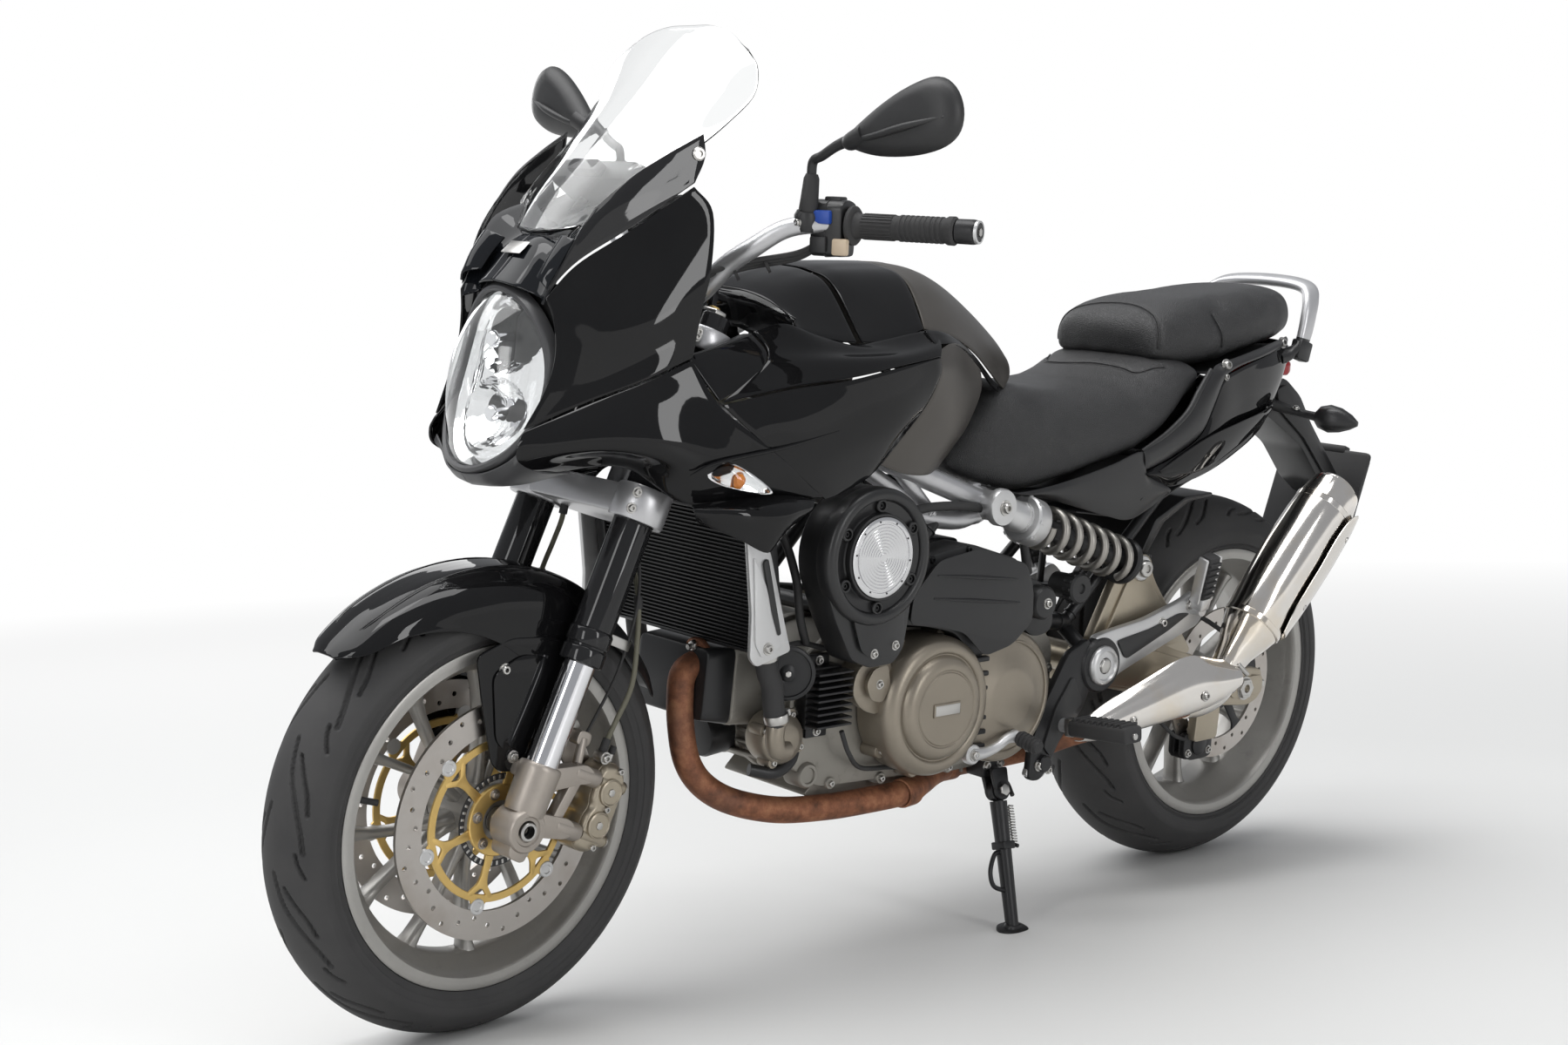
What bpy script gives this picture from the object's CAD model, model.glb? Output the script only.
from math import atan2, cos, pi, radians, sin, sqrt

import bmesh
import bpy
from mathutils import Matrix, Vector


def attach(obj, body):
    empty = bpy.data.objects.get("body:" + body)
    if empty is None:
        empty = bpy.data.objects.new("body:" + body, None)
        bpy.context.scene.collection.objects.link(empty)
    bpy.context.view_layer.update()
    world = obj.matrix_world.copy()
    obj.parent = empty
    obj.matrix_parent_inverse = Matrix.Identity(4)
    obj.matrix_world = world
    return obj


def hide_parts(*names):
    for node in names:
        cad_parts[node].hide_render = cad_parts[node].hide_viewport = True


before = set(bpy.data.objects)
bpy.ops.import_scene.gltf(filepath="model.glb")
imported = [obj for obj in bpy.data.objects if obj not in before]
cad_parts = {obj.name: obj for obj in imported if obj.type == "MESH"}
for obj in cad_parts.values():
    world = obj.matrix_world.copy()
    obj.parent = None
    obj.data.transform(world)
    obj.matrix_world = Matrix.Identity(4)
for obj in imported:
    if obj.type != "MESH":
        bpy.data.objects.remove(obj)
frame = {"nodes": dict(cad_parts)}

bl_info = {
    "name": "Sport touring motorcycle",
    "version": (1, 0, 0),
    "blender": (4, 5, 0),
    "location": "View3D > Sidebar > Motorcycle",
    "description": "Builds the painted, padded and detailed motorcycle over its CAD frame",
    "category": "Object",
}

# Build frame, in millimetres: +X forward, +Y to the rider's left, +Z up, upright and straight
# ahead, rear axle over X = 0.  PARKED takes it to the row frame, in metres.
WHEELBASE = 1463.0
RAKE = radians(24.0)
TRAIL = 103.0
LEAN = radians(6.5)
STEER = radians(3.4)
PITCH = radians(0.0277)
MIDDLE_X, MIDDLE_Y = -689.4, -138.8
LIFT = 0.6545
FRONT_RADIUS, REAR_RADIUS = 299.9, 314.9

MM = Matrix.Scale(0.001, 4)
PARKED = (Matrix.Translation((MIDDLE_X, MIDDLE_Y, 0)) @ Matrix.Rotation(PITCH, 4, "Y")
          @ Matrix.Translation((0, 0, LIFT)) @ Matrix.Rotation(-LEAN, 4, "X"))
STEERING_FOOT = Matrix.Translation((WHEELBASE + TRAIL, 0, 0)) @ Matrix.Rotation(-RAKE, 4, "Y")
STEERED = STEERING_FOOT @ Matrix.Rotation(STEER, 4, "Z") @ STEERING_FOOT.inverted()
ON_FORK = Matrix.Translation((WHEELBASE, 0, FRONT_RADIUS)) @ Matrix.Rotation(-RAKE, 4, "Y")
FIXED = MM @ PARKED
TURNED = MM @ PARKED @ STEERED
FORK = TURNED @ ON_FORK
FRONT_WHEEL = TURNED @ Matrix.Translation((WHEELBASE, 0, FRONT_RADIUS))
REAR_WHEEL = FIXED @ Matrix.Translation((0, 0, REAR_RADIUS))


# ---------------------------------------------------------------- shader writing
class Value:
    """A socket that can be used in Python sums; numbers are worked out before any node is made."""

    def __init__(self, finish, socket):
        self.finish = finish
        self.socket = socket

    def sum_with(self, operation, first, second=None):
        return self.finish.maths(operation, first, second)

    def __add__(self, other):
        return self.sum_with("ADD", self, other)

    def __radd__(self, other):
        return self.sum_with("ADD", other, self)

    def __sub__(self, other):
        return self.sum_with("SUBTRACT", self, other)

    def __rsub__(self, other):
        return self.sum_with("SUBTRACT", other, self)

    def __mul__(self, other):
        return self.sum_with("MULTIPLY", self, other)

    def __rmul__(self, other):
        return self.sum_with("MULTIPLY", other, self)

    def __truediv__(self, other):
        return self.sum_with("DIVIDE", self, other)

    def __gt__(self, other):
        return self.sum_with("GREATER_THAN", self, other)

    def __lt__(self, other):
        return self.sum_with("LESS_THAN", self, other)


class Finish:
    """One material, written as a short run of nodes."""

    def __init__(self, name):
        self.material = bpy.data.materials.new(name)
        self.material.use_nodes = True
        self.tree = self.material.node_tree
        self.tree.nodes.clear()
        self.output = self.tree.nodes.new("ShaderNodeOutputMaterial")

    def node(self, kind, settings=None, inputs=None, output=0):
        """A node of one type, its settings first, then its sockets' values or links."""
        made = self.tree.nodes.new(kind)
        for key, value in (settings or {}).items():
            if key == "stops":
                while len(made.color_ramp.elements) < len(value):
                    made.color_ramp.elements.new(0.5)
                for element, (place, colour) in zip(made.color_ramp.elements, value):
                    element.position = place
                    element.color = (*colour, 1.0)
            else:
                setattr(made, key, value)
        for key, value in (inputs or {}).items():
            if isinstance(value, Value):
                self.tree.links.new(value.socket, made.inputs[key])
            else:
                if isinstance(value, (tuple, list)) and len(value) == 3 and made.inputs[key].type == "RGBA":
                    value = (*value, 1.0)
                made.inputs[key].default_value = value
        return Value(self, made.outputs[output])

    def maths(self, operation, first, second=None):
        inputs = {0: first}
        if second is not None:
            inputs[1] = second
        return self.node("ShaderNodeMath", {"operation": operation}, inputs)

    def clamp(self, value):
        return self.node("ShaderNodeClamp", None, {0: value})

    def place(self, scale=(1, 1, 1), turn=(0, 0, 0), shift=(0, 0, 0)):
        """Object coordinates, in metres, moved, turned and scaled."""
        coordinates = self.node("ShaderNodeTexCoord", None, None, 3)
        return self.node("ShaderNodeMapping", None, {0: coordinates, 1: shift, 2: turn, 3: scale})

    def noise(self, scale, detail=3.0, roughness=0.55, at=None, output=0):
        return self.node("ShaderNodeTexNoise", None,
                         {"Vector": at or self.place(), "Scale": scale, "Detail": detail,
                          "Roughness": roughness}, output)

    def mix(self, share, first, second):
        """Colour between two colours."""
        return self.node("ShaderNodeMix", {"data_type": "RGBA"}, {0: share, 6: first, 7: second}, 2)

    def steps(self, value, low, high):
        """0 below low, 1 above high, straight between."""
        return self.node("ShaderNodeMapRange", None, {0: value, 1: low, 2: high, 3: 0.0, 4: 1.0})

    def bump(self, height, strength, distance):
        return self.node("ShaderNodeBump", None,
                         {"Height": height, "Strength": strength, "Distance": distance})

    def surface(self, **inputs):
        """The Principled shader to the output; returns the material."""
        shader = self.node("ShaderNodeBsdfPrincipled", None, {key.replace("_", " "): value
                                                              for key, value in inputs.items()})
        self.tree.links.new(shader.socket, self.output.inputs[0])
        return self.material


def paint(name, colour, roughness=0.06, metallic=0.0, coat=0.6, dust=0.01):
    """Gloss paint with a clear coat, faint dust and fine wipe marks."""
    made = Finish(name)
    fine = made.noise(900.0, 2.0)
    wide = made.noise(9.0, 3.0)
    marks = made.steps(made.noise(60.0, 4.0, 0.7, made.place((1, 1, 6))), 0.52, 0.72)
    shade = made.mix(made.clamp(wide * dust), colour, (0.45, 0.44, 0.42))
    return made.surface(Base_Color=shade, Roughness=roughness + 0.05 * marks, Metallic=metallic,
                        Specular_IOR_Level=0.0, Coat_Weight=coat, Coat_Roughness=0.03,
                        Normal=made.bump(fine, 0.012, 0.0002))


def plastic(name, colour, roughness=0.45, grain=1400.0, depth=0.25):
    """Moulded plastic with a fine spark-eroded grain."""
    made = Finish(name)
    pits = made.noise(grain, 3.0)
    wide = made.noise(14.0, 3.0)
    shade = made.mix(made.clamp(wide * 0.5), colour, tuple(min(1.0, 1.6 * c + 0.006) for c in colour))
    return made.surface(Base_Color=shade, Roughness=roughness - 0.06 + 0.14 * wide,
                        Normal=made.bump(pits, depth, 0.0003))


def cast(name, colour, roughness=0.42, metallic=0.75, grain=420.0, depth=0.35, grime=0.25):
    """Cast or painted light alloy: sand grain, cloudy tone and darker dirt in patches."""
    made = Finish(name)
    sand = made.noise(grain, 4.0, 0.65)
    cloud = made.noise(11.0, 4.0)
    dirt = made.steps(made.noise(26.0, 6.0, 0.7), 0.56, 0.78)
    base = made.mix(made.clamp(cloud * 0.8), tuple(0.82 * c for c in colour),
                    tuple(min(1, 1.15 * c) for c in colour))
    shade = made.mix(dirt * grime, base, (0.035, 0.03, 0.025))
    return made.surface(Base_Color=shade, Roughness=roughness - 0.05 + 0.16 * cloud, Metallic=metallic,
                        Normal=made.bump(sand, depth, 0.0004))


def steel(name, colour, roughness=0.22, brushed=(1, 1, 1), depth=0.12, stain=None):
    """Bare metal, with hair lines that run across the stretched direction."""
    made = Finish(name)
    lines = made.noise(700.0, 3.0, 0.6, made.place(brushed))
    cloud = made.noise(16.0, 4.0)
    base = made.mix(made.clamp(cloud), tuple(0.85 * c for c in colour), colour)
    if stain:
        patches = made.steps(made.noise(9.0, 4.0, 0.6), 0.5, 0.72)
        base = made.mix(patches * 0.7, base, stain)
    return made.surface(Base_Color=base, Roughness=roughness + 0.12 * lines - 0.03, Metallic=1.0,
                        Normal=made.bump(lines, depth, 0.0002))


def rubber(name, colour=(0.016, 0.016, 0.017), roughness=0.62, grain=900.0, depth=0.35, dusty=0.12):
    made = Finish(name)
    pores = made.noise(grain, 3.0, 0.6)
    cloud = made.noise(18.0, 5.0, 0.62)
    shade = made.mix(made.clamp(cloud * dusty), colour, (0.22, 0.21, 0.2))
    return made.surface(Base_Color=shade, Roughness=roughness + 0.2 * cloud,
                        Normal=made.bump(pores, depth, 0.0003))


def rusty(name):
    """Bare header pipe: brown scale, orange bloom and darker burnt stretches."""
    made = Finish(name)
    bloom = made.noise(38.0, 7.0, 0.68)
    burnt = made.noise(7.0, 3.0)
    grit = made.noise(800.0, 4.0, 0.7)
    base = made.node("ShaderNodeValToRGB",
                     {"stops": [(0.3, (0.10, 0.045, 0.026)), (0.5, (0.26, 0.105, 0.055)),
                                                     (0.62, (0.36, 0.165, 0.085)),
                                (0.8, (0.20, 0.12, 0.08))]},
                     {0: bloom})
    shade = made.mix(made.steps(burnt, 0.45, 0.7) * 0.55, base, (0.07, 0.05, 0.045))
    return made.surface(Base_Color=shade, Roughness=0.42 + 0.3 * bloom, Metallic=0.55,
                        Normal=made.bump(grit, 0.35, 0.0003))


def vinyl(name, colour):
    """Seat cover: black vinyl with a leather-like grain of small cells."""
    made = Finish(name)
    cells = made.node("ShaderNodeTexVoronoi", {"feature": "DISTANCE_TO_EDGE"},
                      {"Vector": made.place(), "Scale": 420.0}, 0)
    folds = made.noise(24.0, 4.0, 0.6)
    grain = made.steps(cells, 0.0, 0.28) + made.noise(1800.0, 2.0) * 0.3
    shade = made.mix(made.clamp(folds), colour, tuple(1.7 * c for c in colour))
    return made.surface(Base_Color=shade, Roughness=0.36 + 0.12 * folds, Normal=made.bump(grain, 0.6, 0.0008))


def clear(name, colour=(0.97, 0.98, 0.98), roughness=0.0, tint=None):
    """Clear moulded plastic with faint hazing."""
    made = Finish(name)
    haze = made.steps(made.noise(30.0, 4.0), 0.5, 0.8)
    return made.surface(Base_Color=made.mix(haze * 0.25, colour, tint or (0.9, 0.92, 0.92)),
                        Roughness=roughness + 0.02 * haze, Transmission_Weight=1.0, IOR=1.46)


MATERIALS = {}


def materials():
    """Every finish of the motorcycle, by the name that its pieces use."""
    if MATERIALS:
        return MATERIALS
    look = bpy.context.scene.tourer_look
    MATERIALS.update({
        "gloss black": paint("gloss_black_paint", tuple(look.bodywork), 0.05),
        "bezel grey": plastic("bezel_grey_plastic", (0.05, 0.05, 0.052), 0.4, 900.0, 0.1),
        "beak black": paint("beak_black_panel", (0.006, 0.007, 0.009), 0.04),
        "visor grey": plastic("dash_visor_plastic", (0.03, 0.03, 0.031), 0.36, 1200.0, 0.15),
        "satin black": plastic("satin_black_plastic", (0.010, 0.010, 0.0105), 0.33, 1200.0, 0.12),
        "smoke black": paint("smoke_black_panel", (0.012, 0.012, 0.013), 0.1, 0.0, 0.7),
        "satin grey": cast("satin_bronze_grey_paint", tuple(look.tank_rear), 0.34, 0.55, 900.0, 0.08, 0.05),
        "matte black": plastic("matte_black_plastic", (0.012, 0.012, 0.0125), 0.46),
        "black metal": cast("black_painted_metal", (0.014, 0.014, 0.015), 0.36, 0.2, 500.0, 0.15, 0.12),
        "bronze": cast("bronze_painted_cover", tuple(look.engine_covers), 0.38, 0.72, 380.0, 0.22, 0.12),
        "champagne": cast("champagne_anodised", tuple(look.swingarm), 0.36, 0.8, 500.0, 0.15, 0.1),
        "fork cast": cast("fork_foot_casting", (0.40, 0.36, 0.32), 0.38, 0.7, 380.0, 0.25, 0.1),
        "silver paint": cast("silver_frame_paint", tuple(look.frame), 0.33, 0.75, 700.0, 0.1, 0.08),
        "bright cast": cast("bright_cast_alloy", (0.62, 0.62, 0.62), 0.36, 0.8, 380.0, 0.25, 0.12),
        "wheel": cast("wheel_casting", tuple(look.rims), 0.36, 0.7, 500.0, 0.15, 0.22),
        "engine": cast("raw_crankcase", (0.30, 0.285, 0.255), 0.5, 0.7, 300.0, 0.4, 0.5),
        "polished": steel("polished_stainless", (0.80, 0.77, 0.73), 0.1, (1, 1, 1), 0.03, (0.72, 0.62, 0.48)),
        "chrome": steel("hard_chrome", (0.82, 0.82, 0.84), 0.06, (1, 1, 1), 0.01),
        "bare steel": steel("bare_steel", (0.55, 0.54, 0.52), 0.28),
        "disc steel": steel("brake_band_steel", (0.52, 0.49, 0.46), 0.3, (1, 1, 1), 0.2, (0.36, 0.31, 0.27)),
        "gold": cast("gold_anodised_carrier", tuple(look.disc_carriers), 0.34, 0.85, 700.0, 0.08, 0.1),
        "brushed": steel("turned_aluminium", (0.72, 0.72, 0.73), 0.2, (1, 1, 1), 0.1),
        "chain steel": steel("oiled_chain", (0.22, 0.2, 0.17), 0.4),
        "header": rusty("burnt_header"),
        "tyre": rubber("tyre_rubber", (0.02, 0.02, 0.021), 0.6, 700.0, 0.4, 0.16),
        "rubber": rubber("black_rubber"),
        "hose": rubber("braided_hose", (0.12, 0.115, 0.08), 0.5, 1500.0, 0.6, 0.1),
        "vinyl": vinyl("seat_vinyl", tuple(look.saddle)),
        "glass": clear("clear_screen"),
        "lens": clear("lamp_lens"),
        "reflector": steel("mirror_reflector", (0.86, 0.86, 0.87), 0.05, (1, 1, 1), 0.0),
        "amber": paint("amber_lens", (0.75, 0.22, 0.01), 0.1),
        "red": paint("red_lens", (0.30, 0.006, 0.008), 0.1),
        "blue": plastic("blue_switch", (0.01, 0.05, 0.28), 0.4),
        "beige": plastic("beige_switch", (0.45, 0.36, 0.26), 0.4),
        "spring grey": cast("spring_grey_paint", (0.33, 0.315, 0.29), 0.34, 0.85, 700.0, 0.1, 0.1),
        "grey bar": cast("titanium_bar", (0.28, 0.275, 0.27), 0.32, 0.8, 700.0, 0.1, 0.05),
        "radiator core": plastic("radiator_core", (0.008, 0.008, 0.008), 0.55),
    })
    return MATERIALS


def finish_node(name, finish):
    """Gives a CAD node one finish."""
    piece = frame["nodes"][name]
    piece.data.materials.clear()
    piece.data.materials.append(materials()[finish])
    return piece


NODE_FINISHES = {
    "fork_feet": "fork cast", "fork_tubes": "black metal", "fork_clamps": "bright cast",
                 "front_axle": "bare steel",
    "handlebar": "grey bar", "hand_controls": "rubber", "mirrors": "matte black",
                 "front_fender": "gloss black",
    "front_calipers": "champagne", "brake_hoses": "hose", "front_rim": "wheel", "front_tyre": "tyre",
    "front_discs": "disc steel", "frame": "silver paint", "engine_block": "engine",
                 "transmission_covers": "bronze",
    "intake_drum": "black metal", "radiator": "radiator core", "exhaust_pipes": "header",
                 "silencer": "polished",
    "swingarm": "champagne", "rear_axle": "bare steel", "rear_shock": "bright cast",
                 "nose_fairing": "gloss black",
    "side_fairings": "gloss black", "windscreen": "glass", "headlight": "reflector",
                 "instrument_panel": "matte black",
    "storage_box": "satin grey", "storage_lid": "gloss black", "rider_seat": "vinyl", "pillion_seat": "vinyl",
    "tail_cowl": "gloss black", "grab_rail": "bright cast", "plate_carrier": "matte black",
                 "rear_lights": "red",
    "footpegs": "bright cast", "foot_controls": "black metal", "rear_caliper": "champagne",
    "drive_chain": "chain steel", "horn_and_regulator": "black metal", "side_stand": "black metal",
    "stand_bracket": "black metal", "rear_rim": "wheel", "rear_tyre": "tyre", "rear_disc": "disc steel",
    "rear_sprocket": "bare steel",
}


# ---------------------------------------------------------------- mesh writing
def curve_through(points, steps):
    """A smooth run of points through the given ones."""
    points = [Vector(p) for p in points]
    if len(points) == 2:
        return [points[0].lerp(points[1], k / steps) for k in range(steps + 1)]
    ends = [points[0] * 2 - points[1]] + points + [points[-1] * 2 - points[-2]]
    run = []
    for k in range(1, len(ends) - 2):
        before, start, stop, after = ends[k - 1:k + 3]
        for step in range(steps):
            t = step / steps
            run.append(0.5 * (2 * start + (stop - before) * t
                              + (2 * before - 5 * start + 4 * stop - after) * t * t
                              + (3 * start - before - 3 * stop + after) * t ** 3))
    run.append(points[-1])
    return run


def surface_through(rows, along=6, across=5):
    """Grid of points on a smooth surface through rows of control points."""
    lines = [curve_through(row, along) for row in rows]
    columns = [curve_through(column, across) for column in zip(*lines)]
    return [list(row) for row in zip(*columns)]


def frame_at(origin, axis, hint=(0, 0, 1)):
    """Frame with its Z along the axis and its X towards the hint as far as it can."""
    z = Vector(axis).normalized()
    hint = Vector(hint)
    if abs(hint.normalized().dot(z)) > 0.99:
        hint = Vector((1, 0, 0))
    y = z.cross(hint).normalized()
    x = y.cross(z)
    made = Matrix((x, y, z)).transposed().to_4x4()
    made.translation = Vector(origin)
    return made


def circle(radius, count, turn=0.0):
    return [(radius * cos(2 * pi * k / count + turn),
             radius * sin(2 * pi * k / count + turn)) for k in range(count)]


def rounded(points, radius, steps=3):
    """Polygon with its corners rounded."""
    points = [Vector((p[0], p[1])) for p in points]
    out = []
    for k, corner in enumerate(points):
        before, after = points[k - 1], points[(k + 1) % len(points)]
        reach = min(radius, (before - corner).length * 0.45, (after - corner).length * 0.45)
        start = corner + (before - corner).normalized() * reach
        stop = corner + (after - corner).normalized() * reach
        for step in range(steps + 1):
            t = step / steps
            out.append(((1 - t) ** 2 * start + 2 * t * (1 - t) * corner + t * t * stop)[:])
    return out


def smooth_outline(points, steps=4):
    """Closed smooth outline through the points."""
    points = [Vector((p[0], p[1], 0)) for p in points]
    count = len(points)
    out = []
    for k in range(count):
        before, start = points[k - 1], points[k]
        stop, after = points[(k + 1) % count], points[(k + 2) % count]
        for step in range(steps):
            t = step / steps
            spot = 0.5 * (2 * start + (stop - before) * t
                          + (2 * before - 5 * start + 4 * stop - after) * t * t
                          + (3 * start - before - 3 * stop + after) * t ** 3)
            out.append((spot.x, spot.y))
    return out


class Piece:
    """One visual piece: closed shells with a finish each, gathered into a single mesh."""

    def __init__(self, name, body, place=FIXED, stands_for=()):
        self.name = name
        self.body = body
        self.place = place
        self.stands_for = stands_for
        self.mesh = bmesh.new()
        self.finishes = []

    def finish_index(self, finish):
        if finish not in self.finishes:
            self.finishes.append(finish)
        return self.finishes.index(finish)

    def add(self, vertices, faces, finish, at=None, bevel=0.0, both=False, segments=2):
        """One shell; bevel rounds its sharp edges; both adds its mirror image across Y."""
        sides = (False, True) if both else (False,)
        for flip in sides:
            corners = []
            for vertex in vertices:
                spot = Vector(vertex)
                if at is not None:
                    spot = at @ spot
                if flip:
                    spot.y = -spot.y
                corners.append(self.mesh.verts.new(spot))
            made = []
            for face in faces:
                ring = []
                for index in face:
                    if corners[index] not in ring:
                        ring.append(corners[index])
                if len(ring) > 2:
                    made.append(self.mesh.faces.new(ring))
            slot = self.finish_index(finish)
            for face in made:
                face.material_index = slot
                face.smooth = True
            bmesh.ops.recalc_face_normals(self.mesh, faces=made)
            if bevel:
                sharp = set()
                for face in made:
                    for edge in face.edges:
                        if len(edge.link_faces) == 2 and edge.calc_face_angle(0.0) > radians(32):
                            sharp.add(edge)
                bmesh.ops.bevel(self.mesh, geom=list(sharp), offset=bevel, offset_type="OFFSET",
                                segments=segments,
                                affect="EDGES", profile=0.5, clamp_overlap=True, material=-1)

    def loft(self, sections, finish, at=None, caps=True, bevel=0.0, both=False, closed=True, around=False):
        """Skin over closed loops of equal count; around joins the last loop to the first."""
        count = len(sections[0])
        vertices = [p for section in sections for p in section]
        faces = []
        spans = len(sections) if around else len(sections) - 1
        for k in range(spans):
            low, high = k * count, ((k + 1) % len(sections)) * count
            for j in range(count if closed else count - 1):
                n = (j + 1) % count
                faces.append((low + j, low + n, high + n, high + j))
        if caps and not around:
            faces.append(tuple(range(count)))
            top = (len(sections) - 1) * count
            faces.append(tuple(range(top, top + count)))
        self.add(vertices, faces, finish, at, bevel, both)

    def lathe(self, profile, finish, at=None, count=40, both=False, bevel=0.0, ring=False):
        """Profile of (radius, height) turned about the local Z; a ring joins its last point to its first."""
        sections = [[(r * cos(2 * pi * k / count), r * sin(2 * pi * k / count), h) for r, h in profile]
                    for k in range(count)]
        size = len(profile)
        vertices = [p for section in sections for p in section]
        faces = []
        for k in range(count):
            low, high = k * size, ((k + 1) % count) * size
            for j in range(size if ring else size - 1):
                n = (j + 1) % size
                faces.append((low + j, high + j, high + n, low + n))
        if not ring:
            for end in (0, size - 1):
                if profile[end][0] > 0:
                    faces.append(tuple(k * size + end for k in range(count)))
        if not ring and (profile[0][0] == 0 or profile[-1][0] == 0):
            first = {}
            keep, index = [], {}
            for number, vertex in enumerate(vertices):
                j = number % size
                if profile[j][0] == 0 and j in (0, size - 1):
                    if j not in first:
                        first[j] = len(keep)
                        keep.append(vertex)
                    index[number] = first[j]
                else:
                    index[number] = len(keep)
                    keep.append(vertex)
            vertices = keep
            faces = [tuple(index[v] for v in face) for face in faces]
        self.add(vertices, faces, finish, at, bevel, both)

    def prism(self, outline, low, high, finish, at=None, bevel=0.0, both=False, taper=0.0):
        """Outline in the local XY raised from low to high; taper draws the top in."""
        count = len(outline)
        middle = Vector((sum(p[0] for p in outline) / count, sum(p[1] for p in outline) / count))
        top = []
        for p in outline:
            away = Vector((p[0], p[1])) - middle
            reach = max(0.01, away.length)
            top.append(middle + away * max(0.0, (reach - taper) / reach))
        self.loft([[(p[0], p[1], low) for p in outline], [(p[0], p[1], high) for p in top]],
                  finish, at, bevel=bevel, both=both)

    def block(self, low, high, finish, at=None, bevel=1.0, both=False):
        outline = [(low[0], low[1]), (high[0], low[1]), (high[0], high[1]), (low[0], high[1])]
        self.prism(outline, low[2], high[2], finish, at, bevel, both)

    def rod(self, start, stop, radius, finish, radius_end=None, count=24, bevel=0.6, both=False):
        """Round bar between two points."""
        start, stop = Vector(start), Vector(stop)
        length = (stop - start).length
        end = radius if radius_end is None else radius_end
        self.lathe([(0, 0), (radius, 0), (end, length), (0, length)], finish, frame_at(start, stop - start),
                   count,
                   both, bevel)

    def tube(self, path, radius, finish, count=16, steps=8, both=False, smooth=True, squash=1.0, at=None):
        """Round bar along a smooth path; radius is a number or one number per given point."""
        spots = curve_through(path, steps) if smooth else [Vector(p) for p in path]
        if isinstance(radius, (int, float)):
            radii = [radius] * len(spots)
        else:
            radii = [r.x for r in curve_through([(r, 0, 0) for r in radius], steps)]
        sections = []
        side = None
        for k, spot in enumerate(spots):
            way = (spots[min(k + 1, len(spots) - 1)] - spots[max(k - 1, 0)]).normalized()
            if side is None:
                side = way.cross(Vector((0, 0, 1)))
                if side.length < 0.2:
                    side = way.cross(Vector((0, 1, 0)))
            side = (side - way * side.dot(way)).normalized()
            up = way.cross(side)
            turns = [2 * pi * j / count for j in range(count)]
            sections.append([spot + (side * cos(turn) + up * squash * sin(turn)) * radii[k]
                             for turn in turns])
        self.loft(sections, finish, at, both=both)

    def panel(self, rows, finish, thick=3.0, along=6, across=5, both=False, edge=1.2):
        """Moulded panel through rows of control points, with rolled edges."""
        grid = surface_through(rows, along, across)
        self.sheet(grid, finish, thick, both, edge)

    def sheet(self, grid, finish, thick=3.0, both=False, edge=1.2):
        """Panel over a grid of points: the outer skin, an inner skin and a rounded rim."""
        down, wide = len(grid), len(grid[0])
        normals = []
        for i in range(down):
            line = []
            for j in range(wide):
                u = grid[i][min(j + 1, wide - 1)] - grid[i][max(j - 1, 0)]
                v = grid[min(i + 1, down - 1)][j] - grid[max(i - 1, 0)][j]
                n = u.cross(v)
                line.append(n.normalized() if n.length > 1e-9 else Vector((0, 1, 0)))
            normals.append(line)
        middle = grid[down // 2][wide // 2]
        outward = Vector((0, middle.y, 0)) + Vector((0.01, 0, 0.01))
        flip = -1.0 if normals[down // 2][wide // 2].dot(outward) < 0 else 1.0
        rim = [(0, j) for j in range(wide)] + [(i, wide - 1) for i in range(1, down)]
        rim += [(down - 1, j) for j in range(wide - 2, -1, -1)] + [(i, 0) for i in range(down - 2, 0, -1)]
        vertices = [grid[i][j] for i in range(down) for j in range(wide)]
        under = [grid[i][j] - normals[i][j] * thick * flip for i in range(down) for j in range(wide)]
        faces = []
        for i in range(down - 1):
            for j in range(wide - 1):
                a = i * wide + j
                faces.append((a, a + 1, a + wide + 1, a + wide))
        size = len(vertices)
        faces += [tuple(v + size for v in face) for face in faces[:]]
        vertices = vertices + under
        for k, (i, j) in enumerate(rim):
            n, m = rim[(k + 1) % len(rim)]
            a, b = i * wide + j, n * wide + m
            faces.append((a, b, b + size, a + size))
        self.add(vertices, faces, finish, None, edge, both, 2)

    def done(self):
        """Makes the object, in place, riding on its body and standing for its CAD nodes."""
        self.mesh.transform(self.place)
        data = bpy.data.meshes.new(self.name)
        self.mesh.to_mesh(data)
        self.mesh.free()
        data.set_sharp_from_angle(angle=radians(40))
        for finish in self.finishes:
            data.materials.append(materials()[finish])
        made = bpy.data.objects.new(self.name, data)
        bpy.context.scene.collection.objects.link(made)
        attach(made, self.body)
        if self.stands_for:
            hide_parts(*self.stands_for)
        return made


def whole_panel(piece, rows, finish, thick=3.5, along=8, across=6):
    """Panel that crosses the middle, from rows given for its left half."""
    grid = surface_through(rows, along, across)
    piece.sheet([[Vector((p.x, -p.y, p.z)) for p in reversed(row[1:])] + row for row in grid], finish, thick)


# ---------------------------------------------------------------- bodywork
LAMP_MIDDLE = 866.0
LAMP_HALF = (100.0, 112.0)


def lamp_rim(angle, grow=0.0):
    """Point on the rim of the oval headlight; angle 0 is its top."""
    across = (LAMP_HALF[0] + grow) * sin(angle) * (1.0 - 0.10 * cos(angle))
    height = LAMP_MIDDLE + (LAMP_HALF[1] + grow) * cos(angle)
    return Vector((1457 - 24 * cos(angle) - 30 * sin(angle) ** 2, across, height))


def lamp_front(angle, reach):
    """Point on the lens, from its middle (reach 0) to the rim (reach 1)."""
    rim = lamp_rim(angle)
    middle = Vector((1490, 0, LAMP_MIDDLE - 6))
    spot = middle.lerp(rim, reach)
    spot.x = middle.x + (rim.x - middle.x) * reach ** 2.2
    return spot


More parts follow.
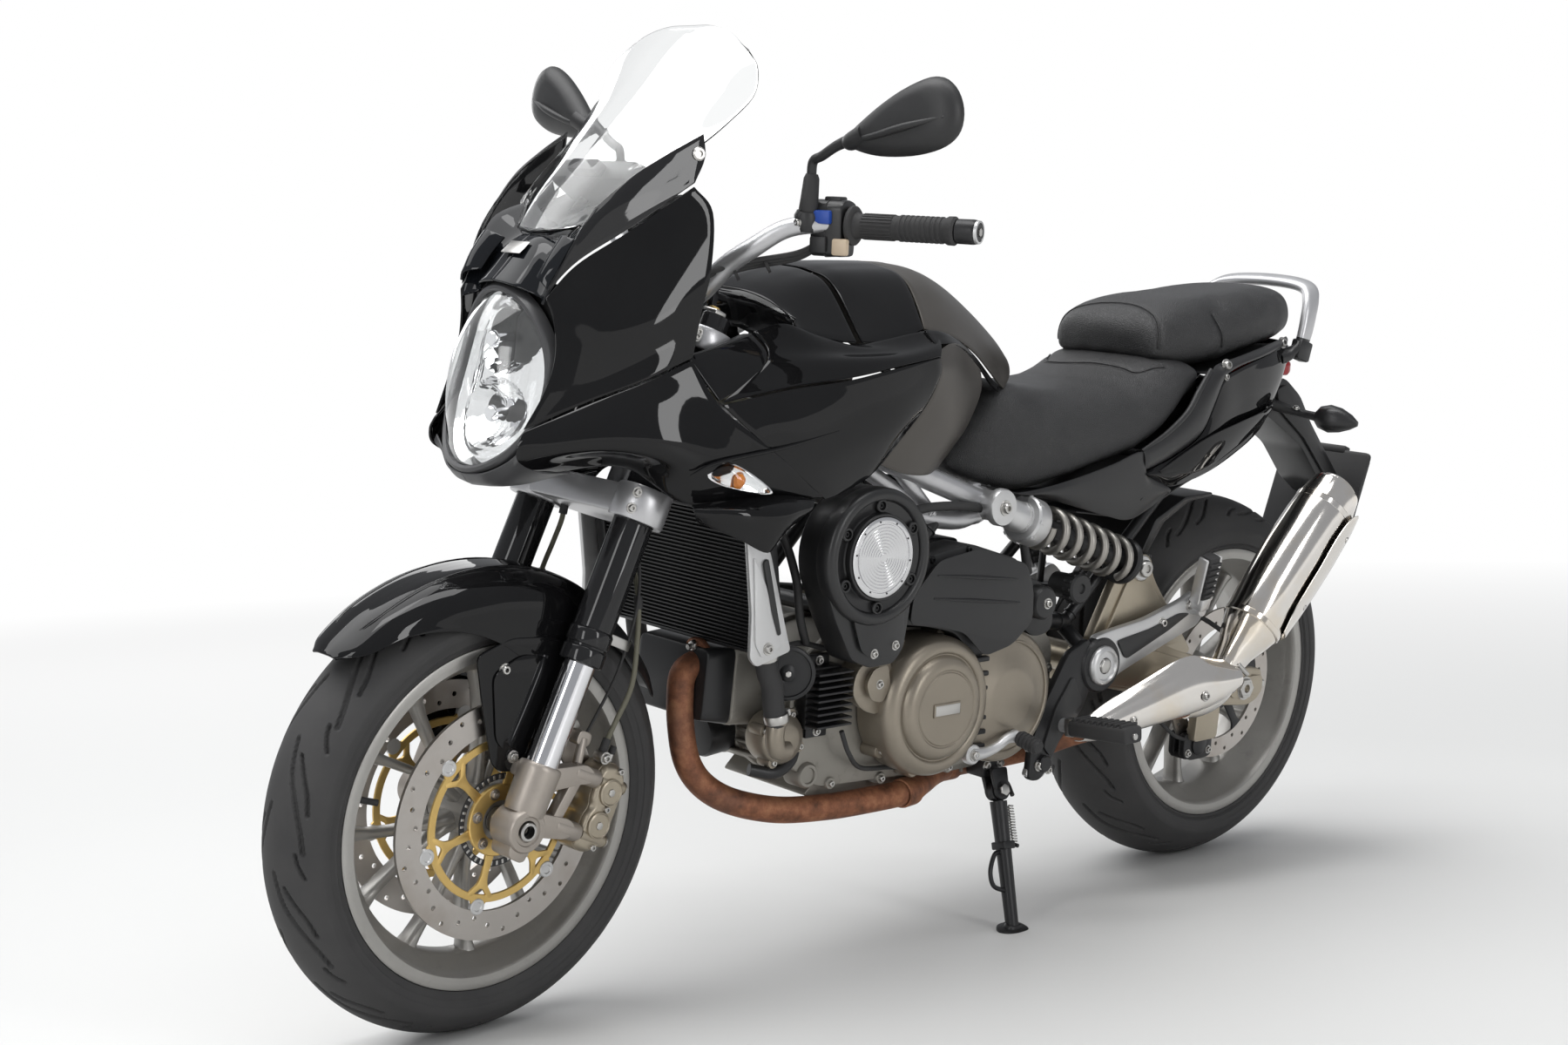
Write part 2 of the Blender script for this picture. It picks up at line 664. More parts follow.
def make_headlight():
    """Oval lamp: clear lens, stacked reflector bowls with step ridges, dark bezel."""
    lamp = Piece("headlight_visual", "chassis", FIXED, ("headlight",))
    count, rings = 56, 12
    vertices = [lamp_front(0, 0)]
    faces = []
    for ring in range(1, rings + 1):
        for k in range(count):
            vertices.append(lamp_front(2 * pi * k / count, ring / rings))
    for k in range(count):
        faces.append((0, 1 + k, 1 + (k + 1) % count))
    for ring in range(1, rings):
        for k in range(count):
            a, b = 1 + (ring - 1) * count + k, 1 + (ring - 1) * count + (k + 1) % count
            faces.append((a, b, b + count, a + count))
    size = len(vertices)
    inner = [v - Vector((2.5, 0, 0)) for v in vertices]
    faces += [tuple(v + size for v in face) for face in faces[:]]
    last = 1 + (rings - 1) * count
    for k in range(count):
        a, b = last + k, last + (k + 1) % count
        faces.append((a, b, b + size, a + size))
    lamp.add(vertices + inner, faces, "lens")
    rings = 40
    count = 96

    def depth(y, z, reach):
        """How far the reflector lies behind the rim at a place in the oval."""
        deep = 20.0
        for bowl_z, half_y, half_z, hollow in ((918.0, 62.0, 48.0, 42.0), (822.0, 66.0, 44.0, 42.0)):
            r = (y / half_y) ** 2 + ((z - bowl_z) / half_z) ** 2
            if r < 1.0:
                deep = max(deep, 22.0 + hollow * (1.0 - r))
        ridge = 2.2 * abs(((z - 700.0) / 9.0) % 1.0 - 0.5) if abs(z - 870.0) < 26 or z < 800 else 0.0
        flute = 1.6 * abs(((y + 300.0) / 14.0) % 1.0 - 0.5)
        return (deep + ridge + flute) * min(1.0, (1.02 - reach) * 9.0)

    vertices, faces = [], []
    for ring in range(rings + 1):
        reach = 0.02 + 0.97 * ring / rings
        for k in range(count):
            front = lamp_front(2 * pi * k / count, reach)
            rim = lamp_rim(2 * pi * k / count)
            base = min(front.x, 0.5 * (front.x + rim.x)) - 4.0
            vertices.append(Vector((base - depth(front.y, front.z, reach), front.y, front.z)))
    for ring in range(rings):
        for k in range(count):
            a, b = ring * count + k, ring * count + (k + 1) % count
            faces.append((a, b, b + count, a + count))
    faces.append(tuple(range(count)))
    shift = len(vertices)
    back = [v - Vector((6, 0, 0)) for v in vertices]
    faces += [tuple(v + shift for v in face) for face in faces[:]]
    last = rings * count
    for k in range(count):
        a, b = last + k, last + (k + 1) % count
        faces.append((a, b, b + shift, a + shift))
    lamp.add(vertices + back, faces, "reflector")
    for height in (918, 822):
        at = frame_at((1412, 0, height), (1, 0, -0.08))
        lamp.lathe([(0, 34), (9, 34), (11, 31), (11, 26), (6, 22), (6, 0), (0, 0)], "chrome", at, 28)
    sections = []
    for k in range(72):
        angle = 2 * pi * k / 72
        rim = lamp_rim(angle)
        out = (lamp_rim(angle, 9.0) - rim)
        sections.append([rim + Vector((2.5, 0, 0)) - out * 0.12, rim + Vector((5.5, 0, 0)) + out * 0.25,
                         rim + Vector((4.5, 0, 0)) + out * 0.7, rim + Vector((0, 0, 0)) + out * 1.05,
                         rim + Vector((-14, 0, 0)) + out * 1.05, rim + Vector((-16, 0, 0)) - out * 0.1])
    lamp.loft(sections, "bezel grey", around=True)
    return lamp.done()


NOSE_SEAM = [(1429, 97, 974), (1393, 113, 1017), (1327, 136, 1062), (1246, 158, 1119)]
CHEEK = [NOSE_SEAM,
         [(1422, 106, 942), (1379, 130, 978), (1302, 152, 1023), (1225, 172, 1087)],
         [(1423, 111, 901), (1369, 141, 930), (1300, 165, 969), (1231, 180, 1015)],
         [(1437, 111, 858), (1370, 143, 881), (1307, 167, 909), (1245, 180, 958)],
         [(1461, 102, 810), (1390, 138, 846), (1321, 167, 875), (1257, 181, 903)]]
LOWER_NOSE = [[(1462, 102, 807), (1391, 138, 843), (1322, 167, 872), (1259, 182, 900)],
              [(1470, 103, 790), (1405, 150, 815), (1322, 184, 838), (1234, 207, 846)],
              [(1467, 99, 771), (1398, 154, 788), (1306, 200, 797), (1186, 223, 806)],
              [(1440, 92, 757), (1350, 140, 778), (1262, 208, 757), (1129, 230, 765)],
              [(1405, 80, 750), (1318, 122, 757), (1250, 186, 713), (1060, 223, 717)]]


def make_nose():
    """Upper fairing: glossy cheeks, screen brackets, faceted beak over the lamp and chin below it."""
    nose = Piece("nose_panels", "chassis", FIXED, ("nose_fairing",))
    nose.panel(CHEEK, "gloss black", 3.5, 8, 6, both=True)
    bracket = [[(1368, 112, 1088), (1325, 128, 1127), (1279, 139, 1157), (1227, 150, 1186)],
               [(1395, 110, 1048), (1352, 126, 1092), (1297, 142, 1124), (1228, 156, 1156)],
               [(1428, 97, 980), (1392, 113, 1021), (1326, 136, 1066), (1245, 158, 1124)]]
    nose.panel(bracket, "smoke black", 3.0, 6, 4, both=True)
    beak = [[(1330, 0, 1062), (1330, 24, 1064), (1328, 50, 1072), (1325, 84, 1094)],
            [(1368, 0, 1052), (1367, 24, 1051), (1364, 54, 1050), (1372, 102, 1072)],
            [(1392, 0, 1046), (1391, 26, 1044), (1385, 62, 1030), (1396, 104, 1036)],
            [(1424, 0, 1012), (1421, 34, 1008), (1404, 66, 998), (1420, 97, 990)],
            [(1444, 0, 992), (1439, 38, 987), (1420, 70, 974), (1431, 90, 966)]]
    nose.panel(beak, "beak black", 4.0, 5, 5, both=True)
    ridge = [[(1383, 62, 1042), (1394, 84, 1050), (1390, 104, 1046)],
             [(1398, 66, 1024), (1414, 86, 1024), (1410, 101, 1014)],
             [(1416, 66, 1000), (1430, 84, 996), (1426, 96, 984)]]
    nose.panel(ridge, "beak black", 4.0, 4, 4, both=True)
    nose.block((-21, -11, 0), (21, 11, 1.4), "bare steel",
               frame_at((1409, 0, 1032.5), (0.66, 0, 0.75), (0, 1, 0)), 0.8)
    chin = [[(1484, 0, 744), (1480, 40, 748), (1468, 74, 764), (1462, 97, 784)],
            [(1468, 0, 729), (1462, 40, 733), (1452, 70, 748), (1462, 97, 770)],
            [(1420, 0, 727), (1418, 36, 730), (1412, 64, 742), (1420, 88, 752)],
            [(1372, 0, 734), (1372, 34, 736), (1370, 60, 744), (1372, 80, 748)]]
    nose.panel(chin, "bezel grey", 3.0, 5, 4, both=True)
    visor = [[(1360, 0, 1046), (1354, 40, 1048), (1340, 76, 1058)],
             [(1300, 0, 1078), (1296, 50, 1072), (1296, 96, 1080)],
             [(1235, 0, 1098), (1232, 56, 1088), (1240, 112, 1104)],
             [(1190, 0, 1096), (1190, 56, 1086), (1200, 118, 1102)]]
    nose.panel(visor, "visor grey", 3.0, 6, 5, both=True)
    inside = [[(1400, 0, 990), (1400, 50, 990), (1396, 84, 990)],
              [(1410, 0, 880), (1410, 60, 880), (1400, 94, 880)],
              [(1424, 0, 780), (1424, 50, 782), (1420, 84, 790)]]
    nose.panel(inside, "matte black", 4.0, 4, 4, both=True)
    for side in (1, -1):
        at = frame_at((1236, side * 151.5, 1160), (0.25, side, 0.1))
        nose.lathe([(0, 0), (9, 0), (9, 3), (7, 5), (4.2, 5), (4.2, 2), (0, 2)], "bare steel", at, 24)
    return nose.done()


def make_windscreen():
    """Tall clear windscreen, bulged and flared, its foot tucked behind the beak."""
    screen = Piece("screen_visual", "chassis", FIXED, ("windscreen",))
    rows = [[(1386, 0, 1052), (1380, 40, 1056), (1353, 78, 1068), (1336, 98, 1092)],
            [(1352, 0, 1100), (1346, 44, 1100), (1326, 84, 1104), (1296, 118, 1122)],
            [(1305, 0, 1150), (1298, 50, 1149), (1276, 98, 1148), (1232, 142, 1168)],
            [(1255, 0, 1204), (1248, 56, 1202), (1226, 112, 1198), (1188, 156, 1206)],
            [(1210, 0, 1252), (1204, 58, 1250), (1188, 118, 1244), (1158, 165, 1240)],
            [(1170, 0, 1298), (1167, 56, 1296), (1160, 112, 1288), (1150, 158, 1276)],
            [(1136, 0, 1332), (1137, 46, 1331), (1140, 92, 1320), (1148, 134, 1296)]]
    whole_panel(screen, rows, "glass", 3.0, 8, 6)
    return screen.done()


TANK_SIDE = [[(1228, 209, 844), (1130, 222, 862), (1027, 227, 872), (951, 227, 884), (848, 219, 899)],
             [(1183, 223, 804), (1120, 230, 815), (1037, 231, 826), (937, 228, 844), (842, 215, 874)],
             [(1127, 229, 762), (1086, 232, 772), (1014, 230, 788), (930, 224, 807), (864, 211, 831)],
             [(1092, 227, 737), (1060, 228, 745), (1004, 223, 757), (946, 216, 771), (904, 207, 787)],
             [(1056, 222, 714), (1034, 220, 717), (998, 215, 726), (966, 210, 737), (939, 204, 751)]]
SHOULDER = [[(1140, 160, 934), (1090, 162, 944), (1029, 166, 928), (967, 171, 915), (833, 168, 932)],
            [(1132, 180, 912), (1061, 185, 912), (986, 191, 906), (900, 193, 909), (820, 184, 922)],
            [(1150, 195, 892), (1070, 208, 895), (980, 214, 898), (911, 214, 901), (834, 205, 912)],
            [(1228, 208, 848), (1128, 221, 866), (1027, 226, 876), (951, 226, 887), (848, 219, 901)]]


def make_side_panels():
    """Glossy side panels with the diagonal seam, winglets, signals and the steering-head corners."""
    side = Piece("side_panels", "chassis", FIXED, ("side_fairings",))
    side.panel(LOWER_NOSE, "gloss black", 3.5, 9, 7, both=True)
    side.panel(TANK_SIDE, "gloss black", 3.5, 8, 7, both=True)
    side.panel(SHOULDER, "gloss black", 3.5, 8, 5, both=True)
    wing = [[(1262, 196, 716), (1200, 214, 722), (1130, 222, 724), (1074, 222, 714)],
            [(1264, 204, 706), (1200, 236, 704), (1140, 242, 700), (1090, 230, 700)],
            [(1252, 192, 692), (1208, 222, 672), (1163, 232, 651), (1134, 220, 668)]]
    side.panel(wing, "gloss black", 3.5, 6, 5, both=True)
    corner = [[(1262, 178, 905), (1210, 172, 915), (1143, 162, 930)],
              [(1250, 192, 880), (1200, 188, 892), (1136, 184, 908)],
              [(1232, 207, 850), (1200, 203, 862), (1154, 198, 888)]]
    side.panel(corner, "gloss black", 3.5, 5, 4, both=True)
    inner = [[(1262, 178, 904), (1210, 172, 914), (1143, 162, 929)],
             [(1255, 150, 890), (1205, 135, 900), (1140, 128, 920)],
             [(1250, 130, 850), (1200, 112, 856), (1140, 108, 870)]]
    side.panel(inner, "matte black", 3.0, 5, 4, both=True)
    for flip in (1, -1):
        at = frame_at((1206, flip * 226.5, 745), (0.30, flip * 0.95, 0.05), (0.86, 0, 0.5))
        outline = smooth_outline([(40, 16), (14, 14), (-22, 2), (-40, -9), (-22, -14), (10, -15), (33, -10),
                                  (42, 2)])
        rings = [[(p[0] * s, p[1] * s, h) for p in outline] for s,
                 h in ((1.0, -2), (1.0, 2), (0.86, 6), (0.5, 9),
                                                                        (0.12, 10))]
        side.loft(rings, "lens", at)
        back = [[(p[0] * s, p[1] * s, h) for p in outline] for s,
                h in ((1.10, -6), (1.10, 0), (1.0, 1.0), (0.9, -1.5),
                                                                       (0.3, -3.0))]
        side.loft(back, "reflector", at)
        side.lathe([(0, 7), (5, 6), (8, 2), (8, -1), (0, -2)], "amber", at @ Matrix.Translation((6, 0, 0)),
                   20)
        crease = [(1276, flip * 207, 756), (1243, flip * 222.5, 773), (1142, flip * 231.5, 788),
                  (1045, flip * 231.5, 806)]
        side.tube(crease, [0.8, 2.6, 2.4, 0.8], "gloss black", 8, 8)
    return side.done()


def make_tank():
    """Fixed part of the dummy tank: bronze-grey side inserts and the painted box front."""
    tank = Piece("tank_sides", "chassis", FIXED, ())
    insert = [[(840, 205, 905), (792, 184, 915), (740, 160, 905), (690, 142, 880)],
              [(838, 210, 875), (786, 190, 871), (730, 164, 850), (680, 138, 840)],
              [(855, 203, 832), (805, 190, 812), (752, 168, 792), (705, 138, 790)],
              [(897, 197, 786), (851, 188, 764), (792, 171, 752), (735, 142, 762)],
              [(930, 190, 750), (874, 185, 733), (816, 171, 727), (775, 150, 732)]]
    tank.panel(insert, "satin grey", 3.0, 6, 6, both=True)
    strip = [[(836, 172, 934), (800, 172, 930), (752, 158, 916), (705, 146, 892), (655, 128, 862),
              (612, 106, 842)],
             [(838, 196, 916), (796, 186, 914), (744, 164, 902), (694, 146, 876), (648, 126, 848),
              (606, 104, 832)]]
    tank.panel(strip, "gloss black", 4.0, 5, 3, both=True)
    neck = [[(1070, 0, 985), (1070, 60, 981), (1068, 112, 969), (1062, 156, 950)],
            [(1080, 0, 974), (1080, 60, 970), (1077, 110, 958), (1068, 156, 938)],
            [(1082, 0, 935), (1081, 60, 930), (1074, 105, 915), (1064, 148, 905)]]
    tank.panel(neck, "gloss black", 3.0, 5, 4, both=True)
    return tank.done()


DECK_TOP = [[(1072, 0, 985), (1072, 60, 981), (1070, 112, 969), (1064, 157, 948)],
            [(1040, 0, 998), (1040, 60, 993), (1042, 112, 976), (1056, 160, 934)],
            [(996, 0, 1009), (996, 58, 1004), (996, 108, 986), (1000, 168, 921)],
            [(963, 0, 1014), (963, 56, 1009), (963, 107, 990), (963, 170, 918)]]
LID_TOP = [[(953, 0, 1015), (953, 56, 1010), (953, 107, 991), (953, 170, 918)],
           [(920, 0, 1019), (920, 55, 1015), (920, 106, 996), (925, 170, 918)],
           [(865, 0, 1021), (865, 52, 1017), (863, 103, 998), (872, 169, 924)],
           [(815, 0, 1021), (815, 50, 1017), (812, 100, 999), (832, 166, 934)]]
LID_REAR = [[(812, 0, 1021), (812, 50, 1017), (809, 100, 998), (818, 138, 964), (829, 165, 934)],
            [(750, 0, 1017), (750, 50, 1011), (750, 93, 990), (754, 130, 955), (764, 160, 920)],
            [(692, 0, 996), (692, 46, 991), (694, 86, 969), (698, 120, 936), (708, 147, 898)],
            [(635, 0, 962), (635, 43, 957), (638, 80, 938), (645, 110, 906), (656, 130, 868)],
            [(578, 0, 924), (579, 42, 918), (584, 74, 900), (594, 96, 872), (612, 108, 846)],
            [(545, 0, 892), (546, 40, 888), (552, 66, 876), (566, 86, 856), (590, 98, 836)]]


def make_deck():
    """Fixed deck in front of the lid, with the key switch plate and the hinge's cover strip."""
    deck = Piece("tank_deck", "chassis", FIXED, ("storage_box",))
    whole_panel(deck, DECK_TOP, "gloss black")
    return deck.done()


def make_lid():
    """Opening top of the dummy tank: glossy crown with side facets and a satin rear hump."""
    lid = Piece("tank_lid", "storage_lid", FIXED, ("storage_lid",))
    whole_panel(lid, LID_TOP, "gloss black")
    whole_panel(lid, LID_REAR, "satin grey", 3.5, 6, 6)
    return lid.done()


# ---------------------------------------------------------------- wheels
AXLE = frame_at((0, 0, 0), (0, 1, 0), (1, 0, 0))
SIDE_ON = Matrix(((1, 0, 0, 0), (0, 0, -1, 0), (0, 1, 0, 0), (0, 0, 0, 1)))
RIM_SEAT = 218.0


def plate(piece, outline, low, high, finish, bevel=1.5, both=False, taper=0.0):
    """Plate with its outline seen from the side, between two distances to the left."""
    piece.prism([(x, z) for x, z in outline], -high, -low, finish, SIDE_ON, bevel, both, taper)


def bolt_head(piece, place, way, radius, finish="bare steel", both=False, washer=True):
    """Domed socket-head screw: washer, head with a rounded edge and a hexagon socket."""
    at = frame_at(place, way)
    if washer:
        piece.lathe([(0, 0), (radius * 1.45, 0), (radius * 1.4, radius * 0.22), (0, radius * 0.22)], finish,
                    at, 20,
                    both)
    top = radius * 0.95
    piece.lathe([(0, 0), (radius, 0), (radius, top * 0.72), (radius * 0.84, top), (radius * 0.5, top),
                 (radius * 0.46, top * 0.4), (0, top * 0.36)], finish, at, 18, both)


def groove_depth(along, across, runs):
    """How deep the tread is cut at a place, from its distance to the groove lines."""
    cut = 0.0
    for points, width in runs:
        for (u0, v0), (u1, v1) in zip(points, points[1:]):
            du, dv = u1 - u0, v1 - v0
            t = max(0.0, min(1.0, ((along - u0) * du + (across - v0) * dv) / (du * du + dv * dv)))
            gap = sqrt((along - u0 - du * t) ** 2 + (across - v0 - dv * t) ** 2)
            cut = max(cut, min(1.0, max(0.0, (width / 2 + 0.9 - gap) / 1.8)))
    return cut


def make_tyre(name, body, place, node, radius, width, rim_width, sectors, steps):
    """Road tyre: round crown cut by long curved grooves, wear bars, sidewall with fine rings."""
    tyre = Piece(name, body, place, (node,))
    half = width / 2
    widest = radius - 0.29 * width - 2
    rise = radius - widest
    crown = (half ** 2 + rise ** 2) / (2 * rise)
    reach = atan2(half, crown - rise)
    pitch = 2 * pi * radius / sectors
    s = half / 60.0
    runs = []
    for side, lead in ((1, 0.0), (-1, 0.5 * pitch)):
        for shift in (-pitch, 0.0, pitch):
            base = lead + shift
            long_run = [(base, 50 * s), (base + 0.16 * pitch, 45 * s), (base + 0.36 * pitch, 33 * s),
                        (base + 0.58 * pitch, 17 * s), (base + 0.82 * pitch, 7 * s)]
            inner_run = [(base + 0.30 * pitch, 51 * s), (base + 0.44 * pitch, 46 * s),
                         (base + 0.60 * pitch, 33 * s),
                         (base + 0.72 * pitch, 22 * s)]
            short_run = [(base + 0.80 * pitch, 52 * s), (base + 0.90 * pitch, 44 * s),
                         (base + 0.99 * pitch, 40 * s)]
            for run, wide in ((long_run, 5.4), (inner_run, 4.4), (short_run, 4.0)):
                points = curve_through([(u, v * side, 0) for u, v in run], 3)
                runs.append(([(p.x, p.y) for p in points], wide))
    across = 84 if half < 75 else 104
    turn = 2 * pi / sectors
    flange = RIM_SEAT + 12.5
    bead = rim_width / 2
    middle = (widest + flange) / 2
    wall = [(widest - 3, half + 0.2), (widest - 9, half + 0.6), (widest - 12, half - 0.4),
            (middle + 6, half - 0.7),
            (middle, half - 1.5), (middle - 2, half - 2.3), (middle - 5, half - 2.4),
            (flange + 8, half - 5.5),
            (flange + 4, bead + 9.5), (flange + 1.2, bead + 7), (flange + 1.0, bead),
            (RIM_SEAT + 1, bead - 1)]
    vertices, faces = [], []
    profile_size = across + 1 + 2 * len(wall)
    for sector in range(sectors):
        for step in range(steps):
            angle = turn * (sector + step / steps)
            line = [(r, -y) for r, y in reversed(wall)]
            for k in range(across + 1):
                lean = reach * (2 * k / across - 1)
                cut = 0.0
                if abs(lean) < reach * 0.96:
                    cut = groove_depth(pitch * step / steps, crown * lean, runs) * 5.0
                line.append((radius - crown + (crown - cut) * cos(lean), (crown - cut) * sin(lean)))
            line += wall
            for r, y in line:
                vertices.append((r * cos(angle), y, r * sin(angle)))
        if sector == 0:
            first = vertices[:]
            lines = [[(sqrt(v[0] ** 2 + v[2] ** 2),
                       v[1]) for v in first[k * profile_size:(k + 1) * profile_size]]
                     for k in range(steps)]
            break
    vertices = []
    for sector in range(sectors):
        for step in range(steps):
            angle = turn * (sector + step / steps)
            vertices += [(r * cos(angle), y, r * sin(angle)) for r, y in lines[step]]
    count = sectors * steps
    for k in range(count):
        low, high = k * profile_size, ((k + 1) % count) * profile_size
        for j in range(profile_size):
            n = (j + 1) % profile_size
            faces.append((low + j, low + n, high + n, high + j))
    tyre.add(vertices, faces, "tyre")
    return tyre


def spoke_sections(foot, root, start, stop, wide, deep, flare):
    """Rounded bar from the hub to the rim, flared where it meets each."""
    sections = []
    for share, w, d in ((0.0, 1.35, 1.25), (0.12, 1.1, 1.12), (0.3, 0.95, 1.0), (0.55, 0.86, 0.94),
                        (0.78, 0.9, 0.96),
                        (0.9, 1.12, 1.0), (0.96, flare, 1.1), (1.0, flare * 1.5, 1.25)):
        reach = start + (stop - start) * share
        angle = radians(root + (foot - root) * share)
        way = Vector((cos(angle), 0, sin(angle)))
        side = Vector((-sin(angle), 0, cos(angle)))
        loop = []
        for k in range(16):
            turn = 2 * pi * k / 16
            c, n = cos(turn), sin(turn)
            bulge = (abs(c) ** 3.2 + abs(n) ** 3.2) ** (-1 / 3.2)
            loop.append(way * reach + side * (wide * w / 2 * c * bulge) + Vector((0, deep * d / 2 * n * bulge,
                                                                                  0)))
        sections.append(loop)
    return sections


def make_rim(name, body, place, node, rim_width, well, hub, bore, wide, deep):
    """Cast wheel: lipped rim, six forked pairs of flared spokes, webbed hub, valve and balance weight."""
    rim = Piece(name, body, place, (node,))
    out = rim_width / 2 + 8.5
    upper = [(221, out), (228, out + 0.4), (230.6, out - 1.2), (230.9, out - 4.6), (229, out - 7.2),
             (221, out - 8.6),
             (218, out - 9.4), (216.6, out - 22), (199, well + 4), (197.5, well - 3)]
    lower = [(190.5, well - 4), (193, well + 3), (207, out - 20), (210, out - 12), (211, out - 4),
             (214, out - 0.6)]
    profile = [(r, y) for r, y in upper] + [(r, -y) for r, y in reversed(upper)]
    profile += [(r, -y) for r, y in reversed(lower)]
    profile += [(r, y) for r, y in lower]
    rim.lathe(profile, "wheel", AXLE, 120, ring=True)
    shell = [(bore / 2, hub[0][0] - 0.2), (hub[0][1] - 2, hub[0][0] - 0.2), (hub[0][1], hub[0][0] - 2),
             (hub[1][1], hub[1][0]), (hub[2][1] + 1, hub[2][0] + 2), (hub[2][1] - 2, hub[2][0] - 3),
             (hub[3][1] + 2, hub[3][0])]
    rim.lathe(shell + [(r, -y) for r, y in reversed(shell)], "wheel", AXLE, 72, ring=True)
    for k in range(6):
        middle = 45 + 60 * k
        for side in (-1, 1):
            rim.loft(spoke_sections(middle + side * 15, middle + side * 5.5, hub[-1][1] - 4, 195.5, wide,
                                    deep, 1.35),
                     "wheel")
        web = []
        for share, reach in ((0.0, hub[-1][1] - 2), (0.5, 52.0), (1.0, 66.0)):
            angle = radians(middle)
            way = Vector((cos(angle), 0, sin(angle)))
            side = Vector((-sin(angle), 0, cos(angle)))
            half, tall = 9.0 - 3 * share, deep * (0.42 - 0.1 * share)
            web.append([way * reach + side * half * c + Vector((0, tall * n, 0))
                        for c,
                        n in ((1, 0.7), (0.7, 1), (-0.7, 1), (-1, 0.7), (-1, -0.7), (-0.7, -1), (0.7, -1),
                                     (1, -0.7))])
        rim.loft(web, "wheel", bevel=1.0)
    angle = radians(14)
    way = Vector((cos(angle), 0, sin(angle)))
    rim.rod(way * 196 + Vector((0, 12, 0)), way * 178 + Vector((0, 20, 0)), 5.2, "rubber", 4.0)
    rim.rod(way * 179 + Vector((0, 19.6, 0)), way * 166 + Vector((0, 25.4, 0)), 4.4, "rubber", 4.2)
    for side in (-1, 1):
        rim.lathe([(bore / 2 + 0.5, hub[0][0] - 14), (hub[0][1] - 10, hub[0][0] - 13),
                   (hub[0][1] - 10, hub[0][0] - 1),
                   (bore / 2 + 3, hub[0][0] - 1.4), (bore / 2 + 0.5, hub[0][0] - 3)], "rubber",
                  frame_at((0, 0, 0), (0, side, 0), (1, 0, 0)), 48, ring=True)
    return rim.done()


def perforated_ring(piece, outer, inner, low, high, cells, rows, hole, finish, sign=1):
    """Braking band: a flat ring of equal cells, each pierced by one round hole."""
    tops, bottoms, faces = [], [], []
    index = {}
    vertices = []

    def corner(angle, reach, level):
        key = (round(angle % (2 * pi), 5) if abs(angle % (2 * pi) - 2 * pi) > 1e-4 else 0.0, round(reach, 2),
               level)
        if key not in index:
            index[key] = len(vertices)
            vertices.append((reach * cos(angle), level * sign, reach * sin(angle)))
        return index[key]

    width = 2 * pi / cells
    for cell in range(cells):
        start = cell * width
        row = rows[cell % len(rows)]
        centre = inner + (outer - inner) * row
        edge = []
        for t in (0.0, 0.25, 0.5, 0.75):
            edge.append((start + width * t, inner))
        for t in (0.0, 0.25, 0.5, 0.75):
            edge.append((start + width, inner + (outer - inner) * t))
        for t in (0.0, 0.25, 0.5, 0.75):
            edge.append((start + width * (1 - t), outer))
        for t in (0.0, 0.25, 0.5, 0.75):
            edge.append((start, outer + (inner - outer) * t))
        middle = start + width / 2
        loop = []
        for angle, reach in edge:
            way = atan2(reach - centre, (angle - middle) * centre)
            loop.append((middle + hole * cos(way) / centre, centre + hole * sin(way)))
        count = len(edge)
        for level, store in ((high, tops), (low, bottoms)):
            outside = [corner(a, r, level) for a, r in edge]
            inside = [corner(a, r, level) for a, r in loop]
            for k in range(count):
                n = (k + 1) % count
                faces.append((outside[k], outside[n], inside[n], inside[k]))
            store.append((outside, inside))
        (outside_high, inside_high), (outside_low, inside_low) = tops[-1], bottoms[-1]
        for k in range(count):
            n = (k + 1) % count
            faces.append((inside_high[k], inside_high[n], inside_low[n], inside_low[k]))
        for k in list(range(0, 4)) + list(range(8, 12)):
            faces.append((outside_high[k], outside_high[k + 1], outside_low[k + 1], outside_low[k]))
    piece.add(vertices, faces, finish)


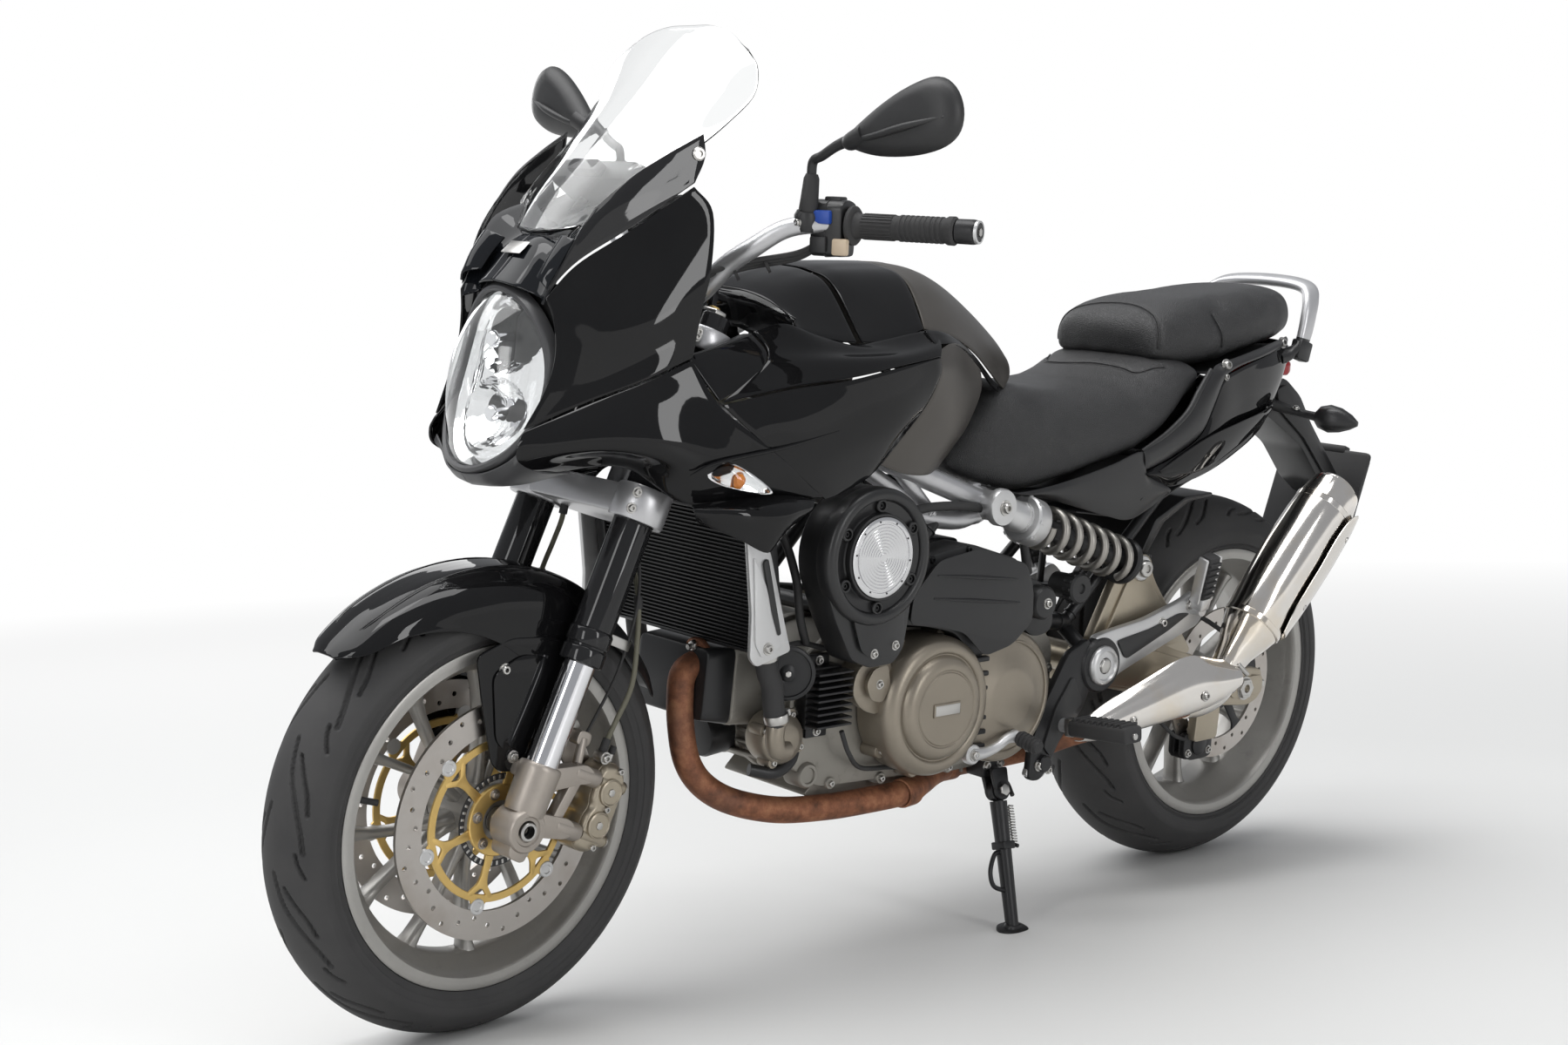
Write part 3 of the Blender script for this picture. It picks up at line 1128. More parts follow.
def make_front_brakes():
    """Two drilled bands on gold carriers of forked petals, with bobbins, bolts and a toothed sensor ring."""
    discs = Piece("front_brake_discs", "front_wheel", FRONT_WHEEL, ("front_discs",))
    for side in (1, -1):
        face = 58.5
        perforated_ring(discs, 160.0, 121.0, face, face + 5, 36, (0.25, 0.5, 0.75, 0.5), 3.4, "disc steel",
                        side)
        at = frame_at((0, 0, 0), (0, side, 0), (1, 0, 0))
        discs.lathe([(100, face + 0.6), (109, face + 0.6), (109.6, face + 1.2), (109.6, face + 4.2),
                     (109, face + 4.8),
                     (100, face + 4.8), (99.4, face + 4.2), (99.4, face + 1.2)], "gold", at, 96, ring=True)
        discs.lathe([(27, face + 0.4), (47, face + 0.4), (48, face + 1.4), (48, face + 5.6), (46.6, face + 7),
                     (27, face + 7)], "gold", at, 64, ring=True)
        for k in range(6):
            middle = radians(45 + 60 * k)
            petals = [([(44, -7), (44, 7), (74, 5), (86, 8), (101, 22), (104, 15), (92, 2), (92, -2),
                        (104, -15),
                        (101, -22), (86, -8), (74, -5)], 0.0)]
            for outline, turn in petals:
                way = Matrix.Rotation(-(middle + turn) * side, 4, "Z")
                discs.prism(rounded(outline, 4, 2), face + 0.9, face + 5.0, "gold", at @ way, 0.8)
            spot = (115.5 * cos(middle), 0, 115.5 * sin(middle))
            place = frame_at((spot[0], side * face, spot[2]), (0, side, 0), (1, 0, 0))
            discs.lathe([(0, -0.4), (10.5, -0.4), (11, 0.6), (11, 5.6), (10, 6.6), (6.4, 6.6), (5.4, 5.2),
                         (0, 5.2)],
                        "bright cast", place, 28)
            lug = [(99, -14), (104, -15), (114, -10.5), (118, 0), (114, 10.5), (104, 15), (99, 14)]
            discs.prism(rounded(lug, 3, 2), face + 0.9, face + 4.6, "gold",
                        at @ Matrix.Rotation(-middle * side, 4, "Z"), 0.8)
            bolt = radians(15 + 60 * k)
            bolt_head(discs, (37.5 * cos(bolt), side * (face + 7), 37.5 * sin(bolt)), (0, side, 0), 5.4,
                      "disc steel")
    teeth = [[(54, 60.6), (62, 60.6), (62.4, 61.2), (62.4, 62.2), (54, 62.2)]]
    discs.lathe(teeth[0], "matte black", AXLE, 72, ring=True)
    for k in range(40):
        turn = Matrix.Rotation(2 * pi * k / 40, 4, "Z")
        discs.block((55.2, -1.6, 62.2), (60.8, 1.6, 62.9), "bare steel", AXLE @ turn, 0.2)
    return discs.done()


def make_rear_brake():
    """Drilled rear band on a plain five-arm carrier."""
    disc = Piece("rear_brake_disc", "rear_wheel", REAR_WHEEL, ("rear_disc",))
    face = 80.5
    perforated_ring(disc, 130.0, 98.0, face, face + 5, 30, (0.28, 0.72), 3.4, "disc steel")
    disc.lathe([(27, face + 0.2), (46, face + 0.2), (47, face + 1.2), (47, face + 4.6), (46, face + 5.4),
                (27, face + 5.4)], "black metal", AXLE, 64, ring=True)
    for k in range(5):
        way = AXLE @ Matrix.Rotation(-radians(20 + 72 * k), 4, "Z")
        disc.prism(rounded([(42, -9), (42, 9), (88, 7), (101, 16), (104, 0), (101, -16), (88, -7)], 5, 2),
                   face + 0.7,
                   face + 4.6, "black metal", way, 0.8)
        angle = radians(20 + 72 * k)
        bolt_head(disc, (37 * cos(angle), face + 5.4, 37 * sin(angle)), (0, 1, 0), 5.0, "bare steel")
    return disc.done()


# ---------------------------------------------------------------- fork
def make_fork():
    """Cast feet with pinch bolts, chromed stanchions and gloss black outer tubes with their collars."""
    fork = Piece("fork_legs", "steering", FORK, ("fork_feet", "fork_tubes"))
    leg = 103.0
    at = frame_at((0, leg, 0), (0, 0, 1), (1, 0, 0))
    fork.lathe([(0, 20), (26, 20), (27.5, 30), (27.8, 60), (28.6, 78), (28.6, 83), (26.5, 86), (22.2, 86.6),
                (0, 86.6)], "fork cast", at, 48, both=True)
    fork.lathe([(0, 84), (21.5, 84), (21.5, 228), (0, 228)], "chrome", at, 48, both=True)
    fork.lathe([(0, 224), (26, 224), (29.2, 226), (29.5, 228), (29.5, 243), (28.6, 245.5), (27.2, 246.5),
                (27.2, 249), (28.6, 250), (29.5, 252), (29.5, 268), (28.4, 270.5), (27, 272), (27, 712),
                (25.5, 715),
                (0, 715)], "smoke black", at, 56, both=True)
    fork.lathe([(0, 715), (19, 715), (19, 721), (17.5, 723), (0, 723)], "bare steel", at, 6, both=True,
               bevel=0.8)
    fork.lathe([(0, 722), (8, 722), (8, 726), (6.5, 727.5), (0, 727.5)], "gold", at, 24, both=True, bevel=0.4)
    clamp = frame_at((0, leg, 0), (0, 1, 0), (1, 0, 0))
    fork.lathe([(14.5, -22), (27, -22), (29, -20), (29, 20), (27, 22.5), (20, 23), (18.5, 21), (14.5, 21)],
               "fork cast", clamp, 56, both=True, ring=True)
    plate(fork, rounded([(-16, -8), (-15, -37), (-8, -41), (12, -38), (16, -30), (16, -8)], 5, 3), leg - 19,
          leg + 19,
          "fork cast", 2.5, both=True)
    plate(fork, rounded([(-6, -8), (-72, 4), (-84, 12), (-84, 26), (-70, 32), (-8, 26)], 7, 3), leg - 11,
          leg + 11,
          "fork cast", 3.0, both=True)
    plate(fork, rounded([(-8, 50), (-66, 78), (-84, 84), (-84, 100), (-66, 106), (-8, 84)], 7, 3), leg - 11,
          leg + 11,
          "fork cast", 3.0, both=True)
    plate(fork, rounded([(-42, 22), (-58, 20), (-70, 84), (-54, 90)], 4, 2), leg - 9, leg + 9, "fork cast",
          2.5,
          both=True)
    plate(fork, rounded([(-6, 20), (-20, 20), (-44, 76), (-6, 60)], 4, 2), leg - 3, leg + 3, "fork cast", 1.0,
          both=True)
    for height in (18.0, 92.0):
        fork.lathe([(0, -12), (11.5, -12), (12.5, -9), (12.5, 30), (10.5, 34), (0, 34)], "fork cast",
                   frame_at((-66, leg, height), (-1, 0, 0)), 28, both=True)
        for side in (1, -1):
            bolt_head(fork, (-54, side * leg, height), (1, 0, 0), 6.2, "bare steel")
    for shift in (-10.0, 10.0):
        for side in (1, -1):
            bolt_head(fork, (-15.5, side * (leg + shift), -28), (-1, 0, 0), 5.4, "bare steel", washer=False)
    plate(fork, rounded([(-12, 60), (-12, 82), (24, 82), (24, 62)], 5, 2), 75, leg, "fork cast", 2.0,
          both=True)
    plate(fork, rounded([(-48, 126), (-72, 126), (-72, 146), (-48, 146)], 8, 3), 76, leg - 6, "fork cast",
          2.0,
          both=True)
    fork.rod((-62, leg - 4, 96), (-60, leg - 10, 136), 6.5, "fork cast", both=True)
    return fork.done()


def make_axle():
    """Hollow front axle with its dark bore, collars and retaining screw."""
    axle = Piece("front_axle_visual", "steering", FORK, ("front_axle",))
    axle.lathe([(8.6, -128), (11.5, -128), (12.4, -127), (12.4, 127), (11.5, 128), (8.6, 128)], "bare steel",
               AXLE, 40,
               ring=True)
    axle.lathe([(7.9, -118), (8.5, -118), (8.5, 118), (7.9, 118)], "matte black", AXLE, 32, ring=True)
    axle.lathe([(0, -2), (8.4, -2), (8.4, 2), (0, 2)], "matte black", AXLE, 24)
    for side in (1, -1):
        at = frame_at((0, 0, 0), (0, side, 0), (1, 0, 0))
        axle.lathe([(12, 59.2), (17, 59.2), (18, 60.2), (18, 73.4), (17, 74.6), (12, 74.6)], "bare steel", at,
                   48,
                   ring=True)
    return axle.done()


CALIPER_SIDE = [(-100, 2), (-99, 44), (-103, 52), (-103, 60), (-99, 68), (-99, 108), (-108, 118), (-124, 121),
                (-141, 113), (-149, 96), (-152, 60), (-150, 26), (-142, 6), (-126, -4), (-108, -4)]


def make_calipers():
    """Radial four-piston calipers: two halves over the disc, bridge, pads, bolts, bleeders and banjo."""
    brake = Piece("front_caliper_bodies", "steering", FORK, ("front_calipers",))
    outline = rounded(CALIPER_SIDE, 6, 3)
    for side in (1, -1):
        for low, high, taper in ((67.5, 101, 0.0), (101, 110, 7.0)):
            piece_low, piece_high = (low, high)
            at = SIDE_ON.copy()
            if side > 0:
                at = SIDE_ON @ Matrix.Scale(-1, 4, (0, 0, 1))
            brake.prism(outline, piece_low, piece_high, "champagne", at, 2.2, False, taper)
        inner = rounded([(x, z * 0.92 + 4) for x, z in CALIPER_SIDE], 6, 3)
        at = SIDE_ON @ Matrix.Scale(-1, 4, (0, 0, 1)) if side > 0 else SIDE_ON.copy()
        brake.prism(inner, 36, 54.5, "champagne", at, 3.0, False, 0.0)
        for height in (10.0, 58.0, 104.0):
            brake.block((-150, side * 44 - 10 if side > 0 else side * 44 - 26, height - 8),
                        (-128, side * 44 + 26 if side > 0 else side * 44 + 10, height + 8), "champagne", None,
                        2.5)
        for height in (36.0, 82.0):
            brake.lathe([(0, 0), (19, 0), (18.4, 3.4), (16.5, 4.6), (15.4, 3.2), (0, 3.2)], "champagne",
                        frame_at((-124, side * 110, height), (0, side, 0)), 40)
            brake.lathe([(0, 0), (5.5, 0), (5.5, 2.0), (0, 2.0)], "bare steel",
                        frame_at((-124, side * 113, height), (0, side, 0)), 6, bevel=0.3)
        for height in (18.0, 92.0):
            brake.lathe([(0, 0), (9.0, 0), (9.0, 42), (7.6, 45), (0, 45)], "champagne",
                        frame_at((-103, side * 103, height), (-1, 0, 0)), 24)
            bolt_head(brake, (-148, side * 103, height), (-1, 0, 0), 6.4, "bare steel")
        for height in (6.0, 59.0, 112.0):
            bolt_head(brake, (-128, side * 110, height), (0, side, 0), 4.6, "bare steel", washer=False)
        brake.rod((-118, side * 92, 114), (-116, side * 94, 134), 3.6, "bare steel")
        brake.rod((-116, side * 94, 130), (-115.5, side * 94.5, 141), 4.6, "rubber")
        brake.lathe([(0, -8), (8.5, -8), (8.5, 8), (0, 8)], "bare steel",
                    frame_at((-96, side * 100, 122), (0, side, 0)),
                    24, bevel=0.8)
        bolt_head(brake, (-96, side * 108, 122), (0, side, 0), 6.0, "bare steel")
        brake.block((-130, side * 61 - 8, 6), (-106, side * 61 + 8, 104), "bare steel", None, 1.5)
    return brake.done()


def make_hoses():
    """Braided hoses from the lower clamp, behind each leg and down to its banjo, with the sensor wire."""
    hoses = Piece("brake_hoses_visual", "steering", FORK, ("brake_hoses",))
    for side in (1, -1):
        route = [(-14, side * 58, 424), (-22, side * 62, 404), (-40, side * 84, 374), (-56, side * 104, 330),
                 (-74, side * 112, 276), (-92, side * 111, 222), (-94, side * 104, 170),
                 (-95, side * 99, 136),
                 (-96, side * 98, 122)]
        hoses.tube(route, 3.6, "hose", 12, 8)
        for spot, way in (((-15, side * 58, 421), (-0.2, 0, -1)), ((-94.5, side * 100, 138), (0, 0, 1)),
                          ((-57, side * 104, 328), (-0.4, 0.2 * side, -1))):
            hoses.lathe([(0, -9), (5.4, -9), (5.8, -8), (5.8, 8), (5.4, 9), (0, 9)], "rubber",
                        frame_at(spot, way), 20)
        hoses.block((-70, side * 104 - 2, 262), (-20, side * 104 + 2, 276), "bare steel", None, 1.0)
    wire = [(-60, 92, 128), (-72, 88, 170), (-70, 100, 240), (-52, 108, 330), (-30, 92, 398), (-20, 66, 424)]
    hoses.tube(wire, 2.2, "rubber", 10, 8)
    return hoses.done()


def fender_point(angle, radius, side):
    """Point over the front wheel from polar place and distance to the left."""
    return (radius * cos(radians(angle)), side, radius * sin(radians(angle)))


FENDER_ROWS = ((45.5, (331, 331, 330, 329, 328), (0, 8, 15, 21, 25)),
               (50.0, (332, 331, 328, 322, 314), (0, 18, 34, 46, 53)),
               (60.0, (332, 331, 326, 314, 300), (0, 24, 44, 59, 66)),
               (72.0, (331, 330, 324, 306, 274), (0, 26, 48, 65, 72)),
               (84.0, (330, 329, 322, 300, 244), (0, 27, 50, 68, 76)),
               (96.0, (329, 328, 321, 296, 214), (0, 27, 50, 69, 78)),
               (106.0, (328, 327, 319, 292, 200), (0, 27, 50, 68, 78)),
               (115.0, (326, 325, 316, 286, 212), (0, 26, 48, 66, 76)),
               (122.0, (323, 322, 313, 286, 254), (0, 25, 46, 60, 68)))


def make_fender():
    """Gloss front fender with two ridges and flanks down to the fork, and its separate rear piece."""
    fender = Piece("front_fender_visual", "steering", FRONT_WHEEL, ("front_fender",))
    rows = [[fender_point(angle, r, y) for r, y in zip(radii, sides)] for angle, radii, sides in FENDER_ROWS]
    grid = surface_through(rows, 6, 6)
    whole = [[Vector((p.x, -p.y, p.z)) for p in reversed(row[1:])] + row for row in grid]
    fender.sheet(whole, "gloss black", 3.0, False, 1.2)
    flank = rounded([(54, 226), (44, 170), (26, 84), (14, 70), (-8, 66), (-28, 70), (-40, 84), (-76, 150),
                     (-110, 150), (-122, 166), (-112, 214), (-70, 238), (0, 244)], 12, 4)
    plate(fender, flank, 72.5, 76.5, "gloss black", 1.6, both=True)
    lift = rounded([(30, 200), (22, 112), (8, 96), (-18, 98), (-56, 168), (-60, 214), (-16, 222)], 14, 4)
    plate(fender, lift, 75.5, 80.0, "gloss black", 1.8, both=True, taper=3.0)
    for y in (30.0, 33.0):
        path = []
        for angle, top in ((49, 331.4), (58, 332.6), (72, 331.6), (88, 330.6), (104, 329.2), (119, 325.6)):
            path.append(fender_point(angle, top - 0.004 * y * y, y * (0.62 if angle < 50 else 1.0)))
        fender.tube(path, [0.6, 2.4, 2.8, 2.8, 2.4, 0.6], "gloss black", 10, 6, both=True)
    rear = []
    for angle, radii, sides in ((114, (316, 315, 309, 298, 280), (0, 24, 42, 54, 60)),
                                (124, (315, 314, 308, 296, 276), (0, 24, 42, 54, 62)),
                                (136, (314, 313, 307, 295, 280), (0, 23, 40, 52, 60)),
                                (148, (314, 313, 308, 298, 288), (0, 20, 36, 46, 53)),
                                (156, (314, 313, 310, 304, 298), (0, 14, 26, 34, 40))):
        rear.append([fender_point(angle, r, y) for r, y in zip(radii, sides)])
    grid = surface_through(rear, 5, 5)
    whole = [[Vector((p.x, -p.y, p.z)) for p in reversed(row[1:])] + row for row in grid]
    fender.sheet(whole, "satin black", 3.0, False, 1.2)
    for x, z in ((-8, 87), (-104, 168), (10, 204)):
        for side in (1, -1):
            bolt_head(fender, (x, side * 77, z), (0, side, 0), 6.0, "bare steel")
    return fender.done()


def make_front_tyre():
    return make_tyre("front_tyre_visual", "front_wheel", FRONT_WHEEL, "front_tyre", FRONT_RADIUS, 120.0, 88.9,
                     11,
                     80).done()


def make_rear_tyre():
    return make_tyre("rear_tyre_visual", "rear_wheel", REAR_WHEEL, "rear_tyre", REAR_RADIUS, 180.0, 152.4, 11,
                     72).done()


def make_front_rim():
    return make_rim("front_wheel_casting", "front_wheel", FRONT_WHEEL, "front_rim", 88.9, 16,
                    [(58.5, 46), (52, 46), (46, 36), (20, 34)], 26.0, 14.5, 27)


def make_rear_rim():
    return make_rim("rear_wheel_casting", "rear_wheel", REAR_WHEEL, "rear_rim", 152.4, 27,
                    [(80.5, 46), (72, 46), (64, 38), (24, 42)], 26.0, 17, 36)


# ---------------------------------------------------------------- engine
def turned(piece, x, z, profile, finish, count=72, ring=False, bevel=0.0, y=0.0):
    """Turned shape whose axis runs across the bike; profile of (radius, distance to the left)."""
    piece.lathe(profile, finish, frame_at((x, y, z), (0, 1, 0), (1, 0, 0)), count, bevel=bevel, ring=ring)


def make_engine():
    """Crankcase with its flanges, two cylinders with heads and covers, sump ribs and small castings."""
    engine = Piece("engine_castings", "chassis", FIXED, ("engine_block",))
    case = rounded([(1010, 330), (1000, 452), (930, 500), (700, 512), (560, 500), (476, 440), (478, 338),
                    (550, 282),
                    (720, 274), (955, 284)], 22, 4)
    plate(engine, case, -112, 112, "engine", 4.0)
    lip = rounded([(1016, 326), (1006, 458), (932, 506), (700, 518), (556, 506), (470, 444), (472, 334),
                   (548, 277),
                   (720, 269), (958, 279)], 24, 4)
    for low, high in ((-117.5, -108), (108, 117.5), (-7, 7)):
        plate(engine, lip, low, high, "engine", 1.6)
    sump = rounded([(960, 262), (930, 290), (560, 292), (530, 276), (560, 258), (900, 250)], 8, 3)
    plate(engine, sump, -84, 96, "engine", 3.0)
    for k in range(9):
        x = 590 + 40 * k
        engine.block((x - 2, -80, 249), (x + 2, 92, 262), "engine", None, 0.8)
    for k in range(7):
        z = 314 + 17 * k
        engine.block((1000, -86, z), (1013, 88, z + 5), "engine", None, 1.2)
    for x, z in ((1004, 340), (1000, 395), (985, 462), (905, 510), (800, 514), (548, 492), (480, 400),
                 (490, 330),
                 (600, 277), (690, 272), (830, 275), (930, 282)):
        turned(engine, x, z, [(0, 100), (9, 100), (9, 120), (8, 121.5), (0, 121.5)], "engine", 20)
        bolt_head(engine, (x, 121.5, z), (0, 1, 0), 4.6, "bare steel", washer=False)
    front = frame_at((930, 0, 420), (cos(radians(5)), 0, sin(radians(5))), (0, 0, 1))
    barrel = rounded([(-50, -84), (50, -84), (50, 84), (-50, 84)], 20, 4)
    engine.prism(barrel, 0, 96, "engine", front, 2.0)
    engine.prism([(x * 1.05, y * 1.04) for x, y in barrel], 92, 100, "engine", front, 1.2)
    head = rounded([(-55, -88), (58, -88), (58, 88), (-55, 88)], 16, 4)
    engine.prism(head, 99, 160, "engine", front, 3.0)
    engine.prism([(x * 0.99, y * 0.97) for x, y in head], 158, 203, "black metal", front, 3.0, taper=9.0)
    for y in (-60, -20, 20, 60):
        for x in (-44, 46):
            bolt_head(engine, front @ Vector((x, y, 190)), (cos(radians(5)), 0, sin(radians(5))), 5.0,
                      "bare steel")
    for k in range(4):
        engine.block((-52.5, -70, 110 + 11 * k), (-57, 70, 113 + 11 * k), "engine", front, 0.6)
        engine.block((-40, 87, 106 + 12 * k), (44, 90.5, 110 + 12 * k), "engine", front, 0.8)
    rear = frame_at((716, 0, 490), (-sin(radians(5)), 0, cos(radians(5))), (1, 0, 0))
    barrel = rounded([(-70, -84), (70, -84), (70, 84), (-70, 84)], 20, 4)
    engine.prism(barrel, 0, 66, "engine", rear, 2.0)
    for k in range(4):
        engine.prism([(x * 1.03, y * 1.04) for x, y in barrel], 10 + 14 * k, 13 + 14 * k, "engine", rear, 0.8)
    engine.prism([(x * 1.02, y * 1.02) for x, y in barrel], 66, 100, "engine", rear, 3.0)
    engine.prism([(x * 0.98, y * 0.98) for x, y in barrel], 98, 125, "black metal", rear, 3.0, taper=8.0)
    for y in (-60, 0, 60):
        for x in (-56, 56):
            bolt_head(engine, rear @ Vector((x, y, 118)), (0, 0, 1), 5.0, "bare steel")
    for x, z, r in ((1000, 430, 13), (975, 300, 15), (1008, 372, 11)):
        turned(engine, x, z,
               [(0, 90), (r + 4, 90), (r + 4, 120), (r + 1, 124), (r - 3, 124), (r - 4, 121), (0, 121)],
               "engine", 32)
    filler = frame_at((1006, 70, 420), (1, 0.25, 0.05))
    engine.lathe([(0, -6), (24, -6), (24, 6), (19, 10), (19, 17), (16, 20), (0, 20)], "engine", filler, 36)
    filter_can = frame_at((1006, -30, 345), (1, 0, -0.1))
    engine.lathe([(0, -8), (36, -8), (36, 44), (33, 50), (20, 53), (0, 53)], "black metal", filter_can, 48)
    rightside = [(700, 392, 118), (590, 410, 84)]
    for x, z, r in rightside:
        turned(engine, x, z,
               [(0, -112), (r, -112), (r, -136), (r - 5, -142), (r - 16, -144), (r - 20, -150), (0, -152)],
               "bronze", 72)
    return engine.done()


def make_covers():
    """Variator and clutch covers, the ribbed gap between them, and the black belt duct cover above."""
    covers = Piece("transmission_covers_visual", "chassis", FIXED, ("transmission_covers",))
    x, z = 781.0, 388.0
    turned(covers, x, z,
           [(0, 118), (100, 118), (103, 120), (104, 126), (104, 168), (102, 178), (97, 185), (91, 189),
                          (84, 190), (81, 189), (79, 186.5), (77.5, 186.5), (75.5, 190), (73, 195),
            (67, 198.6),
                          (62, 199.6), (58, 199.6), (56.4, 198), (54.6, 198), (53, 199.6), (20, 200),
            (0, 200)],
           "bronze", 120)
    covers.block((x - 27, 199.6, z - 10), (x + 27, 202.2, z + 10), "bronze", None, 1.4)
    covers.block((x - 24.5, 201.6, z - 7.5), (x + 24.5, 202.8, z + 7.5), "bare steel", None, 0.6)
    boss = rounded([(872, 476), (905, 474), (932, 452), (938, 420), (918, 396), (884, 384), (862, 410),
                    (858, 450)], 14, 4)
    plate(covers, boss, 116, 166, "bronze", 3.0, taper=10.0)
    plate(covers, rounded([(880, 462), (908, 458), (922, 436), (912, 412), (888, 406), (874, 430)], 8, 3),
          160, 178,
          "bronze", 2.5, taper=8.0)
    covers.block((902, 150, 470), (926, 166, 492), "bronze", None, 3.0)
    bolt_head(covers, (914, 166, 482), (0, 1, 0), 5.6, "bare steel")
    bolt_head(covers, (896, 177, 434), (0, 1, 0), 5.0, "bare steel")
    for angle in (18, 62, 108, 232, 276, 322):
        spot = (x + 101 * cos(radians(angle)), z + 101 * sin(radians(angle)))
        turned(covers, spot[0], spot[1], [(0, 118), (11.5, 118), (11, 146), (9.6, 149), (0, 149)], "bronze",
               24)
        bolt_head(covers, (spot[0], 149, spot[1]), (0, 1, 0), 4.6, "bare steel", washer=False)
    x, z = 628.0, 383.0
    turned(covers, x, z,
           [(0, 118), (99, 118), (102, 121), (102, 158), (100, 166), (94, 171), (76, 175), (56, 180),
                          (47, 184.6), (40, 186), (0, 186)], "bronze", 112)
    wing = [(680, 474), (640, 486), (580, 482), (540, 452), (526, 410), (530, 360), (548, 322), (590, 296),
            (640, 288),
            (690, 300), (712, 330)]
    plate(covers, rounded(wing, 26, 5), 116, 140, "bronze", 4.0, taper=3.0)
    rim = [(x + 85 * cos(radians(a)), 173.0, z + 85 * sin(radians(a))) for a in range(100, 300, 10)]
    covers.tube(rim, [1.0] + [2.8] * (len(rim) - 2) + [1.0], "bronze", 8, 3)
    for sx, sz in ((676, 466), (600, 476), (540, 420), (540, 345), (600, 299), (682, 308)):
        turned(covers, sx, sz, [(0, 116), (11, 116), (10.4, 143), (9, 145), (0, 145)], "bronze", 24)
        bolt_head(covers, (sx, 145, sz), (0, 1, 0), 4.6, "bare steel", washer=False)
    for k in range(7):
        height = 316 + 22 * k
        covers.block((676, 120, height - 4), (712, 181, height + 4), "black metal", None, 2.4)
    covers.block((682, 118, 304), (708, 172, 460), "matte black", None, 3.0)
    duct = rounded([(862, 516), (856, 560), (806, 610), (722, 622), (616, 590), (598, 548), (596, 496),
                    (640, 462),
                    (700, 450), (746, 492), (800, 506)], 14, 4)
    plate(covers, duct, 118, 174, "matte black", 3.0)
    top = [(p[0] * 0.97 + 0.03 * 728, p[1] * 0.95 + 0.05 * 552) for p in duct]
    plate(covers, top, 172, 193, "matte black", 2.0, taper=15.0)
    for start, stop in (((640, 192.5, 566), (806, 192.5, 585)), ((632, 192.5, 530), (812, 192.5, 552))):
        covers.tube([start, ((start[0] + stop[0]) / 2, 193.4, (start[2] + stop[2]) / 2), stop],
                    [1.6, 3.0, 1.6],
                    "satin black", 8, 6)
    for sx, sz in ((838, 548), (800, 604), (726, 614), (634, 574), (612, 506)):
        bolt_head(covers, (sx, 173, sz), (0, 1, 0), 4.6, "black metal")
    link = rounded([(618, 560), (560, 556), (520, 520), (518, 470), (560, 462), (600, 490)], 18, 4)
    plate(covers, link, 118, 160, "matte black", 4.0, taper=6.0)
    turned(covers, 560, 520, [(0, 158), (26, 158), (26, 176), (22, 181), (12, 183), (0, 183)], "matte black",
           40)
    bolt_head(covers, (560, 183, 520), (0, 1, 0), 6.0, "bare steel")
    return covers.done()


def make_drum():
    """Filter housing with a downward foot, recessed screws and a disc of turned aluminium."""
    drum = Piece("intake_drum_visual", "chassis", FIXED, ("intake_drum",))
    x, z = 953.0, 628.0
    shell = [(95 * cos(radians(a)) + x, 95 * sin(radians(a)) + z) for a in range(-28, 218, 9)]
    shell += [(880, 540), (888, 492), (906, 472), (950, 470), (986, 484), (1018, 540)]
    plate(drum, rounded(shell, 8, 2), 162, 214, "satin black", 3.0)
    foot = rounded([(896, 556), (896, 500), (912, 484), (948, 482), (976, 494), (996, 548)], 12, 4)
    plate(drum, foot, 210, 222, "satin black", 3.0, taper=8.0)
    turned(drum, x, z,
           [(60, 200), (95, 200), (96, 206), (95.5, 222), (93, 227), (88, 229.4), (82, 229.4), (79, 227),
                        (77, 222), (66, 219), (62, 219), (60, 221)], "satin black", 120, ring=True)
    profile = [(0, 232.6)]
    for k in range(9):
        r = 6 + 4.4 * k
        profile += [(r, 232.6), (r + 0.5, 232.0), (r + 1.1, 232.0), (r + 1.6, 232.6)]
    profile += [(46, 232.6), (46.6, 231.2), (48.6, 231.2), (49.2, 232.6), (55, 232.4), (56, 231.6), (56, 222),
                (0, 222)]
    turned(drum, x, z, profile, "brushed", 128)
    turned(drum, x, z, [(56.4, 219), (60.4, 219), (60.4, 229.6), (59.4, 230.6), (57.4, 230.6), (56.4, 229.6)],
           "satin black", 96, ring=True)
    for k in range(6):
        angle = radians(30 + 60 * k)
        spot = (x + 71 * cos(angle), 219.5, z + 71 * sin(angle))
        drum.lathe([(0, -3), (9.5, -3), (9.5, 5.5), (8.4, 6.5), (6.2, 6.5), (6.2, 0.5), (0, 0.5)],
                   "satin black",
                   frame_at(spot, (0, 1, 0)), 28)
        bolt_head(drum, spot, (0, 1, 0), 4.4, "black metal", washer=False)
    for k in range(10):
        angle = radians(36 * k + 8)
        turned(drum, x + 50.8 * cos(angle), z + 50.8 * sin(angle),
               [(0, 231.6), (1.5, 231.6), (1.5, 233.0), (0, 233.0)],
               "matte black", 12)
    drum.rod((930, 142, 690), (936, 172, 668), 10, "black metal")
    for sx, sz in ((912, 500), (952, 492)):
        bolt_head(drum, (sx, 221, sz), (0, 1, 0), 5.0, "bare steel")
    return drum.done()


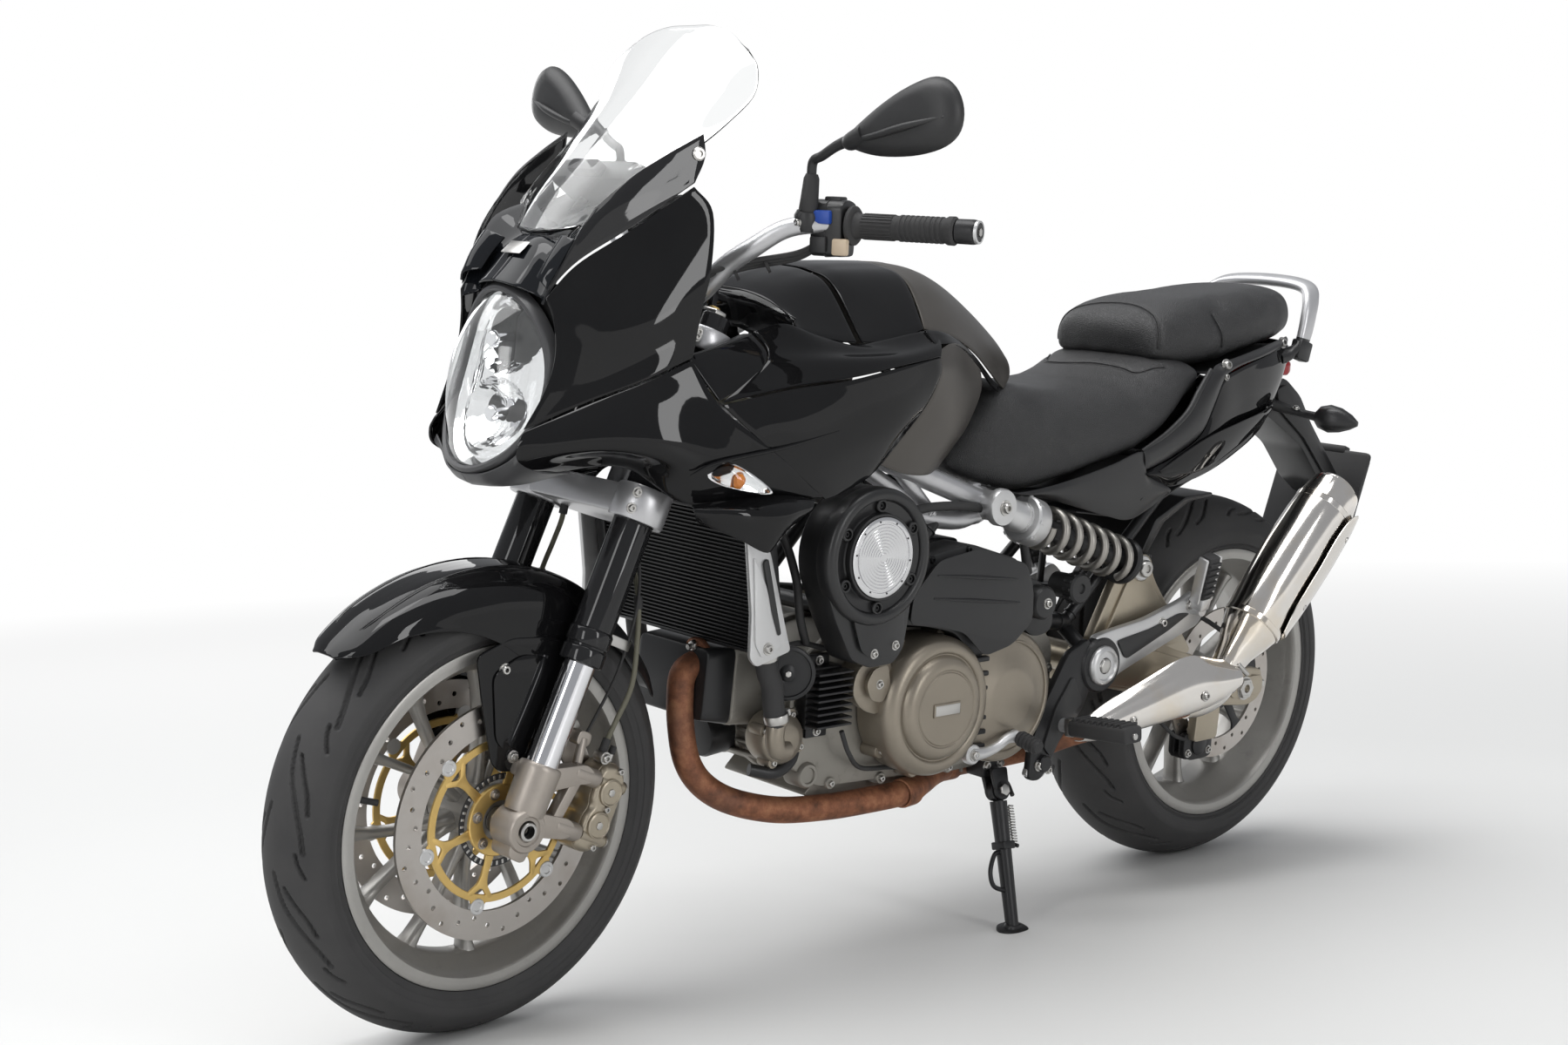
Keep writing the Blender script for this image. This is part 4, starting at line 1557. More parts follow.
def make_radiator():
    """Radiator: folded fins between side tanks, frame, pale side trims with their screws, cap and hoses."""
    cooler = Piece("radiator_visual", "chassis", FIXED, ("radiator",))
    tilt = radians(8)
    at = frame_at((1112, 0, 594), (cos(tilt), 0, -sin(tilt)), (0, 0, 1))
    core = rounded([(-94, -163), (94, -163), (94, 163), (-94, 163)], 3, 1)
    cooler.prism(core, -13, 9, "radiator core", at, 1.0)
    for side in (-1, 1):
        tank = rounded([(-97, 162 * side), (97, 162 * side), (97, 182 * side), (-97, 182 * side)], 4, 3)
        cooler.prism(tank, -17, 17, "black metal", at, 2.5)
    for x in (-97, 93):
        cooler.block((x, -164, -14), (x + 5, 164, 15), "black metal", at, 1.0)
    for side in (1, -1):
        def leaf(outline, low, high, bevel, finish="bright cast"):
            plate(cooler, rounded(outline, 6, 3), *sorted((side * low, side * high)), finish, bevel)
        leaf([(1166, 688), (1150, 692), (1120, 640), (1086, 528), (1078, 504), (1138, 488), (1150, 500),
              (1150, 560)],
             184, 191, 1.6)
        leaf([(1152, 640), (1144, 520), (1132, 500), (1098, 510), (1104, 530), (1130, 600)], 189.5, 194, 1.2)
        leaf([(1128, 636), (1108, 560), (1100, 530), (1106, 528), (1118, 560), (1136, 630)], 190, 195, 0.8,
             "matte black")
        bolt_head(cooler, (1122, side * 194, 512), (0, side, 0), 6.0, "bare steel")
        cooler.rod((1116, side * 62, 686), (1107, side * 62, 742), 6, "black metal")
    neck = frame_at((1098, -120, 692), (0.1, 0, 1))
    cooler.lathe([(0, 0), (17, 0), (17, 12), (22, 13), (22, 22), (18, 26), (0, 26)], "black metal", neck, 36)
    hose = [(1086, 146, 500), (1082, 148, 470), (1074, 150, 448), (1070, 150, 420), (1062, 150, 392)]
    cooler.tube(hose, 15.5, "rubber", 20, 6)
    for spot, way in (((1085, 146.5, 490), (-0.2, 0, -1)), ((1064, 150, 402), (-0.25, 0, -1))):
        cooler.lathe([(15.2, -6), (17.6, -6), (18, -5), (18, 5), (17.6, 6), (15.2, 6)], "bare steel",
                     frame_at(spot, way), 32, ring=True)
        cooler.block((14, -4, -5), (24, 4, 5), "bare steel", frame_at(spot, way), 1.0)
    cooler.tube([(1086, -146, 500), (1070, -150, 452), (1030, -140, 420), (1000, -110, 410)], 15, "rubber",
                20, 6)
    return cooler.done()


def make_pump_and_horn():
    """Finned regulator, round horn, water pump with its elbow, and the wiring along the engine's side."""
    parts = Piece("regulator_and_horn", "chassis", FIXED, ("horn_and_regulator",))
    parts.block((936, 118, 374), (1003, 142, 461), "black metal", None, 3.0)
    for k in range(9):
        z = 379 + 9.4 * k
        parts.block((937, 140, z), (1002, 167.5, z + 3.4), "black metal", None, 0.9)
    for z in (366, 468):
        parts.block((950, 122, z - 9), (990, 130, z + 9), "black metal", None, 2.5)
        bolt_head(parts, (970, 130, z), (0, 1, 0), 5.0, "bare steel")
    at = frame_at((1046, 150, 462), (0.55, 0.83, 0.0), (0, 0, 1))
    parts.lathe([(0, -22), (20, -22), (28, -16), (36, -8), (38.5, -4), (38.5, 3), (36, 5), (33, 5), (32, 2),
                 (24, 1.4),
                 (18, 3.4), (12, 1.4), (7, 4.4), (0, 5)], "black metal", at, 56)
    parts.lathe([(0, 3), (4.5, 3), (4.5, 8), (0, 8)], "bare steel", at, 6, bevel=0.4)
    parts.block((1008, 118, 452), (1040, 132, 478), "black metal", None, 2.0)
    pump = frame_at((1040, 128, 366), (0, 1, 0), (1, 0, 0))
    parts.lathe([(0, -30), (34, -30), (37, -24), (37, 8), (34, 14), (24, 19), (20, 22), (0, 22)], "bronze",
                pump, 56)
    for k in range(4):
        angle = radians(25 + 90 * k)
        spot = (1040 + 36 * cos(angle), 138, 366 + 36 * sin(angle))
        parts.lathe([(0, -26), (8.4, -26), (8.4, 0), (0, 0)], "bronze", frame_at(spot, (0, 1, 0)), 20,
                    bevel=0.8)
        bolt_head(parts, spot, (0, 1, 0), 4.4, "bare steel", washer=False)
    parts.tube([(1062, 150, 396), (1066, 151, 376), (1060, 150, 356), (1040, 146, 352)], 13.5, "bronze", 20,
               8)
    parts.lathe([(12.8, -3), (16, -3), (16.4, -2), (16.4, 4), (15, 6), (12.8, 6)], "bronze",
                frame_at((1063, 150, 396), (-0.2, 0, 1)), 32, ring=True)
    parts.tube([(1000, 120, 352), (1020, 132, 330), (1050, 134, 318), (1084, 120, 324)], 9, "black metal", 14,
               6)
    wires = [[(1100, 120, 520), (1060, 140, 500), (1010, 136, 498), (960, 134, 486), (930, 128, 500)],
             [(1088, 70, 700), (1050, 120, 660), (1040, 150, 600), (1030, 152, 540), (1010, 144, 500)],
             [(940, 150, 366), (920, 146, 330), (880, 130, 300), (820, 128, 292), (760, 124, 282)],
             [(560, 140, 560), (600, 150, 640), (680, 148, 668), (790, 150, 676), (880, 152, 660)]]
    for route, thick in zip(wires, (4.0, 6.0, 3.6, 7.0)):
        parts.tube(route, thick, "rubber", 10, 7)
    parts.block((846, 118, 596), (880, 156, 656), "black metal", None, 4.0)
    parts.lathe([(0, 0), (13, 0), (13, 14), (10, 17), (0, 17)], "bare steel",
                frame_at((864, 154, 632), (0, 1, 0)), 28)
    for x, z in ((838, 655), (824, 640), (812, 662)):
        bolt_head(parts, (x, 150, z), (0, 1, 0), 6.4, "bare steel")
    parts.block((800, 116, 630), (850, 148, 672), "bright cast", None, 5.0)
    return parts.done()


HEADER = [(1080, 42, 466), (1120, 42, 464), (1143, 42, 452), (1149, 44, 424), (1148, 46, 380),
          (1140, 52, 330),
          (1118, 62, 294), (1078, 78, 268), (1010, 98, 250), (930, 112, 245), (860, 121, 246),
          (780, 124, 248),
          (735, 106, 250), (680, 80, 253), (620, 64, 254), (560, 72, 257), (490, 104, 271), (430, 134, 292),
          (366, 156, 305), (300, 176, 317), (240, 192, 324), (200, 200, 329)]


def make_header():
    """Rusty header with its port flange, studs and springs, and the balance box under the engine."""
    pipes = Piece("exhaust_header", "chassis", FIXED, ("exhaust_pipes",))
    pipes.tube(HEADER, 19.0, "header", 32, 6)
    at = frame_at((1124, 42, 463), (1, 0, -0.12), (0, 0, 1))
    pipes.prism(rounded([(-36, -13), (-20, -27), (20, -27), (36, -13), (36, 13), (20, 27), (-20, 27),
                         (-36, 13)], 8, 3),
                -13, -4, "header", at, 1.6)
    for x in (-27, 27):
        pipes.lathe([(0, -6), (4, -6), (4, 10), (0, 10)], "bare steel", at @ Matrix.Translation((x, 0, 0)),
                    16)
        pipes.lathe([(0, -4), (8, -4), (8, 3), (0, 3)], "bare steel", at @ Matrix.Translation((x, 0, 0)), 6,
                    bevel=0.6)
    for spot, way in (((780, 124, 248), (-1, -0.2, 0)), ((640, 66, 254), (-1, 0, 0))):
        pipes.lathe([(19, -16), (21.4, -15), (22, -12), (22, 12), (21.4, 15), (19, 16)], "header",
                    frame_at(spot, way),
                    36, ring=True)
    return pipes.done()


def oval_loop(centre, way, wide, thick, count=28, lean=0.0, power=2.3):
    """Rounded oval round a centre, square to a direction."""
    at = frame_at(centre, way, (0, 1, 0))
    loop = []
    for k in range(count):
        turn = 2 * pi * k / count + lean
        c, n = cos(turn), sin(turn)
        bulge = (abs(c) ** power + abs(n) ** power) ** (-1 / power)
        loop.append(at @ Vector((thick / 2 * c * bulge, wide / 2 * n * bulge, 0)))
    return loop


def shield(piece, start, stop, sections, finish, gap, columns=14):
    """Curved cover plate over part of a rising pipe, as a closed thin shell."""
    grid = []
    way = (Vector(stop) - Vector(start))
    for share, wide, thick, first, last in sections:
        at = frame_at(Vector(start) + way * share, way, (0, 1, 0))
        line = []
        for k in range(columns + 1):
            turn = radians(first + (last - first) * k / columns)
            c, n = cos(turn), sin(turn)
            bulge = (abs(c) ** 2.3 + abs(n) ** 2.3) ** (-1 / 2.3)
            line.append(at @ Vector(((thick / 2 + gap) * c * bulge, (wide / 2 + gap) * n * bulge, 0)))
        grid.append(line)
    lines = [curve_through(column, 4) for column in zip(*grid)]
    piece.sheet([list(row) for row in zip(*lines)], finish, 1.8, False, 0.6)


def make_silencer():
    """Polished silencer: inlet box, oval body, seams, end cap with its outlet, and heat shields."""
    can = Piece("silencer_visual", "chassis", FIXED, ("silencer",))
    start, stop = Vector((150, 208, 384)), Vector((-84, 232, 664))
    way = stop - start
    loops = []
    for share, wide, thick in ((-0.16, 40, 40), (-0.06, 44, 44), (0.0, 50, 48), (0.08, 62, 56),
                               (0.17, 86, 78),
                               (0.24, 102, 92), (0.4, 110, 96), (0.6, 113, 98), (0.8, 110, 95),
                               (0.88, 105, 91),
                               (0.93, 97, 84), (0.985, 89, 76), (1.0, 84, 71)):
        loops.append(oval_loop(start + way * share, way, wide, thick, 40))
    can.loft(loops, "polished")
    for share, wide, thick in ((0.235, 103, 93.5), (0.875, 107, 93)):
        can.loft([oval_loop(start + way * (share + d), way, wide + g, thick + g, 40)
                  for d, g in ((-0.016, -3), (-0.012, 0), (0.012, 0), (0.016, -3))], "polished")
    can.loft([oval_loop(start + way * share, way, wide, thick, 40)
              for share, wide, thick in ((0.99, 70, 58), (1.012, 70, 58), (1.02, 66, 54), (1.006, 60, 48),
                                         (0.95, 58, 46))], "polished")
    can.loft([oval_loop(start + way * share, way, 57, 45, 40) for share in (0.95, 1.008)], "matte black")
    shield(can, start, stop, ((0.26, 104, 93, 20, 168), (0.38, 111, 97, 8, 176), (0.60, 115, 100, 4, 178),
                              (0.76, 113, 98, 2, 178), (0.88, 108, 94, 10, 172), (0.93, 104, 90, 30, 150)),
           "polished", 4.5)
    for share, turn in ((0.42, 90), (0.80, 90)):
        at = frame_at(start + way * share, way, (0, 1, 0))
        away = at.to_3x3() @ Vector((cos(radians(turn - 55)), sin(radians(turn - 55)), 0))
        spot = start + way * share + away * 54
        bolt_head(can, spot, away, 6.0, "bare steel")
    collector = [(236, 193, 325), (206, 199, 332), (176, 204, 346), (156, 207, 366), (140, 209, 382)]
    can.tube(collector, [22, 27, 29, 28, 24], "polished", 30, 6)
    low_start, low_stop = (452, 150, 300), (150, 208, 366)
    rows = []
    for share, drop, rise, out in ((0.0, -12, 12, 30), (0.12, -22, 32, 36), (0.4, -28, 52, 42),
                                   (0.66, -32, 66, 46),
                                   (0.86, -30, 46, 44), (1.0, -16, 26, 38)):
        base = Vector(low_start).lerp(Vector(low_stop), share)
        rows.append([base + Vector((0, out * 0.25, drop)), base + Vector((0, out * 0.8, drop * 0.72)),
                     base + Vector((0, out, 0)), base + Vector((0, out * 0.86, rise * 0.6)),
                     base + Vector((0, out * 0.4, rise))])
    grid = surface_through(rows, 5, 6)
    can.sheet(grid, "polished", 1.8, False, 0.7)
    for share, out in ((0.28, 36), (0.72, 45)):
        spot = Vector(low_start).lerp(Vector(low_stop), share) + Vector((0, out + 1, 2))
        bolt_head(can, spot, (0, 1, 0.1), 6.0, "bare steel")
    can.lathe([(24, -7), (30, -7), (31, -5.5), (31, 5.5), (30, 7), (24, 7)], "bare steel",
              frame_at((160, 206, 362), (-0.45, 0.08, 0.6)), 40, ring=True)
    can.rod((150, 232, 392), (128, 236, 372), 4.0, "bare steel")
    return can.done()


# ---------------------------------------------------------------- tail
def band(stations, bulge=10.0, rows=5):
    """Rows of control points between a top and a bottom edge, swelling outward in the middle."""
    out = []
    for k in range(rows):
        t = k / (rows - 1)
        out.append([(top[0] + (low[0] - top[0]) * t, top[1] + (low[1] - top[1]) * t + bulge * sin(pi * t),
                     top[2] + (low[2] - top[2]) * t) for top, low in stations])
    return out


TAIL_STATIONS = [((328, 160, 704), (322, 157, 697)), ((262, 163, 724), (258, 156, 677)),
                 ((198, 164, 756), (200, 153, 684)), ((167, 162, 801), (150, 147, 694)),
                 ((139, 158, 844), (108, 140, 705)), ((96, 150, 858), (64, 131, 718)),
                 ((40, 141, 870), (16, 123, 736)),
                 ((-20, 128, 880), (-30, 112, 758)), ((-70, 111, 888), (-72, 98, 790)),
                 ((-106, 91, 891), (-108, 82, 830))]
STRIP_STATIONS = [((338, 166, 738), (330, 161, 705)), ((282, 166, 762), (264, 164, 726)),
                  ((234, 164, 792), (200, 165, 758)), ((202, 160, 826), (168, 163, 803)),
                  ((168, 154, 857), (140, 159, 846)), ((146, 146, 868), (116, 154, 857)),
                  ((88, 139, 878), (78, 148, 866)), ((18, 128, 890), (14, 138, 877)),
                  ((-58, 111, 902), (-60, 117, 889)), ((-108, 90, 906), (-106, 93, 893))]
BELT_STATIONS = [((668, 136, 702), (640, 132, 692)), ((606, 146, 687), (588, 141, 680)),
                 ((548, 152, 691), (532, 146, 672)), ((476, 158, 704), (462, 149, 654)),
                 ((404, 163, 721), (400, 150, 638)), ((338, 165, 737), (346, 149, 628)),
                 ((318, 160, 700), (300, 150, 642)), ((262, 157, 677), (254, 150, 664))]


def make_tail():
    """Tail cowl: gloss flanks with a facet, satin strip and belt under the saddle, dark inner panels."""
    tail = Piece("tail_panels", "chassis", FIXED, ("tail_cowl",))
    tail.panel(band(TAIL_STATIONS, 9.0), "gloss black", 3.0, 5, 6, both=True)
    tail.panel(band(STRIP_STATIONS, 4.0, 4), "satin black", 3.0, 5, 4, both=True)
    tail.panel(band(BELT_STATIONS, 6.0), "satin black", 3.0, 5, 5, both=True)
    facet = [((300, 168, 706), (292, 166, 697)), ((232, 172, 738), (220, 166, 696)),
             ((176, 172, 758), (160, 160, 706)),
             ((96, 163, 774), (80, 146, 730)), ((20, 147, 786), (6, 131, 758)),
             ((-30, 131, 796), (-40, 119, 780))]
    tail.panel(band(facet, 2.0, 4), "gloss black", 2.5, 5, 4, both=True)
    rim = [(338, 162, 738), (282, 163, 763), (232, 161, 794), (200, 157, 828), (167, 151, 860)]
    tail.tube(rim, [3.0, 4.5, 5.0, 5.0, 4.0], "matte black", 12, 8, both=True)
    fold = [(330, 159, 660), (306, 157, 672), (262, 158, 668)]
    tail.tube(fold, [1.0, 2.0, 1.0], "satin black", 8, 6, both=True)
    inner = [[(168, 148, 852), (120, 142, 856), (40, 128, 872), (-60, 106, 894)],
             [(168, 90, 850), (120, 88, 852), (40, 82, 868), (-60, 70, 890)],
             [(168, 0, 850), (120, 0, 852), (40, 0, 868), (-60, 0, 890)]]
    tail.panel(inner, "matte black", 3.0, 5, 4, both=True)
    cap = [[(-104, 0, 900), (-106, 44, 900), (-108, 78, 898), (-108, 92, 893)],
           [(-156, 0, 894), (-154, 44, 893), (-140, 72, 888), (-118, 90, 880)],
           [(-180, 0, 876), (-176, 42, 876), (-156, 68, 872), (-120, 88, 862)],
           [(-170, 0, 862), (-166, 40, 862), (-146, 62, 858), (-112, 82, 844)]]
    tail.panel(cap, "satin black", 3.0, 5, 5, both=True)
    belly = [[(470, 0, 652), (466, 70, 650), (458, 140, 648)],
             [(330, 0, 650), (330, 70, 646), (326, 142, 636)],
             [(206, 0, 690), (206, 72, 684), (206, 146, 680)], [(80, 0, 726), (80, 70, 720), (76, 128, 714)],
             [(-30, 0, 770), (-30, 60, 766), (-34, 106, 758)],
             [(-92, 0, 822), (-94, 46, 822), (-98, 80, 826)]]
    tail.panel(belly, "matte black", 3.0, 5, 5, both=True)
    for x, y, z, radius in ((128, 151, 866, 7.5), (134, 157, 848, 4.5), (-74, 108, 896, 7.0)):
        for side in (1, -1):
            bolt_head(tail, (x, side * y, z), (0, side, 0.25), radius, "bare steel")
    return tail.done()


def make_rear_lights():
    """Red tail lamp under the cap, and black pointed signal lamps on short stalks."""
    lights = Piece("rear_lights_visual", "chassis", FIXED, ("rear_lights",))
    lamp = [[(-118, y * 0.98, z) for y,
             z in ((-52, 836), (-52, 856), (0, 862), (52, 856), (52, 836), (0, 832))],
            [(-168, y, z) for y, z in ((-56, 834), (-56, 860), (0, 866), (56, 860), (56, 834), (0, 830))],
            [(-186, y * 0.92, z) for y,
             z in ((-52, 838), (-52, 856), (0, 861), (52, 856), (52, 838), (0, 835))]]
    lights.loft(lamp, "red", bevel=4.0)
    lights.block((-150, -58, 829), (-120, 58, 836), "matte black", None, 2.0)
    for side in (1, -1):
        lights.tube([(-150, side * 36, 784), (-166, side * 60, 776), (-178, side * 88, 770),
                     (-182, side * 114, 767)],
                    [11.0, 9.0, 7.5, 8.0], "matte black", 14, 5)
        bolt_head(lights, (-168, side * 78, 779), (0.2, side * 0.3, 1), 4.6, "bare steel")
        loops = []
        for reach, wide, tall, drop in ((0, 9, 9, 0), (8, 19, 16, 0), (24, 24, 20, -1), (42, 21, 17, -2),
                                        (60, 13, 10, -4),
                                        (72, 4, 3, -6)):
            centre = Vector((-182 - reach * 0.28, side * (110 + reach), 767 + drop))
            loops.append(oval_loop(centre, (-0.25, side, -0.05), wide * 2, tall * 2, 24, 0.0, 2.6))
        lights.loft(loops, "satin black")
        lens = []
        for reach, wide, tall in ((10, 15, 12), (26, 20, 16), (44, 16, 12), (56, 8, 6)):
            centre = Vector((-189 - reach * 0.28, side * (112 + reach), 765))
            lens.append(oval_loop(centre, (-0.25, side, -0.05), wide * 2, tall * 2, 24, 0.0, 2.6))
        lights.loft(lens, "amber")
    return lights.done()


def make_plate_carrier():
    """Splash guard that hangs under the tail, its blank plate board, ribs and reflector."""
    guard = Piece("plate_carrier_visual", "chassis", FIXED, ("plate_carrier",))
    arm = rounded([(-40, 806), (-44, 828), (-180, 828), (-226, 796), (-262, 748), (-368, 634), (-352, 606),
                   (-300, 640),
                   (-240, 704), (-150, 756)], 12, 3)
    plate(guard, arm, -44, 44, "satin black", 4.0)
    for side in (1, -1):
        web = rounded([(-150, 810), (-176, 818), (-216, 786), (-352, 628), (-340, 620), (-236, 722),
                       (-160, 774)], 6, 2)
        plate(guard, web, *sorted((side * 44, side * 50)), "matte black", 2.0)
    at = frame_at((-352, 0, 612), (-cos(radians(20)), 0, -sin(radians(20))), (0, 0, 1))
    board = rounded([(-84, -94), (84, -94), (84, 94), (-84, 94)], 10, 4)
    guard.prism(board, -4, 3, "matte black", at, 1.5)
    guard.prism(rounded([(-74, -86), (76, -86), (76, 86), (-74, 86)], 6, 3), 2.4, 4.4, "bezel grey", at, 0.6)
    for y in (-88, 88):
        guard.block((-70, y - 3, 2), (70, y + 3, 8), "matte black", at, 1.2)
    guard.block((78, -40, -6), (92, 40, 12), "matte black", at, 3.0)
    guard.prism(circle(17, 28), 3, 9, "red", at @ Matrix.Translation((-66, 0, 0)), 1.2)
    for y in (-60, 60):
        bolt_head(guard, at @ Vector((40, y, 4)), at.to_3x3() @ Vector((0, 0, 1)), 4.6, "bare steel")
    guard.tube([(-60, 0, 812), (-150, 0, 800), (-210, 30, 780)], 4, "rubber", 10, 6)
    return guard.done()


def make_grab_rail():
    """Passenger rail: flat-sided silver loop with black feet."""
    rail = Piece("grab_rail_visual", "chassis", FIXED, ("grab_rail",))
    half = [(-74, 98, 872), (-100, 106, 880), (-118, 113, 892), (-124, 116, 912), (-132, 115, 940),
            (-142, 110, 966),
            (-152, 97, 985), (-157, 64, 994), (-159, 0, 997)]
    whole = half + [(x, -y, z) for x, y, z in reversed(half[:-1])]
    spots = curve_through(whole, 8)
    loops = []
    for k, spot in enumerate(spots):
        way = (spots[min(k + 1, len(spots) - 1)] - spots[max(k - 1, 0)]).normalized()
        wide = Vector((1, 0, -0.35)).normalized()
        wide = (wide - way * wide.dot(way)).normalized()
        thin = way.cross(wide)
        share = abs(k / (len(spots) - 1) - 0.5) * 2
        grow = 1.0 if share < 0.8 else 1.0 + 0.3 * (share - 0.8) / 0.2
        loops.append([spot + wide * 15 * grow * c * b + thin * 8.5 * grow * n * b
                      for c, n, b in ((cos(t), sin(t), (abs(cos(t)) ** 3 + abs(sin(t)) ** 3) ** (-1 / 3))
                                      for t in (2 * pi * j / 20 for j in range(20)))])
    cut = len(loops) // 6
    rail.loft(loops[:cut + 1], "satin black")
    rail.loft(loops[cut:-cut], "silver paint")
    rail.loft(loops[-cut - 1:], "satin black")
    for side in (1, -1):
        foot = [(-40, side * 84, 856), (-62, side * 92, 864), (-90, side * 102, 876)]
        rail.tube(foot, [11, 12, 13], "satin black", 14, 5)
        block_at = frame_at((-120, side * 114, 886), (-0.3, 0, 1), (1, 0, 0))
        rail.block((-17, -11, -20), (17, 11, 14), "satin black", block_at, 4.0)
    return rail.done()


# ---------------------------------------------------------------- seats
def pad_loop(x, half, low, high, belly=0.55, shoulder=0.68):
    """Cross-section of a pad: flat underside, bulging flanks, rounded shoulders, slightly crowned top."""
    loop = []
    base = [(half * 0.90, low), (half, low + 4), (half * 1.02, low + (high - low) * 0.25),
            (half * 0.99, low + (high - low) * belly), (half * 0.90, low + (high - low) * 0.82),
            (half * shoulder, high - (high - low) * 0.035), (half * 0.3, high), (0, high)]
    right = [(y, z) for y, z in base]
    left = [(-y, z) for y, z in reversed(base[:-1])]
    spots = curve_through([(y, 0, z) for y, z in right + left], 4)
    for spot in spots:
        loop.append((x, spot.x, spot.z))
    return loop


def puff(pad, cap, voxel=0.006, rounds=12):
    """Inflates a closed pad as cloth, caps how far it may swell and smooths it once."""
    remesh = pad.modifiers.new("even", "REMESH")
    remesh.mode = "VOXEL"
    remesh.voxel_size = voxel
    remesh.use_smooth_shade = True
    graph = bpy.context.evaluated_depsgraph_get()
    data = bpy.data.meshes.new_from_object(pad.evaluated_get(graph))
    pad.modifiers.clear()
    old = pad.data
    pad.data = data
    bpy.data.meshes.remove(old)
    start = [v.co.copy() for v in data.vertices]
    cloth = pad.modifiers.new("padding", "CLOTH")
    cloth.settings.use_pressure = True
    cloth.settings.uniform_pressure_force = bpy.context.scene.tourer_sizes.seat_pressure
    cloth.settings.effector_weights.gravity = 0.0
    cloth.settings.mass = 0.3
    cloth.settings.tension_stiffness = 25.0
    cloth.settings.compression_stiffness = 25.0
    cloth.settings.bending_stiffness = 4.0
    cloth.settings.quality = 5
    cloth.collision_settings.use_collision = False
    scene = bpy.context.scene
    for number in range(1, 21):
        scene.frame_set(number)
    graph = bpy.context.evaluated_depsgraph_get()
    moved = [v.co.copy() for v in pad.evaluated_get(graph).data.vertices]
    pad.modifiers.clear()
    scene.frame_set(1)
    for vertex, here, there in zip(data.vertices, start, moved):
        step = there - here
        if step.length > cap:
            step *= cap / step.length
        vertex.co = here + step
    smooth = bmesh.new()
    smooth.from_mesh(data)
    for _ in range(rounds):
        bmesh.ops.smooth_vert(smooth, verts=smooth.verts, factor=0.5, use_axis_x=True, use_axis_y=True,
                              use_axis_z=True)
    bmesh.ops.recalc_face_normals(smooth, faces=smooth.faces)
    smooth.to_mesh(data)
    smooth.free()
    finer = pad.modifiers.new("finer", "SUBSURF")
    finer.levels = 1
    finer.render_levels = 1
    graph = bpy.context.evaluated_depsgraph_get()
    data = bpy.data.meshes.new_from_object(pad.evaluated_get(graph))
    pad.modifiers.clear()
    pad.data = data
    for face in data.polygons:
        face.use_smooth = True
    return pad


def on_surface(pad, place, spots, way, lift=0.0):
    """Points of a line dropped onto a pad along a direction, in the build frame."""
    back = place.inverted()
    turn = place.to_3x3()
    direction = (turn @ Vector(way)).normalized()
    out = []
    for spot in spots:
        start = place @ Vector(spot)
        hit, where, _, _ = pad.ray_cast(start - direction * 0.2, direction)
        if hit:
            out.append(back @ (where - direction * lift * 0.001))
    return out


def sink(pad, place, line, width, depth):
    """Presses a soft channel into a pad along a line of points on its surface."""
    spots = [place @ Vector(p) for p in line]
    size = width * 0.001
    for vertex in pad.data.vertices:
        best = 1.0
        for a, b in zip(spots, spots[1:]):
            run = b - a
            if (vertex.co - a).length > run.length + 3 * size:
                continue
            t = max(0.0, min(1.0, (vertex.co - a).dot(run) / max(run.length_squared, 1e-12)))
            best = min(best, (vertex.co - a - run * t).length)
        if best < 2.5 * size:
            vertex.co -= vertex.normal * depth * 0.001 * (1.0 - best / (2.5 * size)) ** 2


RIDER_SECTIONS = ((702, 92, 724, 742), (664, 116, 704, 794), (624, 130, 690, 838), (580, 140, 688, 843),
                  (530, 146, 692, 833), (470, 152, 704, 827), (400, 157, 722, 827), (335, 159, 740, 833),
                  (290, 159, 762, 846), (262, 157, 780, 861), (236, 154, 800, 875), (205, 149, 828, 880),
                  (178, 142, 850, 878))
PILLION_SECTIONS = ((258, 106, 873, 930), (240, 115, 870, 946), (205, 121, 868, 957), (150, 124, 868, 964),
                    (90, 124, 874, 969), (30, 121, 884, 975), (-30, 114, 896, 981), (-80, 104, 905, 984),
                    (-116, 90, 914, 981), (-134, 74, 922, 973))


def finish_pad(pad, body, node):
    """Puts a finished pad on its body, in place of its CAD node, as padding."""
    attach(pad, body)
    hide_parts(node)
    return pad


def raw_pad(name, sections, body):
    """Closed loft that the stuffing starts from, in place."""
    piece = Piece(name, body, FIXED, ())
    piece.loft([pad_loop(*section) for section in sections], "vinyl")
    return piece.done()


def add_seams(pad, place, lines):
    """Adds sewn piping to a finished pad's own mesh."""
    extra = Piece("piping", "chassis", place, ())
    for line, radius in lines:
        if len(line) > 3:
            extra.tube(line, radius, "vinyl", 8, 3)
    extra.mesh.transform(place)
    data = bpy.data.meshes.new("piping")
    extra.mesh.to_mesh(data)
    extra.mesh.free()
    joint = bmesh.new()
    joint.from_mesh(pad.data)
    joint.from_mesh(data)
    for face in joint.faces:
        face.material_index = 0
        face.smooth = True
    joint.to_mesh(pad.data)
    joint.free()
    bpy.data.meshes.remove(data)


